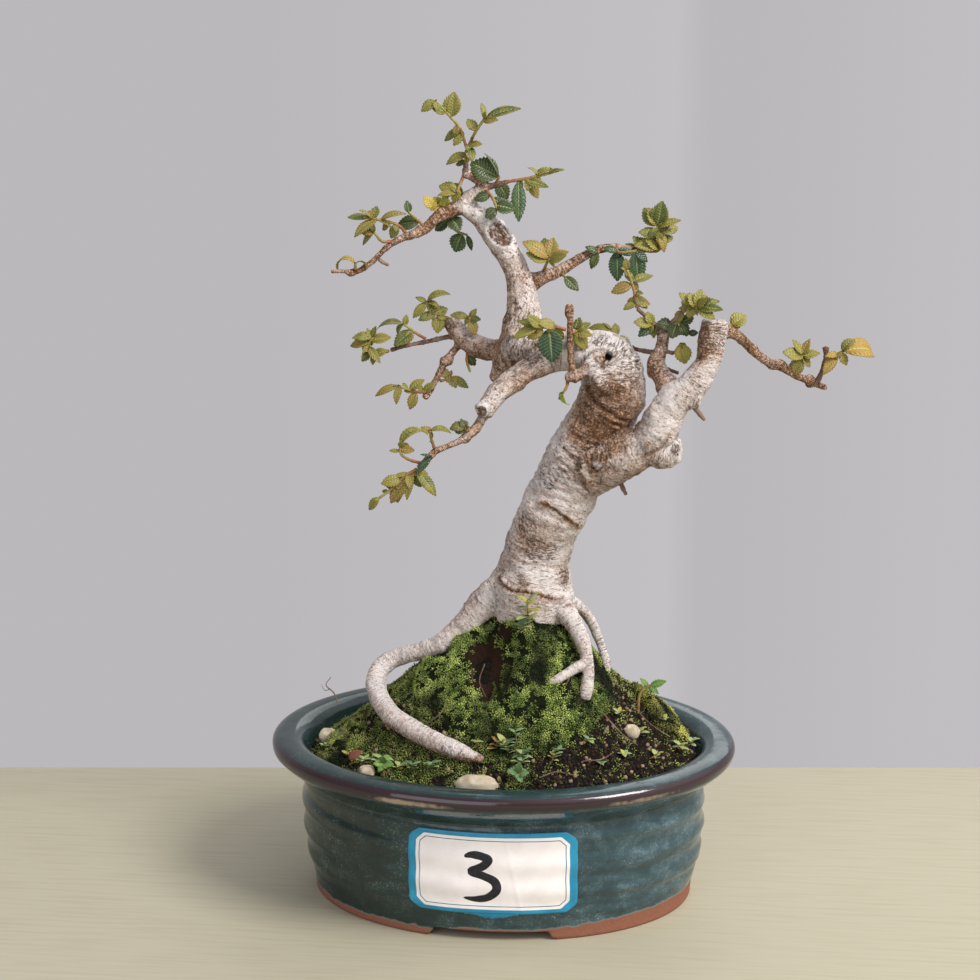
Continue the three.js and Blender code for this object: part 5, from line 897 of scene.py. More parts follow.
def printed_paper():
    """Coated label paper: white with a printed blue border, satin and faintly creased."""
    made, add, place = new_material("printed label paper")
    inward = add("Attribute", attribute_name="inward")
    fibre = add("TexNoise", {"Vector": place, "Size": 0.5, "Detail": 4})
    stain = add("TexNoise", {"Vector": place, "Size": 9, "Detail": 5})
    paper = add("Mix", (add("MapRange", (stain, 0.35, 0.7)), "#fbf6f4", "#f1eae8"))
    ink = add("Mix", (add("MapRange", (stain, 0.35, 0.65)), "#2596bc", "#1b83a8"))
    border = add("MapRange", (inward, 0.05, -0.05))
    line = add("Math", (add("Math", (inward, 1.55), "SUBTRACT"),), "ABSOLUTE")
    line = add("MapRange", (line, 0.24, 0.14))
    colour = add("Mix", (border, paper, ink))
    colour = add("Mix", (line, colour, "#2d6f82"))
    scuff = add("MapRange", (fibre, 0.64, 0.72, 0, 0.35))
    colour = add("Mix", (scuff, colour, "#b9b4bd"))
    bump = add("Bump", {"Height": stain, "Distance": 0.3 * MM, "Strength": 0.5})
    shell = add("BsdfPrincipled", {"Base Color": colour, "Roughness": 0.42, "IOR": 1.5, "Normal": bump})
    add("OutputMaterial", {"Surface": shell})
    return made


def marker_ink():
    """Felt marker ink: black with a slight violet cast, thinner where the pen lifted."""
    made, add, place = new_material("marker ink")
    dry = add("TexNoise", {"Vector": place, "Size": 1.5, "Detail": 4})
    colour = add("Mix", (add("MapRange", {0: dry, 1: 0.5, 2: 0.8, 4: 0.6}), "#18181f", "#3a3a48"))
    shell = add("BsdfPrincipled", {"Base Color": colour, "Roughness": 0.5, "IOR": 1.45})
    add("OutputMaterial", {"Surface": shell})
    return made


def plastic_net():
    """Polyethylene drain netting: black, matt, with a fine moulded grain."""
    made, add, place = new_material("polyethylene netting")
    fine = add("TexNoise", {"Vector": place, "Size": 0.8, "Detail": 3})
    colour = add("Mix", (fine, "#1c1f22", "#30343a"))
    bump = add("Bump", {"Height": fine, "Distance": 0.1 * MM, "Strength": 0.6})
    shell = add("BsdfPrincipled", {"Base Color": colour, "Roughness": 0.6, "IOR": 1.5, "Normal": bump})
    add("OutputMaterial", {"Surface": shell})
    return made


def floor_paint():
    """Painted board: matt and pale, with a faint grain, so it gives no mirror image of the pot."""
    made, add, place = new_material("pale table top")
    cloud = add("TexNoise", {"Vector": place, "Scale": 5, "Detail": 3})
    colour = add("Mix", (cloud, "#b1ac97", "#aaa590"))
    pulled = add("VectorMath", (place, (1, 16, 1)), "MULTIPLY")
    grain = add("TexNoise", {"Vector": pulled, "Size": 38, "Detail": 6})
    colour = add("Mix", (add("MapRange", (grain, 0.46, 0.66, 0, 0.28)), colour, "#9a9278"))
    shell = add("BsdfPrincipled", {"Base Color": colour, "Roughness": 0.75, "IOR": 1.45})
    add("OutputMaterial", {"Surface": shell})
    return made


# Pot


def pot_profile():
    """The pot's whole profile, as insets and heights little more than a millimetre apart."""
    made = []
    for part in (FOOT, WALL, FLARE, RIM, INSIDE):
        flat = [(inset, 0, z) for inset, z in part]
        for i in range(len(part) - 1):
            span = math.dist(part[i], part[i + 1])
            count = max(1, math.ceil(span / 1.15))
            shares = (i + np.arange(count) / count) / (len(part) - 1)
            made += spline(flat, shares)[:, [0, 2]].tolist()
    return np.array(made + [INSIDE[-1]])


def wall_inset(z):
    """Inset of the outer wall at a height between foot and flare."""
    wall = spline([(inset, 0, height) for inset, height in WALL], np.linspace(0, 1, 90))
    return np.interp(z, wall[:, 2], wall[:, 0])


def wall_push(x, y, z, depth):
    """How far the throwing ridges and slow waves stand out of the wall."""
    ridges = np.sin(2 * np.pi * (z + 0.1 * x) / 5.2 + 0.8 * np.sin(x / 17)) * ease(8, 14, z) * ease(56, 44, z)
    waves = np.sin(2 * np.pi * (z + 0.05 * x) / 12.5 + 1.1) * ease(8, 16, z) * ease(57, 50, z)
    soft = lumps(np.stack([x, y, z], -1).reshape(-1, 3), 24, 5).reshape(x.shape)
    return (ridges * (0.3 + 0.7 * ease(0, 40, x)) * depth + 0.4 * soft
        + waves * (0.3 + 0.35 * ease(30, 70, np.abs(x))))


class BONSAI_OT_pot(bpy.types.Operator):
    """Oval pot with its rolled rim, throwing ridges, glaze and bare clay foot"""
    bl_idname = "bonsai.pot"
    bl_label = "Pot"

    def execute(self, context):
        sizes = context.scene.bonsai_pot
        profile = pot_profile()
        turns = round_turns(sizes.sides)
        inset = profile[:, 0][:, None]
        z = np.repeat(profile[:, 1][:, None], sizes.sides, 1)
        x = (RIM_A - inset) * np.cos(turns)
        y = (RIM_B - inset) * np.sin(turns)
        outer = np.arange(len(profile)) < np.argmin(profile[:, 0])
        wall = outer[:, None] & (z > 8)
        push = wall * wall_push(x, y, z, sizes.ridge_depth / MM)
        x += push * np.cos(turns)
        y += push * np.sin(turns)
        arch = ARCH_HEIGHT * (1 - ease(24.5, 27.5, np.abs(x)))
        low = np.arange(len(profile))[:, None] < len(profile) * 0.5
        z = np.where(low & (z < arch), arch, z)
        rings = np.stack([x, y, z], -1)
        points, faces = skin(rings, (0, 0, UNDERSIDE), (0, 0, FLOOR_TOP))
        px, py, pz = points.T
        front = np.interp(px, [-88, -60, -28, 0, 28, 50, 85], [3, 3.5, 3.4, 5.4, 5.2, 7, 8])
        under = np.append(np.repeat(~outer | (profile[:, 1] > 1), sizes.sides), [False, True])
        inner = np.append(np.repeat(np.arange(len(profile)) > np.argmin(profile[:, 0]) + 19, sizes.sides),
            [False, True])
        bare = np.where(under, pz - front, -4)
        edge = np.append(np.repeat(profile[:, 0], sizes.sides), [90, 90])
        lip = (edge < 3.2) & (pz < 72)
        band = lip * ease(66.2, 67.6, pz) * ease(72.9, 71.6, pz)
        rim = ease(64, 66.5, pz) * (edge < 22)
        turn = np.degrees(np.arctan2(py / RIM_B, px / RIM_A))
        # Painted highlight streaks on the lip, at the front left, the front right and the left.
        cream = lip * ease(65.4, 67, pz) * ease(70, 68, pz) * (np.exp(-((turn + 109) / 13) ** 2)
            + 0.75 * np.exp(-((turn + 52) / 15) ** 2) + 0.5 * np.exp(-((turn + 150) / 10) ** 2))
        bare = np.where(inner & (pz < 60), 4, bare)
        values = {"bare": bare, "band": band, "rim": rim, "cream": cream}
        pot = new_piece("glazed_pot", points, faces, [glazed_clay(sizes)], values=values)
        drains = [tube([(x, 0, UNDERSIDE - 2, DRAIN_RADIUS), (x, 0, FLOOR_TOP + 3, DRAIN_RADIUS)], 32, 20)
            for x in (-DRAIN_X, DRAIN_X)]
        cutter = new_piece("drain_cutter", *gather(drains), [])
        cut = pot.modifiers.new("drains", "BOOLEAN")
        cut.solver = "MANIFOLD"
        cut.operation = "DIFFERENCE"
        cut.object = cutter
        mesh = baked(pot, "glazed_pot")
        pot.modifiers.clear()
        pot.data = mesh
        bpy.data.objects.remove(cutter)
        settle(pot, "glaze", "pot")
        return {"FINISHED"}


class BONSAI_OT_screens(bpy.types.Operator):
    """Netting over the drain holes: the solids keep their shape and get their plastic"""
    bl_idname = "bonsai.screens"
    bl_label = "Drain netting"

    def execute(self, context):
        net = plastic_net()
        for name in ("drain_screen_left", "drain_screen_right"):
            mesh = frame["nodes"][name].data
            mesh.materials.clear()
            mesh.materials.append(net)
        return {"FINISHED"}


def sheet(outer, inner):
    """A closed thin sheet between two nets of points."""
    columns, rows = outer.shape[:2]
    count = columns * rows
    place = np.arange(count).reshape(columns, rows)
    low, right = place[:-1, :-1].ravel(), place[1:, :-1].ravel()
    top, corner = place[:-1, 1:].ravel(), place[1:, 1:].ravel()
    faces = np.stack([low, right, corner, top], 1).tolist()
    faces += (np.stack([top, corner, right, low], 1) + count).tolist()
    edge = np.concatenate([place[:, 0], place[-1, 1:], place[-2::-1, -1], place[0, -2:0:-1]])
    after = np.roll(edge, -1)
    faces += np.stack([edge, edge + count, after + count, after], 1).tolist()
    return np.vstack([outer.reshape(-1, 3), inner.reshape(-1, 3)]), faces


class BONSAI_OT_label(bpy.types.Operator):
    """Paper label on the front of the pot, bent to the wall, with its number in marker"""
    bl_idname = "bonsai.label"
    bl_label = "Label"

    def execute(self, context):
        sizes = context.scene.bonsai_pot
        wide, tall = sizes.label_width / MM / 2, sizes.label_height / MM / 2
        corner, aside, middle = 5, 1, 33     # reach of its rounded corners, and its middle on the pot, in mm

        def on_wall(x, z, lift):
            x, z = x + aside, z + middle
            inset = wall_inset(z) - lift
            a, b = RIM_A - inset, RIM_B - inset
            y = -b * np.sqrt(1 - (x / a) ** 2)
            push = wall_push(x, y, z, 0) + 0.15
            return np.stack([x + push * x / a, y + push * y / b, z], -1)

        def crease(net):
            soft = 0.12 * lumps(net.reshape(-1, 3), 7, 3).reshape(net.shape[:2])
            return soft + 0.15 * np.exp(-((net[..., 0] - 9 + 0.2 * net[..., 2]) / 0.8) ** 2)

        columns, rows = 99, 53
        across = np.linspace(-1, 1, columns)[:, None] * np.ones((1, rows))
        up = np.linspace(-1, 1, rows)[None, :] * np.ones((columns, 1))
        x = across * wide
        cut = np.maximum(0, np.abs(x) - (wide - corner))
        cut = corner - np.sqrt(np.maximum(0, corner ** 2 - cut ** 2)) * 0.4 - 0.6 * (corner - cut)
        z = up * (tall - cut)
        curl = 0.5 * ease(wide - 3, wide, np.abs(x)) * ease(0.2, 1, -up)
        lift = crease(np.stack([x, 0 * x, z], -1)) + curl
        outer = on_wall(x, z, 0.42 + lift)
        inner = on_wall(x, z, 0.12 + lift)
        points, faces = sheet(outer, inner)
        to_side = wide - np.abs(x) - 3.3
        to_top = (tall - cut) - np.abs(z) - 2
        to_corner = (wide + tall - 1.15 * corner - np.abs(x) - np.abs(z)) / 1.414 - 2.2
        inward = np.minimum(np.minimum(to_side, to_top), to_corner).ravel()
        stroke = [(-11.6, 8.2), (-8.4, 9), (-4.2, 8.4), (-1.4, 7), (-3.4, 4.2), (-8.6, 1.2), (-4, -0.6),
            (1.2, -3.4), (2, -7), (-1.6, -10.8), (-6.6, -12), (-12.2, -11.6)]
        path = spline([(u, 0, v) for u, v in stroke], np.linspace(0, 1, 90))
        way = np.gradient(path, axis=0)
        way /= np.linalg.norm(way, axis=1)[:, None]
        square = np.stack([-way[:, 2], 0 * way[:, 0], way[:, 0]], -1)
        press = 1.85 * np.minimum(1, np.sqrt(np.linspace(0.02, 8, 90))) * np.minimum(1,
            np.sqrt(np.linspace(8, 0.02, 90))) + 0.12 * lumps(path, 4, 9)
        shares = np.linspace(-1, 1, 7)
        spread = path[:, None] + square[:, None] * (press[:, None] * shares)[..., None]
        lift = 0.42 + crease(spread)
        mark = on_wall(spread[..., 0], spread[..., 2], lift + 0.05)
        base = on_wall(spread[..., 0], spread[..., 2], lift - 0.1)
        rings = np.concatenate([mark, base[:, ::-1]], axis=1)[:, ::-1]
        marked = skin(rings, rings[0].mean(0), rings[-1].mean(0))
        torn_x = np.linspace(-12, 11, 40)[:, None] * np.ones((1, 4))
        ragged = lumps(torn_x[:, :1] * np.ones((1, 3)), 1.6, 14)[:, None]
        hang = 0.6 + 2.0 * ease(11, 0, np.abs(torn_x)) + 0.5 * ragged
        torn_z = -tall + 1.2 - (1.2 + hang) * np.linspace(0, 1, 4)[::-1]
        torn = sheet(on_wall(torn_x, torn_z, 0.3), on_wall(torn_x, torn_z, 0.08))
        total = gather([(points, faces), marked, torn])
        values = {"inward": np.concatenate([inward, inward, np.zeros(len(marked[0])), np.full(len(torn[0]),
            -1)])}
        pick = [0] * len(faces) + [1] * len(marked[1]) + [0] * len(torn[1])
        piece = new_piece("paper_label", *total, [printed_paper(), marker_ink()], values=values, pick=pick)
        settle(piece, SLOTS["label"], "label")
        return {"FINISHED"}


# Ground


def ground(x, y):
    """Height of the soil: a mound under the trunk, a cushion at the right, a hollow by the left root."""
    reach = np.hypot((x - MOUND_X) / np.where(x < MOUND_X, 94, 77), (y - MOUND_Y) / 64)
    mound = 58 * np.maximum(0, 1 - reach * reach) ** 1.7
    swell = 17 * np.exp(-((x - 12) ** 2 + (y + 10) ** 2) / 200)
    cushion = 8 * np.exp(-((x - 70) ** 2 + (y - 8) ** 2) / 260)
    hollow = 8 * np.exp(-((x + 3) ** 2 + (y + 24) ** 2) / 110)
    crumbs = 0.5 * np.sin(0.41 * x + 0.9) * np.sin(0.37 * y)
    return 66 + mound + swell + cushion - hollow + crumbs


MOSSES = {
    "moss_mound": ((8, -12), (42, 40, 42, 44, 40, 38, 46, 40, 34, 36, 36, 38)),
    "moss_left": ((-69, -14), (8, 10, 14, 12, 10, 14, 18, 12)),
    "moss_right": ((70, 8), (13, 14, 16, 14, 12, 12, 16, 16)),
}


def moss_reach(name, turn):
    """Reach of a patch of moss from its middle, in the direction `turn`."""
    reaches = np.array(MOSSES[name][1], float)
    place = (turn % (2 * np.pi)) / (2 * np.pi) * len(reaches)
    low = np.floor(place).astype(int)
    part = (1 - np.cos(np.pi * (place - low))) / 2
    return reaches[low % len(reaches)] * (1 - part) + reaches[(low + 1) % len(reaches)] * part


def moss_cover(x, y):
    """How far each place is from any moss: below 1 it is under it."""
    nearest = np.full(np.shape(x), 9.0)
    for name, ((cx, cy), _) in MOSSES.items():
        away = np.hypot(x - cx, y - cy) / moss_reach(name, np.arctan2(y - cy, x - cx))
        nearest = np.minimum(nearest, away)
    return nearest


def scatter_tree(name):
    """Strews a small piece over a surface, thick where the surface's "growth" is near one."""
    tree = bpy.data.node_groups.new(name, "GeometryNodeTree")
    face = tree.interface
    face.new_socket("Geometry", in_out="OUTPUT", socket_type="NodeSocketGeometry")
    for key, kind in (("Geometry", "Geometry"), ("Piece", "Object"), ("Spacing", "Float"),
            ("Smallest", "Float"), ("Largest", "Float"), ("Lean", "Float"), ("Seed", "Int"),
            ("Material", "Material")):
        face.new_socket(key, in_out="INPUT", socket_type="NodeSocket" + kind)
    add = partial(add_node, tree)
    entry = tree.nodes.new("NodeGroupInput").outputs
    growth = add("GeometryNodeInputNamedAttribute", {"Name": "growth"}, data_type="FLOAT")
    sown = tree.nodes.new("GeometryNodeDistributePointsOnFaces")
    sown.distribute_method = "POISSON"
    for key, value in (("Mesh", entry["Geometry"]), ("Distance Min", entry["Spacing"]),
            ("Density Factor", growth), ("Seed", entry["Seed"])):
        tree.links.new(value, sown.inputs[key])
    sown.inputs["Density Max"].default_value = 4e6
    lean = add("CombineXYZ", (entry["Lean"], entry["Lean"], math.pi))
    back = add("VectorMath", {0: lean, "Scale": -1}, "SCALE")
    turn = add("FunctionNodeRandomValue", {0: back, 1: lean, 8: entry["Seed"]}, data_type="FLOAT_VECTOR")
    facing = add("FunctionNodeRotateRotation",
        (sown.outputs["Rotation"], add("FunctionNodeEulerToRotation", (turn,))), rotation_space="LOCAL")
    size = add("FunctionNodeRandomValue", {2: entry["Smallest"], 3: entry["Largest"], 8: entry["Seed"]},
        out=1, data_type="FLOAT")
    made = add("GeometryNodeObjectInfo", (entry["Piece"],), out=4)
    strewn = add("GeometryNodeInstanceOnPoints", {"Points": sown.outputs["Points"], "Instance": made,
        "Rotation": facing, "Scale": size})
    tone = add("FunctionNodeRandomValue", {2: 0, 3: 1, 8: 7}, out=1, data_type="FLOAT")
    strewn = add("GeometryNodeStoreNamedAttribute", {"Geometry": strewn, "Name": "tone", "Value": tone},
        data_type="FLOAT", domain="INSTANCE")
    solid = add("GeometryNodeRealizeInstances", (strewn,))
    solid = add("GeometryNodeSetMaterial", {0: solid, "Material": entry["Material"]})
    add("NodeGroupOutput", (solid,))
    return tree


def strew(ground_piece, small, name, tree, **choices):
    """A plain piece from small pieces strewn over a surface by the scatter tree."""
    modifier = ground_piece.modifiers.new("strewn", "NODES")
    modifier.node_group = tree
    sockets = {item.name: item.identifier for item in tree.interface.items_tree if item.in_out == "INPUT"}
    modifier[sockets["Piece"]] = small
    for key, value in choices.items():
        modifier[sockets[key.replace("_", " ").title()]] = value
    mesh = baked(ground_piece, name)
    ground_piece.modifiers.remove(modifier)
    return placed(name, mesh)


def loose(name, points, faces, values=None):
    """A small piece in metres that is only there to be strewn."""
    mesh = bpy.data.meshes.new(name)
    mesh.from_pydata((np.asarray(points) * MM).tolist(), [], [tuple(f) for f in faces])
    dress(mesh, [], values=values)
    return placed(name, mesh)


def star_tuft():
    """One moss shoot: five narrow pointed leaves round a sixth, each a closed spike."""
    points, faces, tips = [], [], []
    for k in range(6):
        turn = 2 * math.pi * k / 5
        tilt = 0.0 if k == 5 else 0.85
        out = np.array([math.cos(turn) * math.sin(tilt), math.sin(turn) * math.sin(tilt), math.cos(tilt)])
        side = np.array([-math.sin(turn), math.cos(turn), 0])
        up = np.cross(out, side)
        root = np.array([0, 0, -0.6]) + 0.1 * out
        belly = root + out * 0.75 + up * 0.16
        first = len(points)
        points += [root, belly + side * 0.3, belly - side * 0.3, root + out * 1.6]
        tips += [0, 0.5, 0.5, 1]
        faces += [(first + a, first + b, first + c)
            for a, b, c in ((0, 2, 1), (3, 1, 2), (0, 1, 3), (0, 3, 2))]
    return loose("star_tuft", points, faces, {"tip": tips})


def clay_crumb():
    """One rough crumb: a lump of twenty faces squeezed out of round."""
    golden = (1 + 5 ** 0.5) / 2
    points = [(-1, golden, 0), (1, golden, 0), (-1, -golden, 0), (1, -golden, 0), (0, -1, golden),
        (0, 1, golden), (0, -1, -golden), (0, 1, -golden), (golden, 0, -1), (golden, 0, 1), (-golden, 0, -1),
        (-golden, 0, 1)]
    faces = [(0, 11, 5), (0, 5, 1), (0, 1, 7), (0, 7, 10), (0, 10, 11), (1, 5, 9), (5, 11, 4), (11, 10, 2),
        (10, 7, 6), (7, 1, 8), (3, 9, 4), (3, 4, 2), (3, 2, 6), (3, 6, 8), (3, 8, 9), (4, 9, 5), (2, 4, 11),
        (6, 2, 10), (8, 6, 7), (9, 8, 1)]
    points = np.array(points) / 1.9
    points *= (1 + 0.3 * lumps(points * 3 + 5, 1.3, 4))[:, None] * np.array([1.1, 0.85, 0.8])
    return loose("clay_crumb", points, faces)


class BONSAI_OT_soil(bpy.types.Operator):
    """Granular soil that fills the pot, with crumbs strewn where no moss grows"""
    bl_idname = "bonsai.soil"
    bl_label = "Soil"

    def execute(self, context):
        sizes = context.scene.bonsai_ground
        sides = 220
        turns = round_turns(sides)
        rings = [np.stack([(RIM_A - inset) * np.cos(turns), (RIM_B - inset) * np.sin(turns),
            np.full(sides, float(z))], -1) for inset, z in ((26.7, 11.8), (24.1, 17), (23.5, 48), (22.6, 56))]
        for share in np.linspace(1, 0.012, 78):
            x = MOUND_X * (1 - share) + (RIM_A - 17.8) * np.cos(turns) * share
            y = MOUND_Y * (1 - share) + (RIM_B - 17.8) * np.sin(turns) * share
            z = ground(x, y) - 2.4 * ease(0.93, 1, share)
            flat = np.stack([x, y, z], -1)
            z = z + 0.7 * lumps(flat, 3.4, 1) + 0.45 * lumps(flat, 1.6, 2)
            rings.append(np.stack([x, y, z], -1))
        rings = np.array(rings)
        points, faces = skin(rings, (0, 0, 11.8), (MOUND_X, MOUND_Y, ground(MOUND_X, MOUND_Y)))
        away = moss_cover(points[:, 0], points[:, 1])
        px, py, _ = points.T
        open_ground = ease(0.9, 1.0, away) * (points[:, 2] > 62.5)
        patchy = ease(-0.3, 0.1, lumps(points, 11, 41) + 0.5 * lumps(points, 4, 42))
        green = np.maximum(ease(36, 6, px), 0.4 * ease(-10, 10, py))
        mossy = open_ground * (0.25 + 0.75 * patchy) * (0.22 + 0.78 * green)
        mossy = mossy * (0.35 + 0.65 * ease(1.0, 0.93, np.hypot(px / (RIM_A - 18), py / (RIM_B - 18))))
        # The tufts on the soil get one middling lift, so an even share of the tufts' painted shade.
        soil = new_piece("soil_fill", points, faces, [loose_soil()],
            values={"growth": open_ground * (1 - 0.7 * mossy), "lift": np.full(len(points), 0.6)})
        crumbs = clay_crumb()
        tree = scatter_tree("Strewn crumbs")
        strewn = strew(soil, crumbs, "soil_crumbs", tree, spacing=sizes.crumb_spacing, smallest=0.35,
            largest=1.25, lean=1.5, seed=sizes.seed, material=crumb())
        bpy.data.objects.remove(crumbs)
        soil.data.attributes["growth"].data.foreach_set("value", mossy.astype(np.float32))
        tuft = star_tuft()
        wild = strew(soil, tuft, "tufts_soil", tree, spacing=1.45 * sizes.tuft_spacing, smallest=0.7,
            largest=1.6, lean=0.6, seed=sizes.seed + 1, material=moss_tuft("creeping moss", "#496720",
            "#b6c266"))
        bpy.data.objects.remove(tuft)
        settle(wild, SLOTS["moss_mound"])
        settle(soil, SLOTS["soil"], "soil")
        settle(strewn, SLOTS["soil"])
        return {"FINISHED"}


class BONSAI_OT_moss(bpy.types.Operator):
    """Cushions of moss on the mound and at both rims, set with star-shaped tufts"""
    bl_idname = "bonsai.moss"
    bl_label = "Moss"

    def execute(self, context):
        sizes = context.scene.bonsai_ground
        felt = moss_mat()
        greens = {"moss_mound": moss_tuft("star moss", "#426818", "#cfe07a"),
            "moss_left": moss_tuft("sunlit moss", "#6a8726", "#e4e888"),
            "moss_right": moss_tuft("yellow moss", "#8c9633", "#e9e27c")}
        tree = scatter_tree("Strewn tufts")
        tuft = star_tuft()
        for name, ((cx, cy), _) in MOSSES.items():
            sides = 160 if name == "moss_mound" else 90
            turns = round_turns(sides)
            reach = moss_reach(name, turns)
            rings, lifts = [], [np.full(sides, 0.5)] * 4
            for share in np.linspace(0.3, 1, 4):
                x, y = cx + reach * share * np.cos(turns), cy + reach * share * np.sin(turns)
                rings.append(np.stack([x, y, ground(x, y) - 2], -1))
            for share in np.linspace(1, 0.02, 60 if name == "moss_mound" else 26):
                x, y = cx + reach * share * np.cos(turns), cy + reach * share * np.sin(turns)
                flat = np.stack([x, y, 0 * x], -1)
                swell = 0.5 * lumps(flat, 17, 13) + 0.7 * lumps(flat, 9, 6) + 0.35 * lumps(flat, 4, 7)
                lifts.append(0.5 + 0.55 * swell)
                rings.append(np.stack([x, y, ground(x, y) + 1.0
                    + (3.3 + 3.6 * swell) * np.sqrt(max(0, 1 - share ** 4))], -1))
            middle = ground(float(cx), float(cy))
            points, faces = skin(rings, (cx, cy, middle - 2), (cx, cy, middle + 4))
            hollow = np.exp(-((points[:, 0] + 5.5) ** 2 / 150 + (points[:, 1] + 20) ** 2 / 90))
            points[4 * sides:, 2] -= 4.5 * (hollow * (name == "moss_mound"))[4 * sides:]
            worn = ease(0.35, 0.75, hollow + 0.3 * lumps(points, 5, 8) + 0.2 * lumps(points, 2, 9))
            top = np.arange(len(points)) >= 4 * sides
            growth = top * (1 - worn) * (0.1 + 0.9 * ease(-0.4, 0.15, lumps(points, 2.6, 11)
                + 0.5 * lumps(points, 6, 12)))
            # lift holds how high the cushion swells here; the tufts' material turns low places into painted
            # shade.
            felted = new_piece("felt_" + name[5:], points, faces, [felt],
                values={"worn": worn, "growth": growth, "lift": np.append(np.concatenate(lifts), [0.5, 0.5])})
            tufts = strew(felted, tuft, "tufts_" + name[5:], tree, spacing=sizes.tuft_spacing, smallest=0.55,
                largest=1.4, lean=0.7, seed=sizes.seed, material=greens[name])
            settle(felted, SLOTS[name], name)
            settle(tufts, SLOTS[name])
        bpy.data.objects.remove(tuft)
        return {"FINISHED"}


# Wood


def nearest(points, samples, radii=None):
    """Index of the nearest sample, less its radius, for each point."""
    found = np.zeros(len(points), int)
    best = np.zeros(len(points))
    for first in range(0, len(points), 8000):
        some = points[first:first + 8000]
        far = np.sqrt(np.maximum(0, (some ** 2).sum(1)[:, None] + (samples ** 2).sum(1)[None]
            - 2 * some @ samples.T))
        if radii is not None:
            far = far - radii[None]
        found[first:first + 8000] = far.argmin(1)
        best[first:first + 8000] = far.min(1)
    return found, best


def smooth_net(mesh, points, rounds, pull, push):
    """Evens out a net of points without shrinking it."""
    pairs = np.zeros(len(mesh.edges) * 2, np.int32)
    mesh.edges.foreach_get("vertices", pairs)
    a, b = pairs.reshape(-1, 2).T
    count = np.bincount(a, minlength=len(points)) + np.bincount(b, minlength=len(points))
    for _ in range(rounds):
        for share in (pull, push):
            total = np.stack([np.bincount(a, points[b, i], len(points))
                + np.bincount(b, points[a, i], len(points)) for i in range(3)], 1)
            points = points + share * (total / count[:, None] - points)
    return points


def ball(x, y, z, radius, sides=20):
    """A closed round lump."""
    turns = round_turns(sides)
    rings = [np.stack([x + radius * math.sin(t) * np.cos(turns), y + radius * math.sin(t) * np.sin(turns),
        np.full(sides, z - radius * math.cos(t))], -1) for t in np.linspace(0, math.pi, sides // 2 + 2)[1:-1]]
    return skin(rings, (x, y, z - radius), (x, y, z + radius))


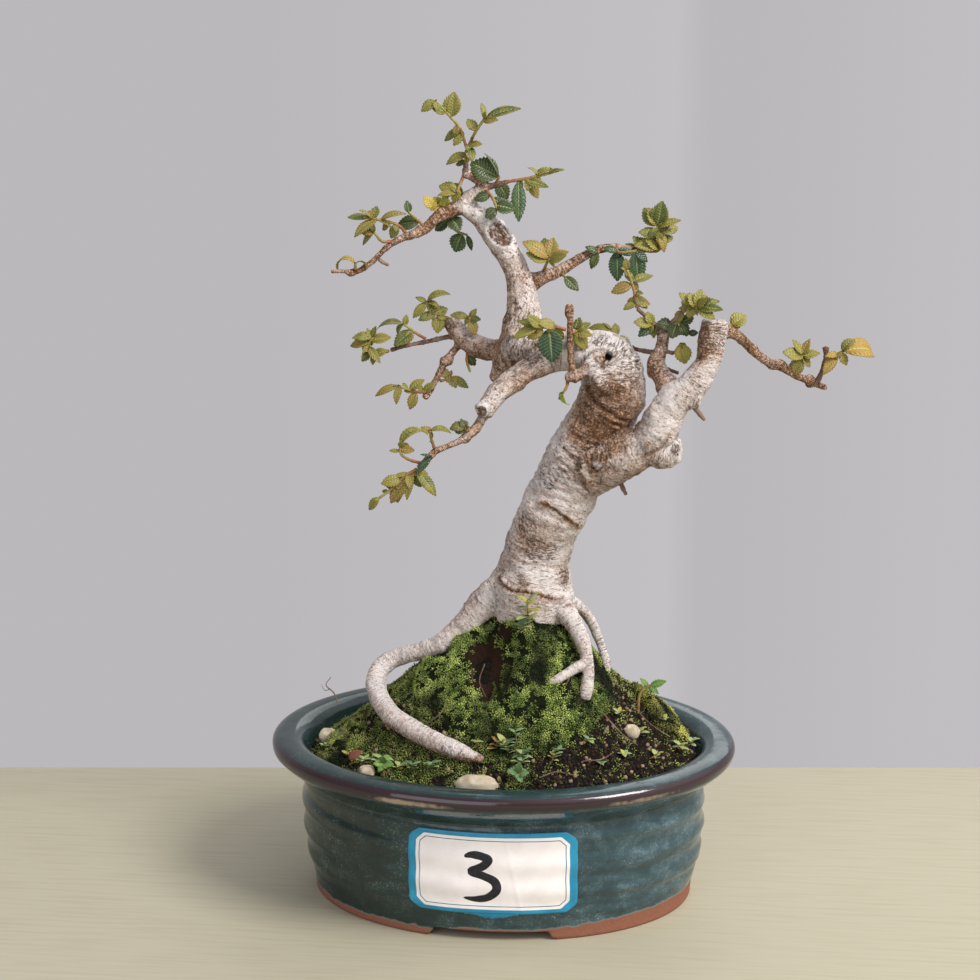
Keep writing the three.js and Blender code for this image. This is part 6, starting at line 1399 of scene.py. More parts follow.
class BONSAI_OT_wood(bpy.types.Operator):
    """Roots, trunk and branches as one skin of bark with its creases, knots and scars"""
    bl_idname = "bonsai.wood"
    bl_label = "Wood"

    def execute(self, context):
        sizes = context.scene.bonsai_wood
        thick = {name: route for name, route in LIMBS.items() if name not in TWIGS}
        parts = [tube(route, 28, 2.0, tip=0.08) for route in thick.values()]
        parts += [ball(47.5, -6, 238, 13.2), ball(8.3, 0, 247, 9.4)]
        turns = 2 * np.pi * np.arange(25) / 24
        knot = [(42 + 6.4 * math.cos(t) * math.cos(0.15), -18.4 + 6.4 * math.cos(t) * math.sin(0.15), 200
            + 6.4 * math.sin(t), 2.0) for t in turns]
        parts.append(tube(knot, 14, 1.5))
        rough = new_piece("wood_core", *gather(parts), [])
        remesh = rough.modifiers.new("one skin", "REMESH")
        remesh.mode = "VOXEL"
        remesh.voxel_size = sizes.grid
        mesh = baked(rough, "bark_wood")
        bpy.data.objects.remove(rough)
        points = smooth_net(mesh, points_of(mesh), 7, 0.55, -0.5)
        put_points(mesh, points)
        centres, aheads, radii, arcs, sides, names = [], [], [], [], [], []
        for name, route in thick.items():
            found = follow(route, 1.6)
            for store, values in zip((centres, aheads, radii, arcs, sides), found):
                store.append(values)
            names += [name] * len(found[0])
        centres, aheads, sides = np.vstack(centres), np.vstack(aheads), np.vstack(sides)
        radii, arcs = np.concatenate(radii), np.concatenate(arcs)
        at, _ = nearest(points, centres, radii)
        off = points - centres[at]
        along = (off * aheads[at]).sum(1)
        one = (off * sides[at]).sum(1)
        two = (off * np.cross(aheads[at], sides[at])).sum(1)
        turn = np.arctan2(two, one)
        size = radii[at]
        grain = np.stack([size * np.cos(turn), size * np.sin(turn), arcs[at] + along], 1)
        straight = np.array([name in ("leader", "heel", "lowLeft", "middleLeft") for name in names])[at]
        grain = np.where(straight[:, None], grain * np.array([1.7, 1.7, 0.28]), grain)
        normals = normals_of(mesh)
        share = np.clip(size / 9, 0.25, 1)
        lean = grain * np.array([1, 1, 0.28])
        aged = np.array([BROWN.get(name, 0.12) for name in names])[at]
        push = share * (0.6 * lumps(points, 9, 21) + 0.45 * lumps(points, 4, 22))
        push += (0.3 * share * ease(14, 5, size) + 0.34 * aged) * lumps(lean, 2.8, 23)
        push += 0.38 * share * (1.15 - aged) * lumps(grain * np.array([1, 1, 4]), 7, 24)
        push += 0.16 * lumps(points, 1.6, 25)
        push += aged * ease(9, 4, size) * np.maximum(0, lumps(points, 4.5, 33)) ** 2 * 1.6
        # brown: the brown skin of the thin limbs and random patches, with painted shade on faces turned down
        # and to the left.
        brown = aged + 0.5 * ease(0.1, -0.7, normals[:, 2]) + 0.25 * lumps(points, 14, 26)
        brown += 0.35 * ease(0.2, -0.8, normals[:, 0])
        fleck = np.zeros(len(points))
        for place, reach, strength in FLECKS:
            away = np.linalg.norm(points - np.array(place), axis=1)
            fleck = np.maximum(fleck, strength * ease(1.6 * reach, 0.7 * reach, away))
        dark = np.zeros(len(points))
        # Painted shade in orange brown under the thick limbs high on the trunk.
        orange_shade = 0.35 * ease(-0.35, -0.85, normals[:, 2]) * (size > 8) * ease(-0.2, 0.5, lumps(points, 8, 27))
        orange_shade = orange_shade * (points[:, 2] > 175)
        # pale: painted light on faces turned up and to the right, less on the brown limbs.
        pale = ease(0.1, 0.8, normals[:, 2]) * (points[:, 2] > 150) + 0.5 * ease(0, 0.9, normals[:, 0])
        pale = np.clip(pale + 0.5 * lumps(points, 10, 28) - 1.2 * np.maximum(0, aged - 0.3), 0, 1)
        for route, width, depth, tint in CREASES:
            marks = spline(route, np.linspace(0, 1, 6 * len(route)))
            spots, _ = nearest(marks, points)
            _, away = nearest(points, points[spots])
            away = away + 0.35 * lumps(points, 2.2, 29)
            fade = np.exp(-(away / width) ** 2)
            push += depth * (0.45 * np.exp(-((away - 2.2 * width) / width) ** 2) - fade)
            # Painted shade in and beside the crease, over the crack's own brown: browner, darker and orange.
            brown += tint * np.exp(-(away / (2.2 * width)) ** 2)
            dark = np.maximum(dark, 0.5 * tint * np.exp(-(away / (0.8 * width)) ** 2))
            orange_shade = np.maximum(orange_shade, 0.9 * tint * np.exp(-(away / (1.8 * width)) ** 2))
        for place, radius, depth, tint, shade in MARKS:
            spot, _ = nearest(np.array([place]), points)
            away = np.linalg.norm(points - points[spot[0]], axis=1)
            away = away + 0.2 * radius * lumps(points, 0.6 * radius, 30) + 0.1 * radius * lumps(points, 1.5,
                31)
            push += -depth * ease(radius, (0.35 if depth < 2 else 0.75) * radius, away)
            if 1.4 < radius < 5 and depth < 2:
                push += 0.16 * np.cos(2 * np.pi * away / (0.5 * radius)) * ease(1.5 * radius, 0.9 * radius,
                    away)
            push += 0.25 * abs(depth) * np.exp(-((away - 1.25 * radius) / (0.3 * radius)) ** 2)
            brown += tint * ease(1.7 * radius, 0.6 * radius, away)
            # Painted shade in the hollow and under the bulge.
            dark = np.maximum(dark, shade * ease(radius, (0.4 if depth < 2 else 0.8) * radius, away))
        view = unit((0.09, -1, 0.24))
        for place, way, long, short in SCARS:
            off = points - np.array(place)
            across = unit(np.cross(view, way))
            away = np.hypot((off @ unit(way)) / long, (off @ across) / short) + 9 * (np.abs(off @ view)
                > long)
            away = away + 0.05 * lumps(points, 2.5, 34)
            face = ease(1.0, 0.86, away)
            lip = np.exp(-((away - 1.14) / 0.13) ** 2)
            push += short * (0.16 * lip - 0.24 * face) + 0.3 * face * lumps(points, 1.7, 35)
            brown += 0.45 * face - 0.5 * lip
            fleck = np.maximum(fleck, 1.2 * face)
            dark = np.maximum(dark, 0.15 * face + 0.7 * np.exp(-((away - 0.93) / 0.06) ** 2))
            pale = np.maximum(pale, lip)
        knot_at, _ = nearest(np.array([(41.3, -21, 204.6)]), points)
        away = np.linalg.norm(points - points[knot_at[0]], axis=1)
        wavy = away + 1.5 * lumps(points, 4, 32) + 0.25 * (points[:, 0] - 42)
        push += 0.4 * np.cos(2 * np.pi * wavy / 2.4) * ease(12, 4, away)
        # Painted shade in the grooves between the knot's rings.
        dark = np.maximum(dark, 0.55 * ease(0.2, 1, -np.cos(2 * np.pi * wavy / 2.4)) * ease(11, 6, away))
        fleck = np.maximum(fleck, 0.45 * ease(12, 7, away))
        buried = ease(3, -1, points[:, 2] - ground(points[:, 0], points[:, 1]))
        brown += 0.5 * buried
        dark = np.maximum(dark, 0.5 * buried)
        points = points + normals * push[:, None]
        put_points(mesh, points)
        dress(mesh, [elm_bark(sizes)], values={"grain": grain * MM, "brown": np.clip(brown, 0, 1.3),
            "dark": dark, "orange_shade": orange_shade, "pale": pale, "fleck": fleck})
        settle(placed("bark_wood", mesh), SLOTS["wood"], "wood")
        return {"FINISHED"}


class BONSAI_OT_twigs(bpy.types.Operator):
    """Thin twigs with swollen buds at their joints"""
    bl_idname = "bonsai.twigs"
    bl_label = "Twigs"

    def execute(self, context):
        parts = []
        for number, name in enumerate(TWIGS):
            route = LIMBS[name]

            def swell(arc, shift=1.7 * number):
                joints = np.exp(-(((arc + shift) % 6.5 - 3.2) / 0.8) ** 2)
                return 0.94 + 0.22 * joints + 0.08 * np.sin(3.1 * arc + shift)

            parts.append(tube(route, 10, 0.8, swell))
        twigs = new_piece("bark_twigs", *gather(parts), [twig_bark(context.scene.bonsai_wood)])
        settle(twigs, SLOTS["wood"])
        return {"FINISHED"}


# Shoots


STEM_RADIUS = 0.72                # of a shoot's green stem, in mm
TEETH_ROWS = (0.0, 0.5, 0.86)     # places of the blade's rows of points within one tooth
# Old leaves on young shoots, by shoot and number.
DARK_LEAVES = {("shoot_brow", 1), ("shoot_crown_right", 4), ("shoot_pair", 1)}
# Further leaves, thinner than a solid can be: stem, place on it, heading, length and width.
MORE_LEAVES = {
    "shoot_crown_mid": [(0, 0.2, 300, 9, 6)],
    "shoot_stump_left": [(0, 0.9, 112, 7, 5), (0, 1, 78, 8, 5.4), (0, 1, 46, 7, 5), (0, 0.05, 228, 6.5, 4.6),
        (0, 1, 350, 7, 4.2), (0, 0.5, 320, 6, 4.4), (0, 0.6, 250, 5.4, 4)],
    "shoot_right_tip": [(0, 1, 80, 11, 7.6), (0, 1, 128, 10, 6.6), (0, 0.9, 12, 11, 6),
        (0, 0.15, 140, 10, 5.6), (0, 0.05, 125, 8.5, 5), (0, 0, 162, 10, 4.6), (0, 0.1, 40, 8, 4.6),
        (0, 0.3, 80, 8, 5)],
    "shoot_left_red": [(0, 0.9, 170, 9, 4.2), (0, 0.8, 80, 6, 4)],
    "shoot_right_base": [(0, 0.9, 160, 10, 6), (0, 1, 80, 9, 6), (0, 0.9, 20, 9, 5.4)],
    "shoot_crown_back": [(0, 0.8, 160, 9, 5.4), (0, 0.5, 250, 7, 4)],
    "shoot_brow": [(0, 0.9, 130, 8, 5), (0, 0.8, 215, 8, 5)],
    "shoot_brow_back": [(0, 1, 80, 6, 4), (0, 1, 350, 7, 4.4), (0, 0.9, 250, 6, 4)],
    "shoot_low_tip": [(0, 0.4, 190, 9, 5), (0, 0.9, 220, 8, 4)],
    "shoot_arch_top": [(0, 0.5, 20, 7, 5), (0, 0.2, 300, 7, 5)],
    "shoot_left_end": [(0, 0.9, 220, 8, 4.6), (0, 0.4, 20, 7, 4)],
    "shoot_upper_mid": [(0, 0.2, 350, 6, 4), (0, 0.15, 200, 6, 4)],
}


def blade(base, row, sizes, seed):
    """One leaf from its row: a closed thin blade with teeth, sunken veins and a folded rib."""
    _, _, heading, length, width, towards, roll, arch = row
    heading, towards, roll = (math.radians(v) for v in (heading, towards, roll))
    along = np.array([math.cos(heading) * math.cos(towards), -math.sin(towards), math.sin(heading)
        * math.cos(towards)])
    normal = np.array([0, -0.85, 0.53])
    normal = unit(normal - along * (normal @ along))
    lift = -roll if math.cos(heading) > 0 else roll
    normal = normal * math.cos(lift) + np.cross(along, normal) * math.sin(lift)
    across = np.cross(along, normal)
    teeth = int(np.clip(round(length / 1.15), 5, 11))
    stops = np.array([(k + part) / teeth for k in range(teeth) for part in TEETH_ROWS] + [1.0])
    tooth = np.array([share for k in range(teeth) for share in (0.0, 0.55, 1.0)] + [0.0])
    fine = np.linspace(0, 1, 81)
    bend = -arch * np.clip((fine - 0.08) / 0.84, 0, 1)
    ways = along * np.cos(bend)[:, None] + normal * np.sin(bend)[:, None]
    path = np.vstack([[0, 0, 0], np.cumsum((ways[1:] + ways[:-1]) / 2, axis=0)]) * (length + 0.5) / 80
    path = path + base - 0.5 * along
    rib = np.stack([np.interp(stops, fine, path[:, i]) for i in range(3)], 1)
    bend = np.interp(stops, fine, bend)
    ups = normal * np.cos(bend)[:, None] - along * np.sin(bend)[:, None]
    ahead = along * np.cos(bend)[:, None] + normal * np.sin(bend)[:, None]
    shape = np.sin(np.pi * np.clip((stops - 0.06) / 0.94, 0, 1) ** 0.86) ** 0.7
    shape = np.maximum(shape, 0.11 * (stops < 0.4)) * (1 - 0.12 * ease(0.6, 1, stops))
    shape[-1] = 0.012
    reach = width / 2 * 1.13 * shape
    shares = np.array([-1, -0.8, -0.5, -0.22, 0, 0.22, 0.5, 0.8, 1.0])
    saw = (1 - sizes.tooth_depth + sizes.tooth_depth * tooth)
    spread = reach[:, None] * shares * np.where(np.abs(shares) == 1, saw[:, None], 1)
    side = np.abs(shares)[None]
    phase = stops[:, None] * teeth - 1.6 * side
    puff = (0.5 - 0.5 * np.cos(2 * np.pi * phase)) * np.sin(np.pi * np.clip(side, 0, 1) ** 0.7)
    wave = 0.6 * np.sin(2.2 * stops + seed)[:, None] * side * np.sign(shares) * 0.25
    depth = sizes.pleat_depth / MM * min(1, width / 5)
    height = np.abs(spread) * math.tan(sizes.fold) * (1 - 0.45 * side) + depth * puff * shape[:, None]
    height = height + wave * width / 5 * shape[:, None] - 0.12
    push = 0.35 * length / teeth * side ** 2 * tooth[:, None]
    top = (rib[:, None] + across[None, None] * spread[..., None] + ups[:, None] * height[..., None]
        + ahead[:, None] * push[..., None])
    points, faces = sheet(top, top - ups[:, None] * (sizes.thickness / MM))
    flat = np.stack(np.broadcast_arrays(0.5 + shares / 2, stops[:, None]), -1).reshape(-1, 2)
    return points, faces, np.vstack([flat, flat]), teeth


def shoot_colours():
    """Blade materials by the tone of the shoot they are on."""
    return {tone: leaf_blade("elm leaf, " + tone, *look) for tone, look in LEAF_TONES.items()}


def grow(name, plant, sizes, colours, stem_material):
    """A shoot's stems, buds and blades as one piece."""
    shoot_tone, stems, leaves = plant
    parts, uvs, tones, veins, pick = [], [], [], [], []

    def keep(part, tone, teeth=1, uv=None, material=1):
        count = len(part[0])
        parts.append(part)
        uvs.append(np.zeros((count, 2)) if uv is None else uv)
        tones.append(np.ones(count) * tone)
        veins.append(np.full(count, float(teeth)))
        pick.extend([material] * len(part[1]))

    for route in stems:
        rows = [(*p, STEM_RADIUS * (1 - 0.35 * i / len(route))) for i, p in enumerate(route)]
        stem = tube(rows, 8, 0.8, lambda arc: 1 + 0.12 * np.sin(2.4 * arc))
        keep(stem, np.linspace(0.0, 0.9, len(stem[0])))
    generator = np.random.default_rng(sum(map(ord, name)))
    young = []
    for stem, place, heading, length, width, towards, roll, arch in leaves if shoot_tone != "old" else []:
        near = generator.choice([-1, 1]) * generator.uniform(40, 85)
        share = generator.uniform(0.42, 0.72)
        young.append((stem, min(1, place + 0.07), heading + near, length * share, width * share, towards
            + generator.uniform(-35, 35), roll + generator.uniform(-25, 25), arch))
    more = [(*row, generator.uniform(-30, 30), generator.uniform(-22, 22), generator.uniform(0.1, 0.5))
        for row in MORE_LEAVES.get(name, ())]
    for number, row in enumerate([*leaves, *young, *more]):
        base = spline(stems[row[0]], row[1])[0]
        points, faces, uv, teeth = blade(base, row, sizes, generator.uniform(0, 6))
        material = 2 if (name, number) in DARK_LEAVES else 0
        keep((points, faces), 0.9 * generator.uniform(0, 1) ** 1.2, teeth, uv, material)
        keep(ball(*(base + np.array([0, -0.2, 0.3])), 0.42, 8), 0.2)
    values = {"tone": np.concatenate(tones), "veins": np.concatenate(veins)}
    return new_piece("leafy_" + name.removeprefix("shoot_"), *gather(parts),
        [colours[shoot_tone], stem_material, colours["deep"]], values=values, uv=np.vstack(uvs), pick=pick)


class BONSAI_OT_shoots(bpy.types.Operator):
    """Leafy shoots, each with its stems, buds and toothed blades"""
    bl_idname = "bonsai.shoots"
    bl_label = "Leafy shoots"

    def execute(self, context):
        sizes = context.scene.bonsai_leaf
        colours = shoot_colours()
        stem = green_stem()
        for name, plant in SHOOTS.items():
            piece = grow(name, plant, sizes, colours, stem)
            settle(piece, SLOTS[name], name)
        return {"FINISHED"}


class BONSAI_OT_stones(bpy.types.Operator):
    """Flat river stone and pebbles on the soil"""
    bl_idname = "bonsai.stones"
    bl_label = "Stones"

    def execute(self, context):
        surface = river_stone()
        for number, (name, (x, y, z, rx, ry, rz)) in enumerate(STONES.items()):
            points, faces = ball(0, 0, 0, 1, 40)
            rough = 1 + 0.1 * lumps(points * 2 + number, 1.1, 3) + 0.04 * lumps(points * 2, 0.4, 4)
            shape = np.sign(points) * np.abs(points) ** 0.86
            points = shape * rough[:, None] * np.array([rx, ry, rz]) + np.array([x, y, z])
            piece = new_piece("river_" + name, points, faces, [surface])
            settle(piece, SLOTS[name], name)
        return {"FINISHED"}


# Small weeds and litter

# Weeds on the ground: place in mm, height, number of leaves and their length.
WEEDS = [
    ((0.5, -45, 81), 4, 8, 3.2), ((7, -46.5, 78.5), 6, 9, 3.6), ((13, -47, 77.5), 3, 7, 3),
    ((10, -44, 80.5), 7, 6, 3), ((-13, -46, 77.5), 2, 5, 2.4), ((25, -46, 76.5), 3, 6, 2.6),
    ((-50, -40, 69.5), 4, 7, 3.2), ((-42, -44, 70), 3, 6, 2.8), ((-34, -46, 71), 3, 6, 2.8),
    ((-65, -28, 69), 3, 5, 2.4), ((-27, -47, 72.5), 3, 6, 2.8), ((40.7, -36, 81.5), 3, 5, 2.4),
    ((62, -17, 79.5), 3, 7, 2.8), ((69, -24, 70.5), 3, 6, 2.6), ((84, 0.5, 69), 3, 6, 2.4),
    ((-70, -9.5, 72), 3, 5, 2.4), ((79, -9, 70), 4, 7, 2.8), ((45, -42, 72.5), 2, 5, 2.2),
    ((11.5, -49, 76), 3, 7, 3), ((28, -43.5, 79), 2, 5, 2.4), ((56, -32, 73.5), 2, 5, 2.2),
    ((-8, -43, 82), 2, 5, 2.4), ((-78, -16, 68.5), 3, 6, 2.6), ((-58, -36, 69.5), 3, 6, 2.6),
    ((13, -23, 129), 13, 9, 4.4), ((11, -23, 127), 6, 7, 3.6), ((52, -18, 88), 2, 5, 2.2),
    ((72, -2, 80), 2, 5, 2.4),
]
# Dry stems, root hairs and dead moss stalks: routes in mm with their thickness.
STRAWS = [
    [(-74.7, 0, 83, 0.3), (-76.5, 0, 88.7, 0.28), (-80, 0, 92.4, 0.24), (-77.7, 0, 96.2, 0.18)],
    [(-78, 0, 90.5, 0.2), (-80.5, -1, 90.2, 0.15), (-82, -1, 93, 0.1)],
    [(31, -26, 108, 0.35), (29, -28, 103, 0.3), (30, -29, 99, 0.2)],
    [(14, -33, 100, 0.45), (17, -35, 97, 0.4), (16.5, -36.5, 92, 0.3)],
    [(-6, -22, 112, 0.3), (-8, -25, 105, 0.25), (-5, -28, 99, 0.2)],
    [(-12, -20, 108, 0.3), (-11, -25, 101, 0.25), (-13, -29, 96, 0.2)],
    [(-20, -30, 98, 0.3), (-25, -34, 92, 0.25), (-30, -34, 88, 0.2)],
    [(46, -26, 92, 0.3), (55, -30, 84, 0.28), (61, -28, 79, 0.2)],
    [(60, -8, 88, 0.3), (66, -14, 84, 0.25), (75, -14, 78, 0.2)],
    [(38, -44, 77, 0.35), (46, -41, 77, 0.3), (51, -36, 78.5, 0.2)],
    [(20, -52, 72, 0.3), (27, -50, 74, 0.3), (34, -49, 72.5, 0.2)],
    [(-62, -24, 74, 0.3), (-66, -18, 77, 0.2), (-71, -17, 75, 0.2)],
]


def petal(base, along, up, length, width, droop):
    """A closed thin oval leaf, cupped along its middle."""
    along = unit(along)
    up = unit(up - along * (up @ along))
    side = np.cross(up, along)
    stops = np.linspace(0, 1, 9)[:, None]
    shares = np.linspace(-1, 1, 5)[None]
    half = width / 2 * np.sin(np.pi * np.clip(stops, 0.02, 0.98) ** 0.8) ** 0.65
    rise = 0.25 * half * shares ** 2 - droop * length * stops ** 2
    top = (base + along * (length * stops)[..., None] + side * (half * shares)[..., None]
        + up * rise[..., None])
    return sheet(top, top - 0.16 * up)


def weed_leaf():
    """Small weeds: soft matt leaves, grey-green with yellow young ones and a few gone brown."""
    made, add, place = new_material("weed leaf")
    tone = add("Attribute", attribute_name="tone")
    cloud = add("TexNoise", {"Vector": place, "Size": 1.5, "Detail": 3})
    share = add("Math", (cloud, 0.25, tone), "MULTIPLY_ADD")
    colour = add("ValToRGB", (share,), stops=((0.08, "#3d5a38"), (1.0, "#7a4a38"), (0.35, "#6d8863"),
        (0.62, "#93a36e"), (0.8, "#a3a050")))
    shell = add("BsdfPrincipled", {"Base Color": colour, "Roughness": 0.55, "IOR": 1.42})
    add("OutputMaterial", {"Surface": shell})
    return made


class BONSAI_OT_litter(bpy.types.Operator):
    """Small round-leaved weeds, dry stems and a dead leaf on the ground"""
    bl_idname = "bonsai.litter"
    bl_label = "Weeds and litter"

    def execute(self, context):
        generator = np.random.default_rng(context.scene.bonsai_ground.seed)
        parts, tones, pick = [], [], []

        def keep(part, tone, material=0):
            parts.append(part)
            tones.append(np.full(len(part[0]), tone))
            pick.extend([material] * len(part[1]))

        for (x, y, z), height, count, length in WEEDS:
            root = np.array([x, y, max(z, ground(x, y)) - 0.5])
            lean = np.array([generator.uniform(-0.4, 0.4), generator.uniform(-0.6, 0.1), 1])
            crown = root + unit(lean) * (height + 0.5)
            keep(tube([(*root, 0.3), (*(root + (crown - root) * 0.5), 0.26), (*crown, 0.2)], 6, 0.8), 0.85)
            base_tone = generator.uniform(0.1, 0.55)
            for k in range(count):
                turn = 2.4 * k + generator.uniform(-0.4, 0.4)
                share = 1 - 0.8 * (k / count) ** 1.5 if height > 2.5 else 1
                out = np.array([math.cos(turn), math.sin(turn), generator.uniform(0.1, 0.9)])
                size = 1.5 * length * generator.uniform(0.7, 1.1)
                leaf = petal(root + (crown - root) * share, out, np.array([0, 0, 1.0]), size,
                    size * generator.uniform(0.5, 0.72), generator.uniform(0, 0.35))
                keep(leaf, base_tone + generator.uniform(-0.1, 0.3))
        keep(petal(np.array([-64, -38, 72.5]), np.array([0.8, -0.3, 0.6]), np.array([0.2, -0.8, 0.6]), 7, 4,
            0.2), 1.3)
        for route in STRAWS:
            keep(tube(route, 6, 0.8), 0.0, 1)
        weeds = new_piece("small_weeds", *gather(parts), [weed_leaf(), twig_bark(context.scene.bonsai_wood)],
            values={"tone": np.concatenate(tones)}, pick=pick)
        settle(weeds, SLOTS["weed_front"])
        return {"FINISHED"}


# Stage


class BONSAI_OT_stage(bpy.types.Operator):
    """Table top, camera at the photograph's angle and soft studio light"""
    bl_idname = "bonsai.stage"
    bl_label = "Stage"

    def execute(self, context):
        scene = context.scene
        sizes = scene.bonsai_stage
        reach, back = TABLE_REACH, sizes.table_back / MM
        turn, tilt = sizes.camera_turn, sizes.camera_tilt
        top = [(x * math.cos(turn) - y * math.sin(turn), x * math.sin(turn) + y * math.cos(turn), 0)
            for x, y in ((-reach, -reach), (reach, -reach), (reach, back), (-reach, back))]
        deep = [(x, y, -TABLE_THICKNESS) for x, y, _ in top]
        faces = [(0, 1, 2, 3), (7, 6, 5, 4), (0, 4, 5, 1), (1, 5, 6, 2), (2, 6, 7, 3), (3, 7, 4, 0)]
        table = new_piece("table_top", top + deep, faces, [floor_paint()])
        table.data.polygons.foreach_set("use_smooth", [False] * 6)
        back_way = Vector((math.sin(turn) * math.cos(tilt), -math.cos(turn) * math.cos(tilt), math.sin(tilt)))
        aim = Vector((SHIFT - CAMERA_ASIDE * math.cos(turn), -CAMERA_ASIDE * math.sin(turn), CAMERA_HEIGHT))
        lens = bpy.data.cameras.new("view of the label side")
        lens.lens = CAMERA_LENS
        lens.sensor_width = 36
        lens.clip_start = 0.01
        camera = placed("view of the label side", lens)
        camera.location = aim + back_way * CAMERA_DISTANCE
        camera.rotation_euler = back_way.to_track_quat("Z", "Y").to_euler()
        scene.camera = camera
        lights = (("key", (0.85, -0.55, 1.15), 0.55, sizes.key_power, "#fffaf4"),
            ("fill", (-0.5, -1.2, 0.6), 1.0, sizes.key_power * 0.3, "#f4f5ff"), ("back", (0.3, 1.1, 1.0), 1.0,
            sizes.key_power * 0.2, "#ffffff"))
        for name, place, size, power, colour in lights:
            lamp = bpy.data.lights.new(name, "AREA")
            lamp.size = size
            lamp.energy = power
            lamp.color = linear(colour)[:3]
            thing = placed(name, lamp)
            thing.location = Vector(place)
            thing.rotation_euler = (Vector(place) - Vector((SHIFT, 0, LIGHT_AIM))).to_track_quat("Z",
                "Y").to_euler()
        world = bpy.data.worlds.new("studio")
        world.use_nodes = True
        world.node_tree.nodes.clear()
        add = partial(add_node, world.node_tree)
        facing = add("TexCoord")
        depth = add("SeparateXYZ", (facing,), out=1)
        room = add("MapRange", (depth, -0.1, 0.4, 0.45, 1))
        window = add("VectorMath", (facing, tuple(unit((0.75, -0.3, 0.75)))), "DOT_PRODUCT", out=1)
        window = add("MapRange", (window, 0.6, 0.9, 0, 1.6))
        side = add("SeparateXYZ", (facing,))
        slant = add("Math", (side, depth), "DIVIDE")
        fold = add("MapRange", (slant, -0.2, 0, 0, 0.1))
        fold = add("Math", (fold, add("MapRange", (slant, 0, 0.016, 1, 0))), "MULTIPLY")
        rise = add("MapRange", (slant, 0.04, 0.14, 0, 0.08))
        curtain = add("Math", (fold, rise), "ADD")
        ahead = add("MapRange", (depth, 0.6, 0.8))
        room = add("Math", (curtain, ahead, room), "MULTIPLY_ADD")
        light = add("Math", (room, window), "ADD")
        light = add("Math", (light, sizes.ambient), "MULTIPLY")
        glow = add("Background", {"Color": tuple(sizes.backdrop), "Strength": light})
        add("OutputWorld", {"Surface": glow})
        scene.world = world
        scene.view_settings.view_transform = "Standard"
        return {"FINISHED"}


# Sizes and colours that a user would change


def colour_choice(name, description, code):
    return FloatVectorProperty(name=name, description=description, subtype="COLOR", size=4, min=0, max=1,
        default=linear(code))


def length_choice(name, description, size_mm):
    return FloatProperty(name=name, description=description, unit="LENGTH", default=size_mm * MM, precision=5)


class BonsaiPot(bpy.types.PropertyGroup):
    glaze: colour_choice("Glaze", "Body colour of the glaze", "#294342")
    clay: colour_choice("Clay", "Bare fired clay of the foot", "#96604a")
    ridge_depth: length_choice("Ridge depth", "Depth of the throwing ridges", 0.24)
    label_width: length_choice("Label width", "Width of the paper label", 72)
    label_height: length_choice("Label height", "Height of the paper label", 38)
    sides: IntProperty(name="Sides", description="Columns round the pot", default=240, min=48)


class BonsaiGround(bpy.types.PropertyGroup):
    tuft_spacing: length_choice("Tuft spacing", "Least distance between moss shoots", 0.76)
    crumb_spacing: length_choice("Crumb spacing", "Least distance between crumbs of soil", 1.45)
    seed: IntProperty(name="Seed", description="Changes where tufts and crumbs lie", default=4)


class BonsaiWood(bpy.types.PropertyGroup):
    grid: length_choice("Grid", "Mesh size of the bark", 0.76)
    bark_depth: length_choice("Bark depth", "Depth of the bark's fine flakes", 0.9)


class BonsaiLeaf(bpy.types.PropertyGroup):
    thickness: length_choice("Blade thickness", "Thickness of a leaf's blade", 0.14)
    pleat_depth: length_choice("Pleat depth", "Rise of the blade between side veins", 0.55)
    tooth_depth: FloatProperty(name="Tooth depth", description="Share of the half width cut by teeth",
        default=0.16, min=0, max=0.5)
    fold: FloatProperty(name="Fold", description="How far each half of a blade is folded up", subtype="ANGLE",
        default=math.radians(17))


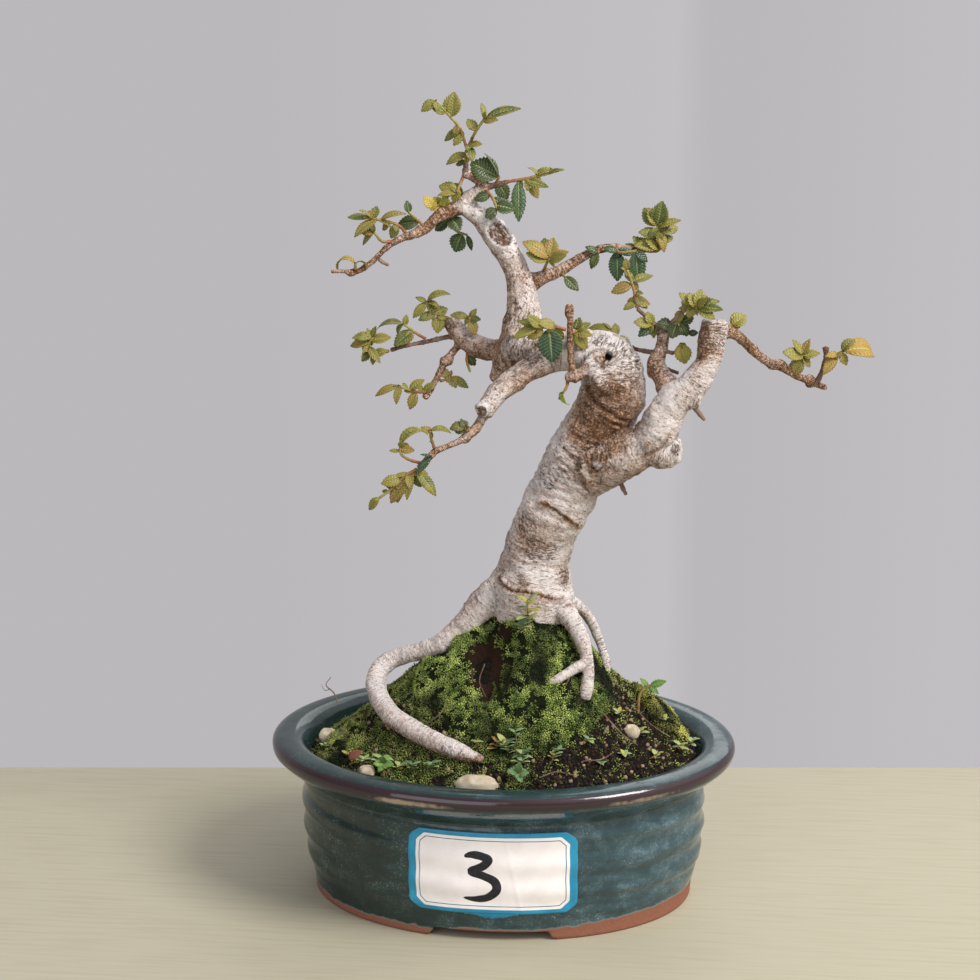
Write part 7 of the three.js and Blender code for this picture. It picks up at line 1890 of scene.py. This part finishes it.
class BonsaiStage(bpy.types.PropertyGroup):
    backdrop: colour_choice("Backdrop", "Colour all round the table", "#bab8bb")
    ambient: FloatProperty(name="Ambient", description="Strength of the light from all round", default=1.0)
    key_power: FloatProperty(name="Key light", description="Power of the key light", default=22, unit="POWER")
    table_back: length_choice("Table back", "Where the table ends behind the pot", 141.7)
    camera_turn: FloatProperty(name="Camera turn", description="How far right the camera stands",
        subtype="ANGLE", default=math.radians(5.2))
    camera_tilt: FloatProperty(name="Camera tilt", description="How far down the camera looks",
        subtype="ANGLE", default=math.radians(13.5))


GROUPS = {"bonsai_pot": BonsaiPot, "bonsai_ground": BonsaiGround, "bonsai_wood": BonsaiWood,
    "bonsai_leaf": BonsaiLeaf, "bonsai_stage": BonsaiStage}
OPERATORS = (BONSAI_OT_stage, BONSAI_OT_pot, BONSAI_OT_screens, BONSAI_OT_soil, BONSAI_OT_moss,
    BONSAI_OT_wood, BONSAI_OT_twigs, BONSAI_OT_shoots, BONSAI_OT_stones, BONSAI_OT_litter, BONSAI_OT_label)


class BONSAI_PT_panel(bpy.types.Panel):
    bl_idname = "BONSAI_PT_panel"
    bl_label = "Elm bonsai"
    bl_space_type = "VIEW_3D"
    bl_region_type = "UI"
    bl_category = "Bonsai"

    def draw(self, context):
        for key, group in GROUPS.items():
            box = self.layout.box()
            for prop in group.__annotations__:
                box.prop(getattr(context.scene, key), prop)
        for operator in OPERATORS:
            self.layout.operator(operator.bl_idname)


def register():
    for kind in (*GROUPS.values(), *OPERATORS, BONSAI_PT_panel):
        bpy.utils.register_class(kind)
    for key, group in GROUPS.items():
        setattr(bpy.types.Scene, key, PointerProperty(type=group))


def unregister():
    for key in GROUPS:
        delattr(bpy.types.Scene, key)
    for kind in (BONSAI_PT_panel, *reversed(OPERATORS), *reversed(list(GROUPS.values()))):
        bpy.utils.unregister_class(kind)


def main():
    register()
    bpy.ops.bonsai.stage()
    bpy.ops.bonsai.pot()
    bpy.ops.bonsai.screens()
    bpy.ops.bonsai.soil()
    bpy.ops.bonsai.moss()
    bpy.ops.bonsai.wood()
    bpy.ops.bonsai.twigs()
    bpy.ops.bonsai.shoots()
    bpy.ops.bonsai.stones()
    bpy.ops.bonsai.litter()
    bpy.ops.bonsai.label()


if __name__ == "__main__":
    main()
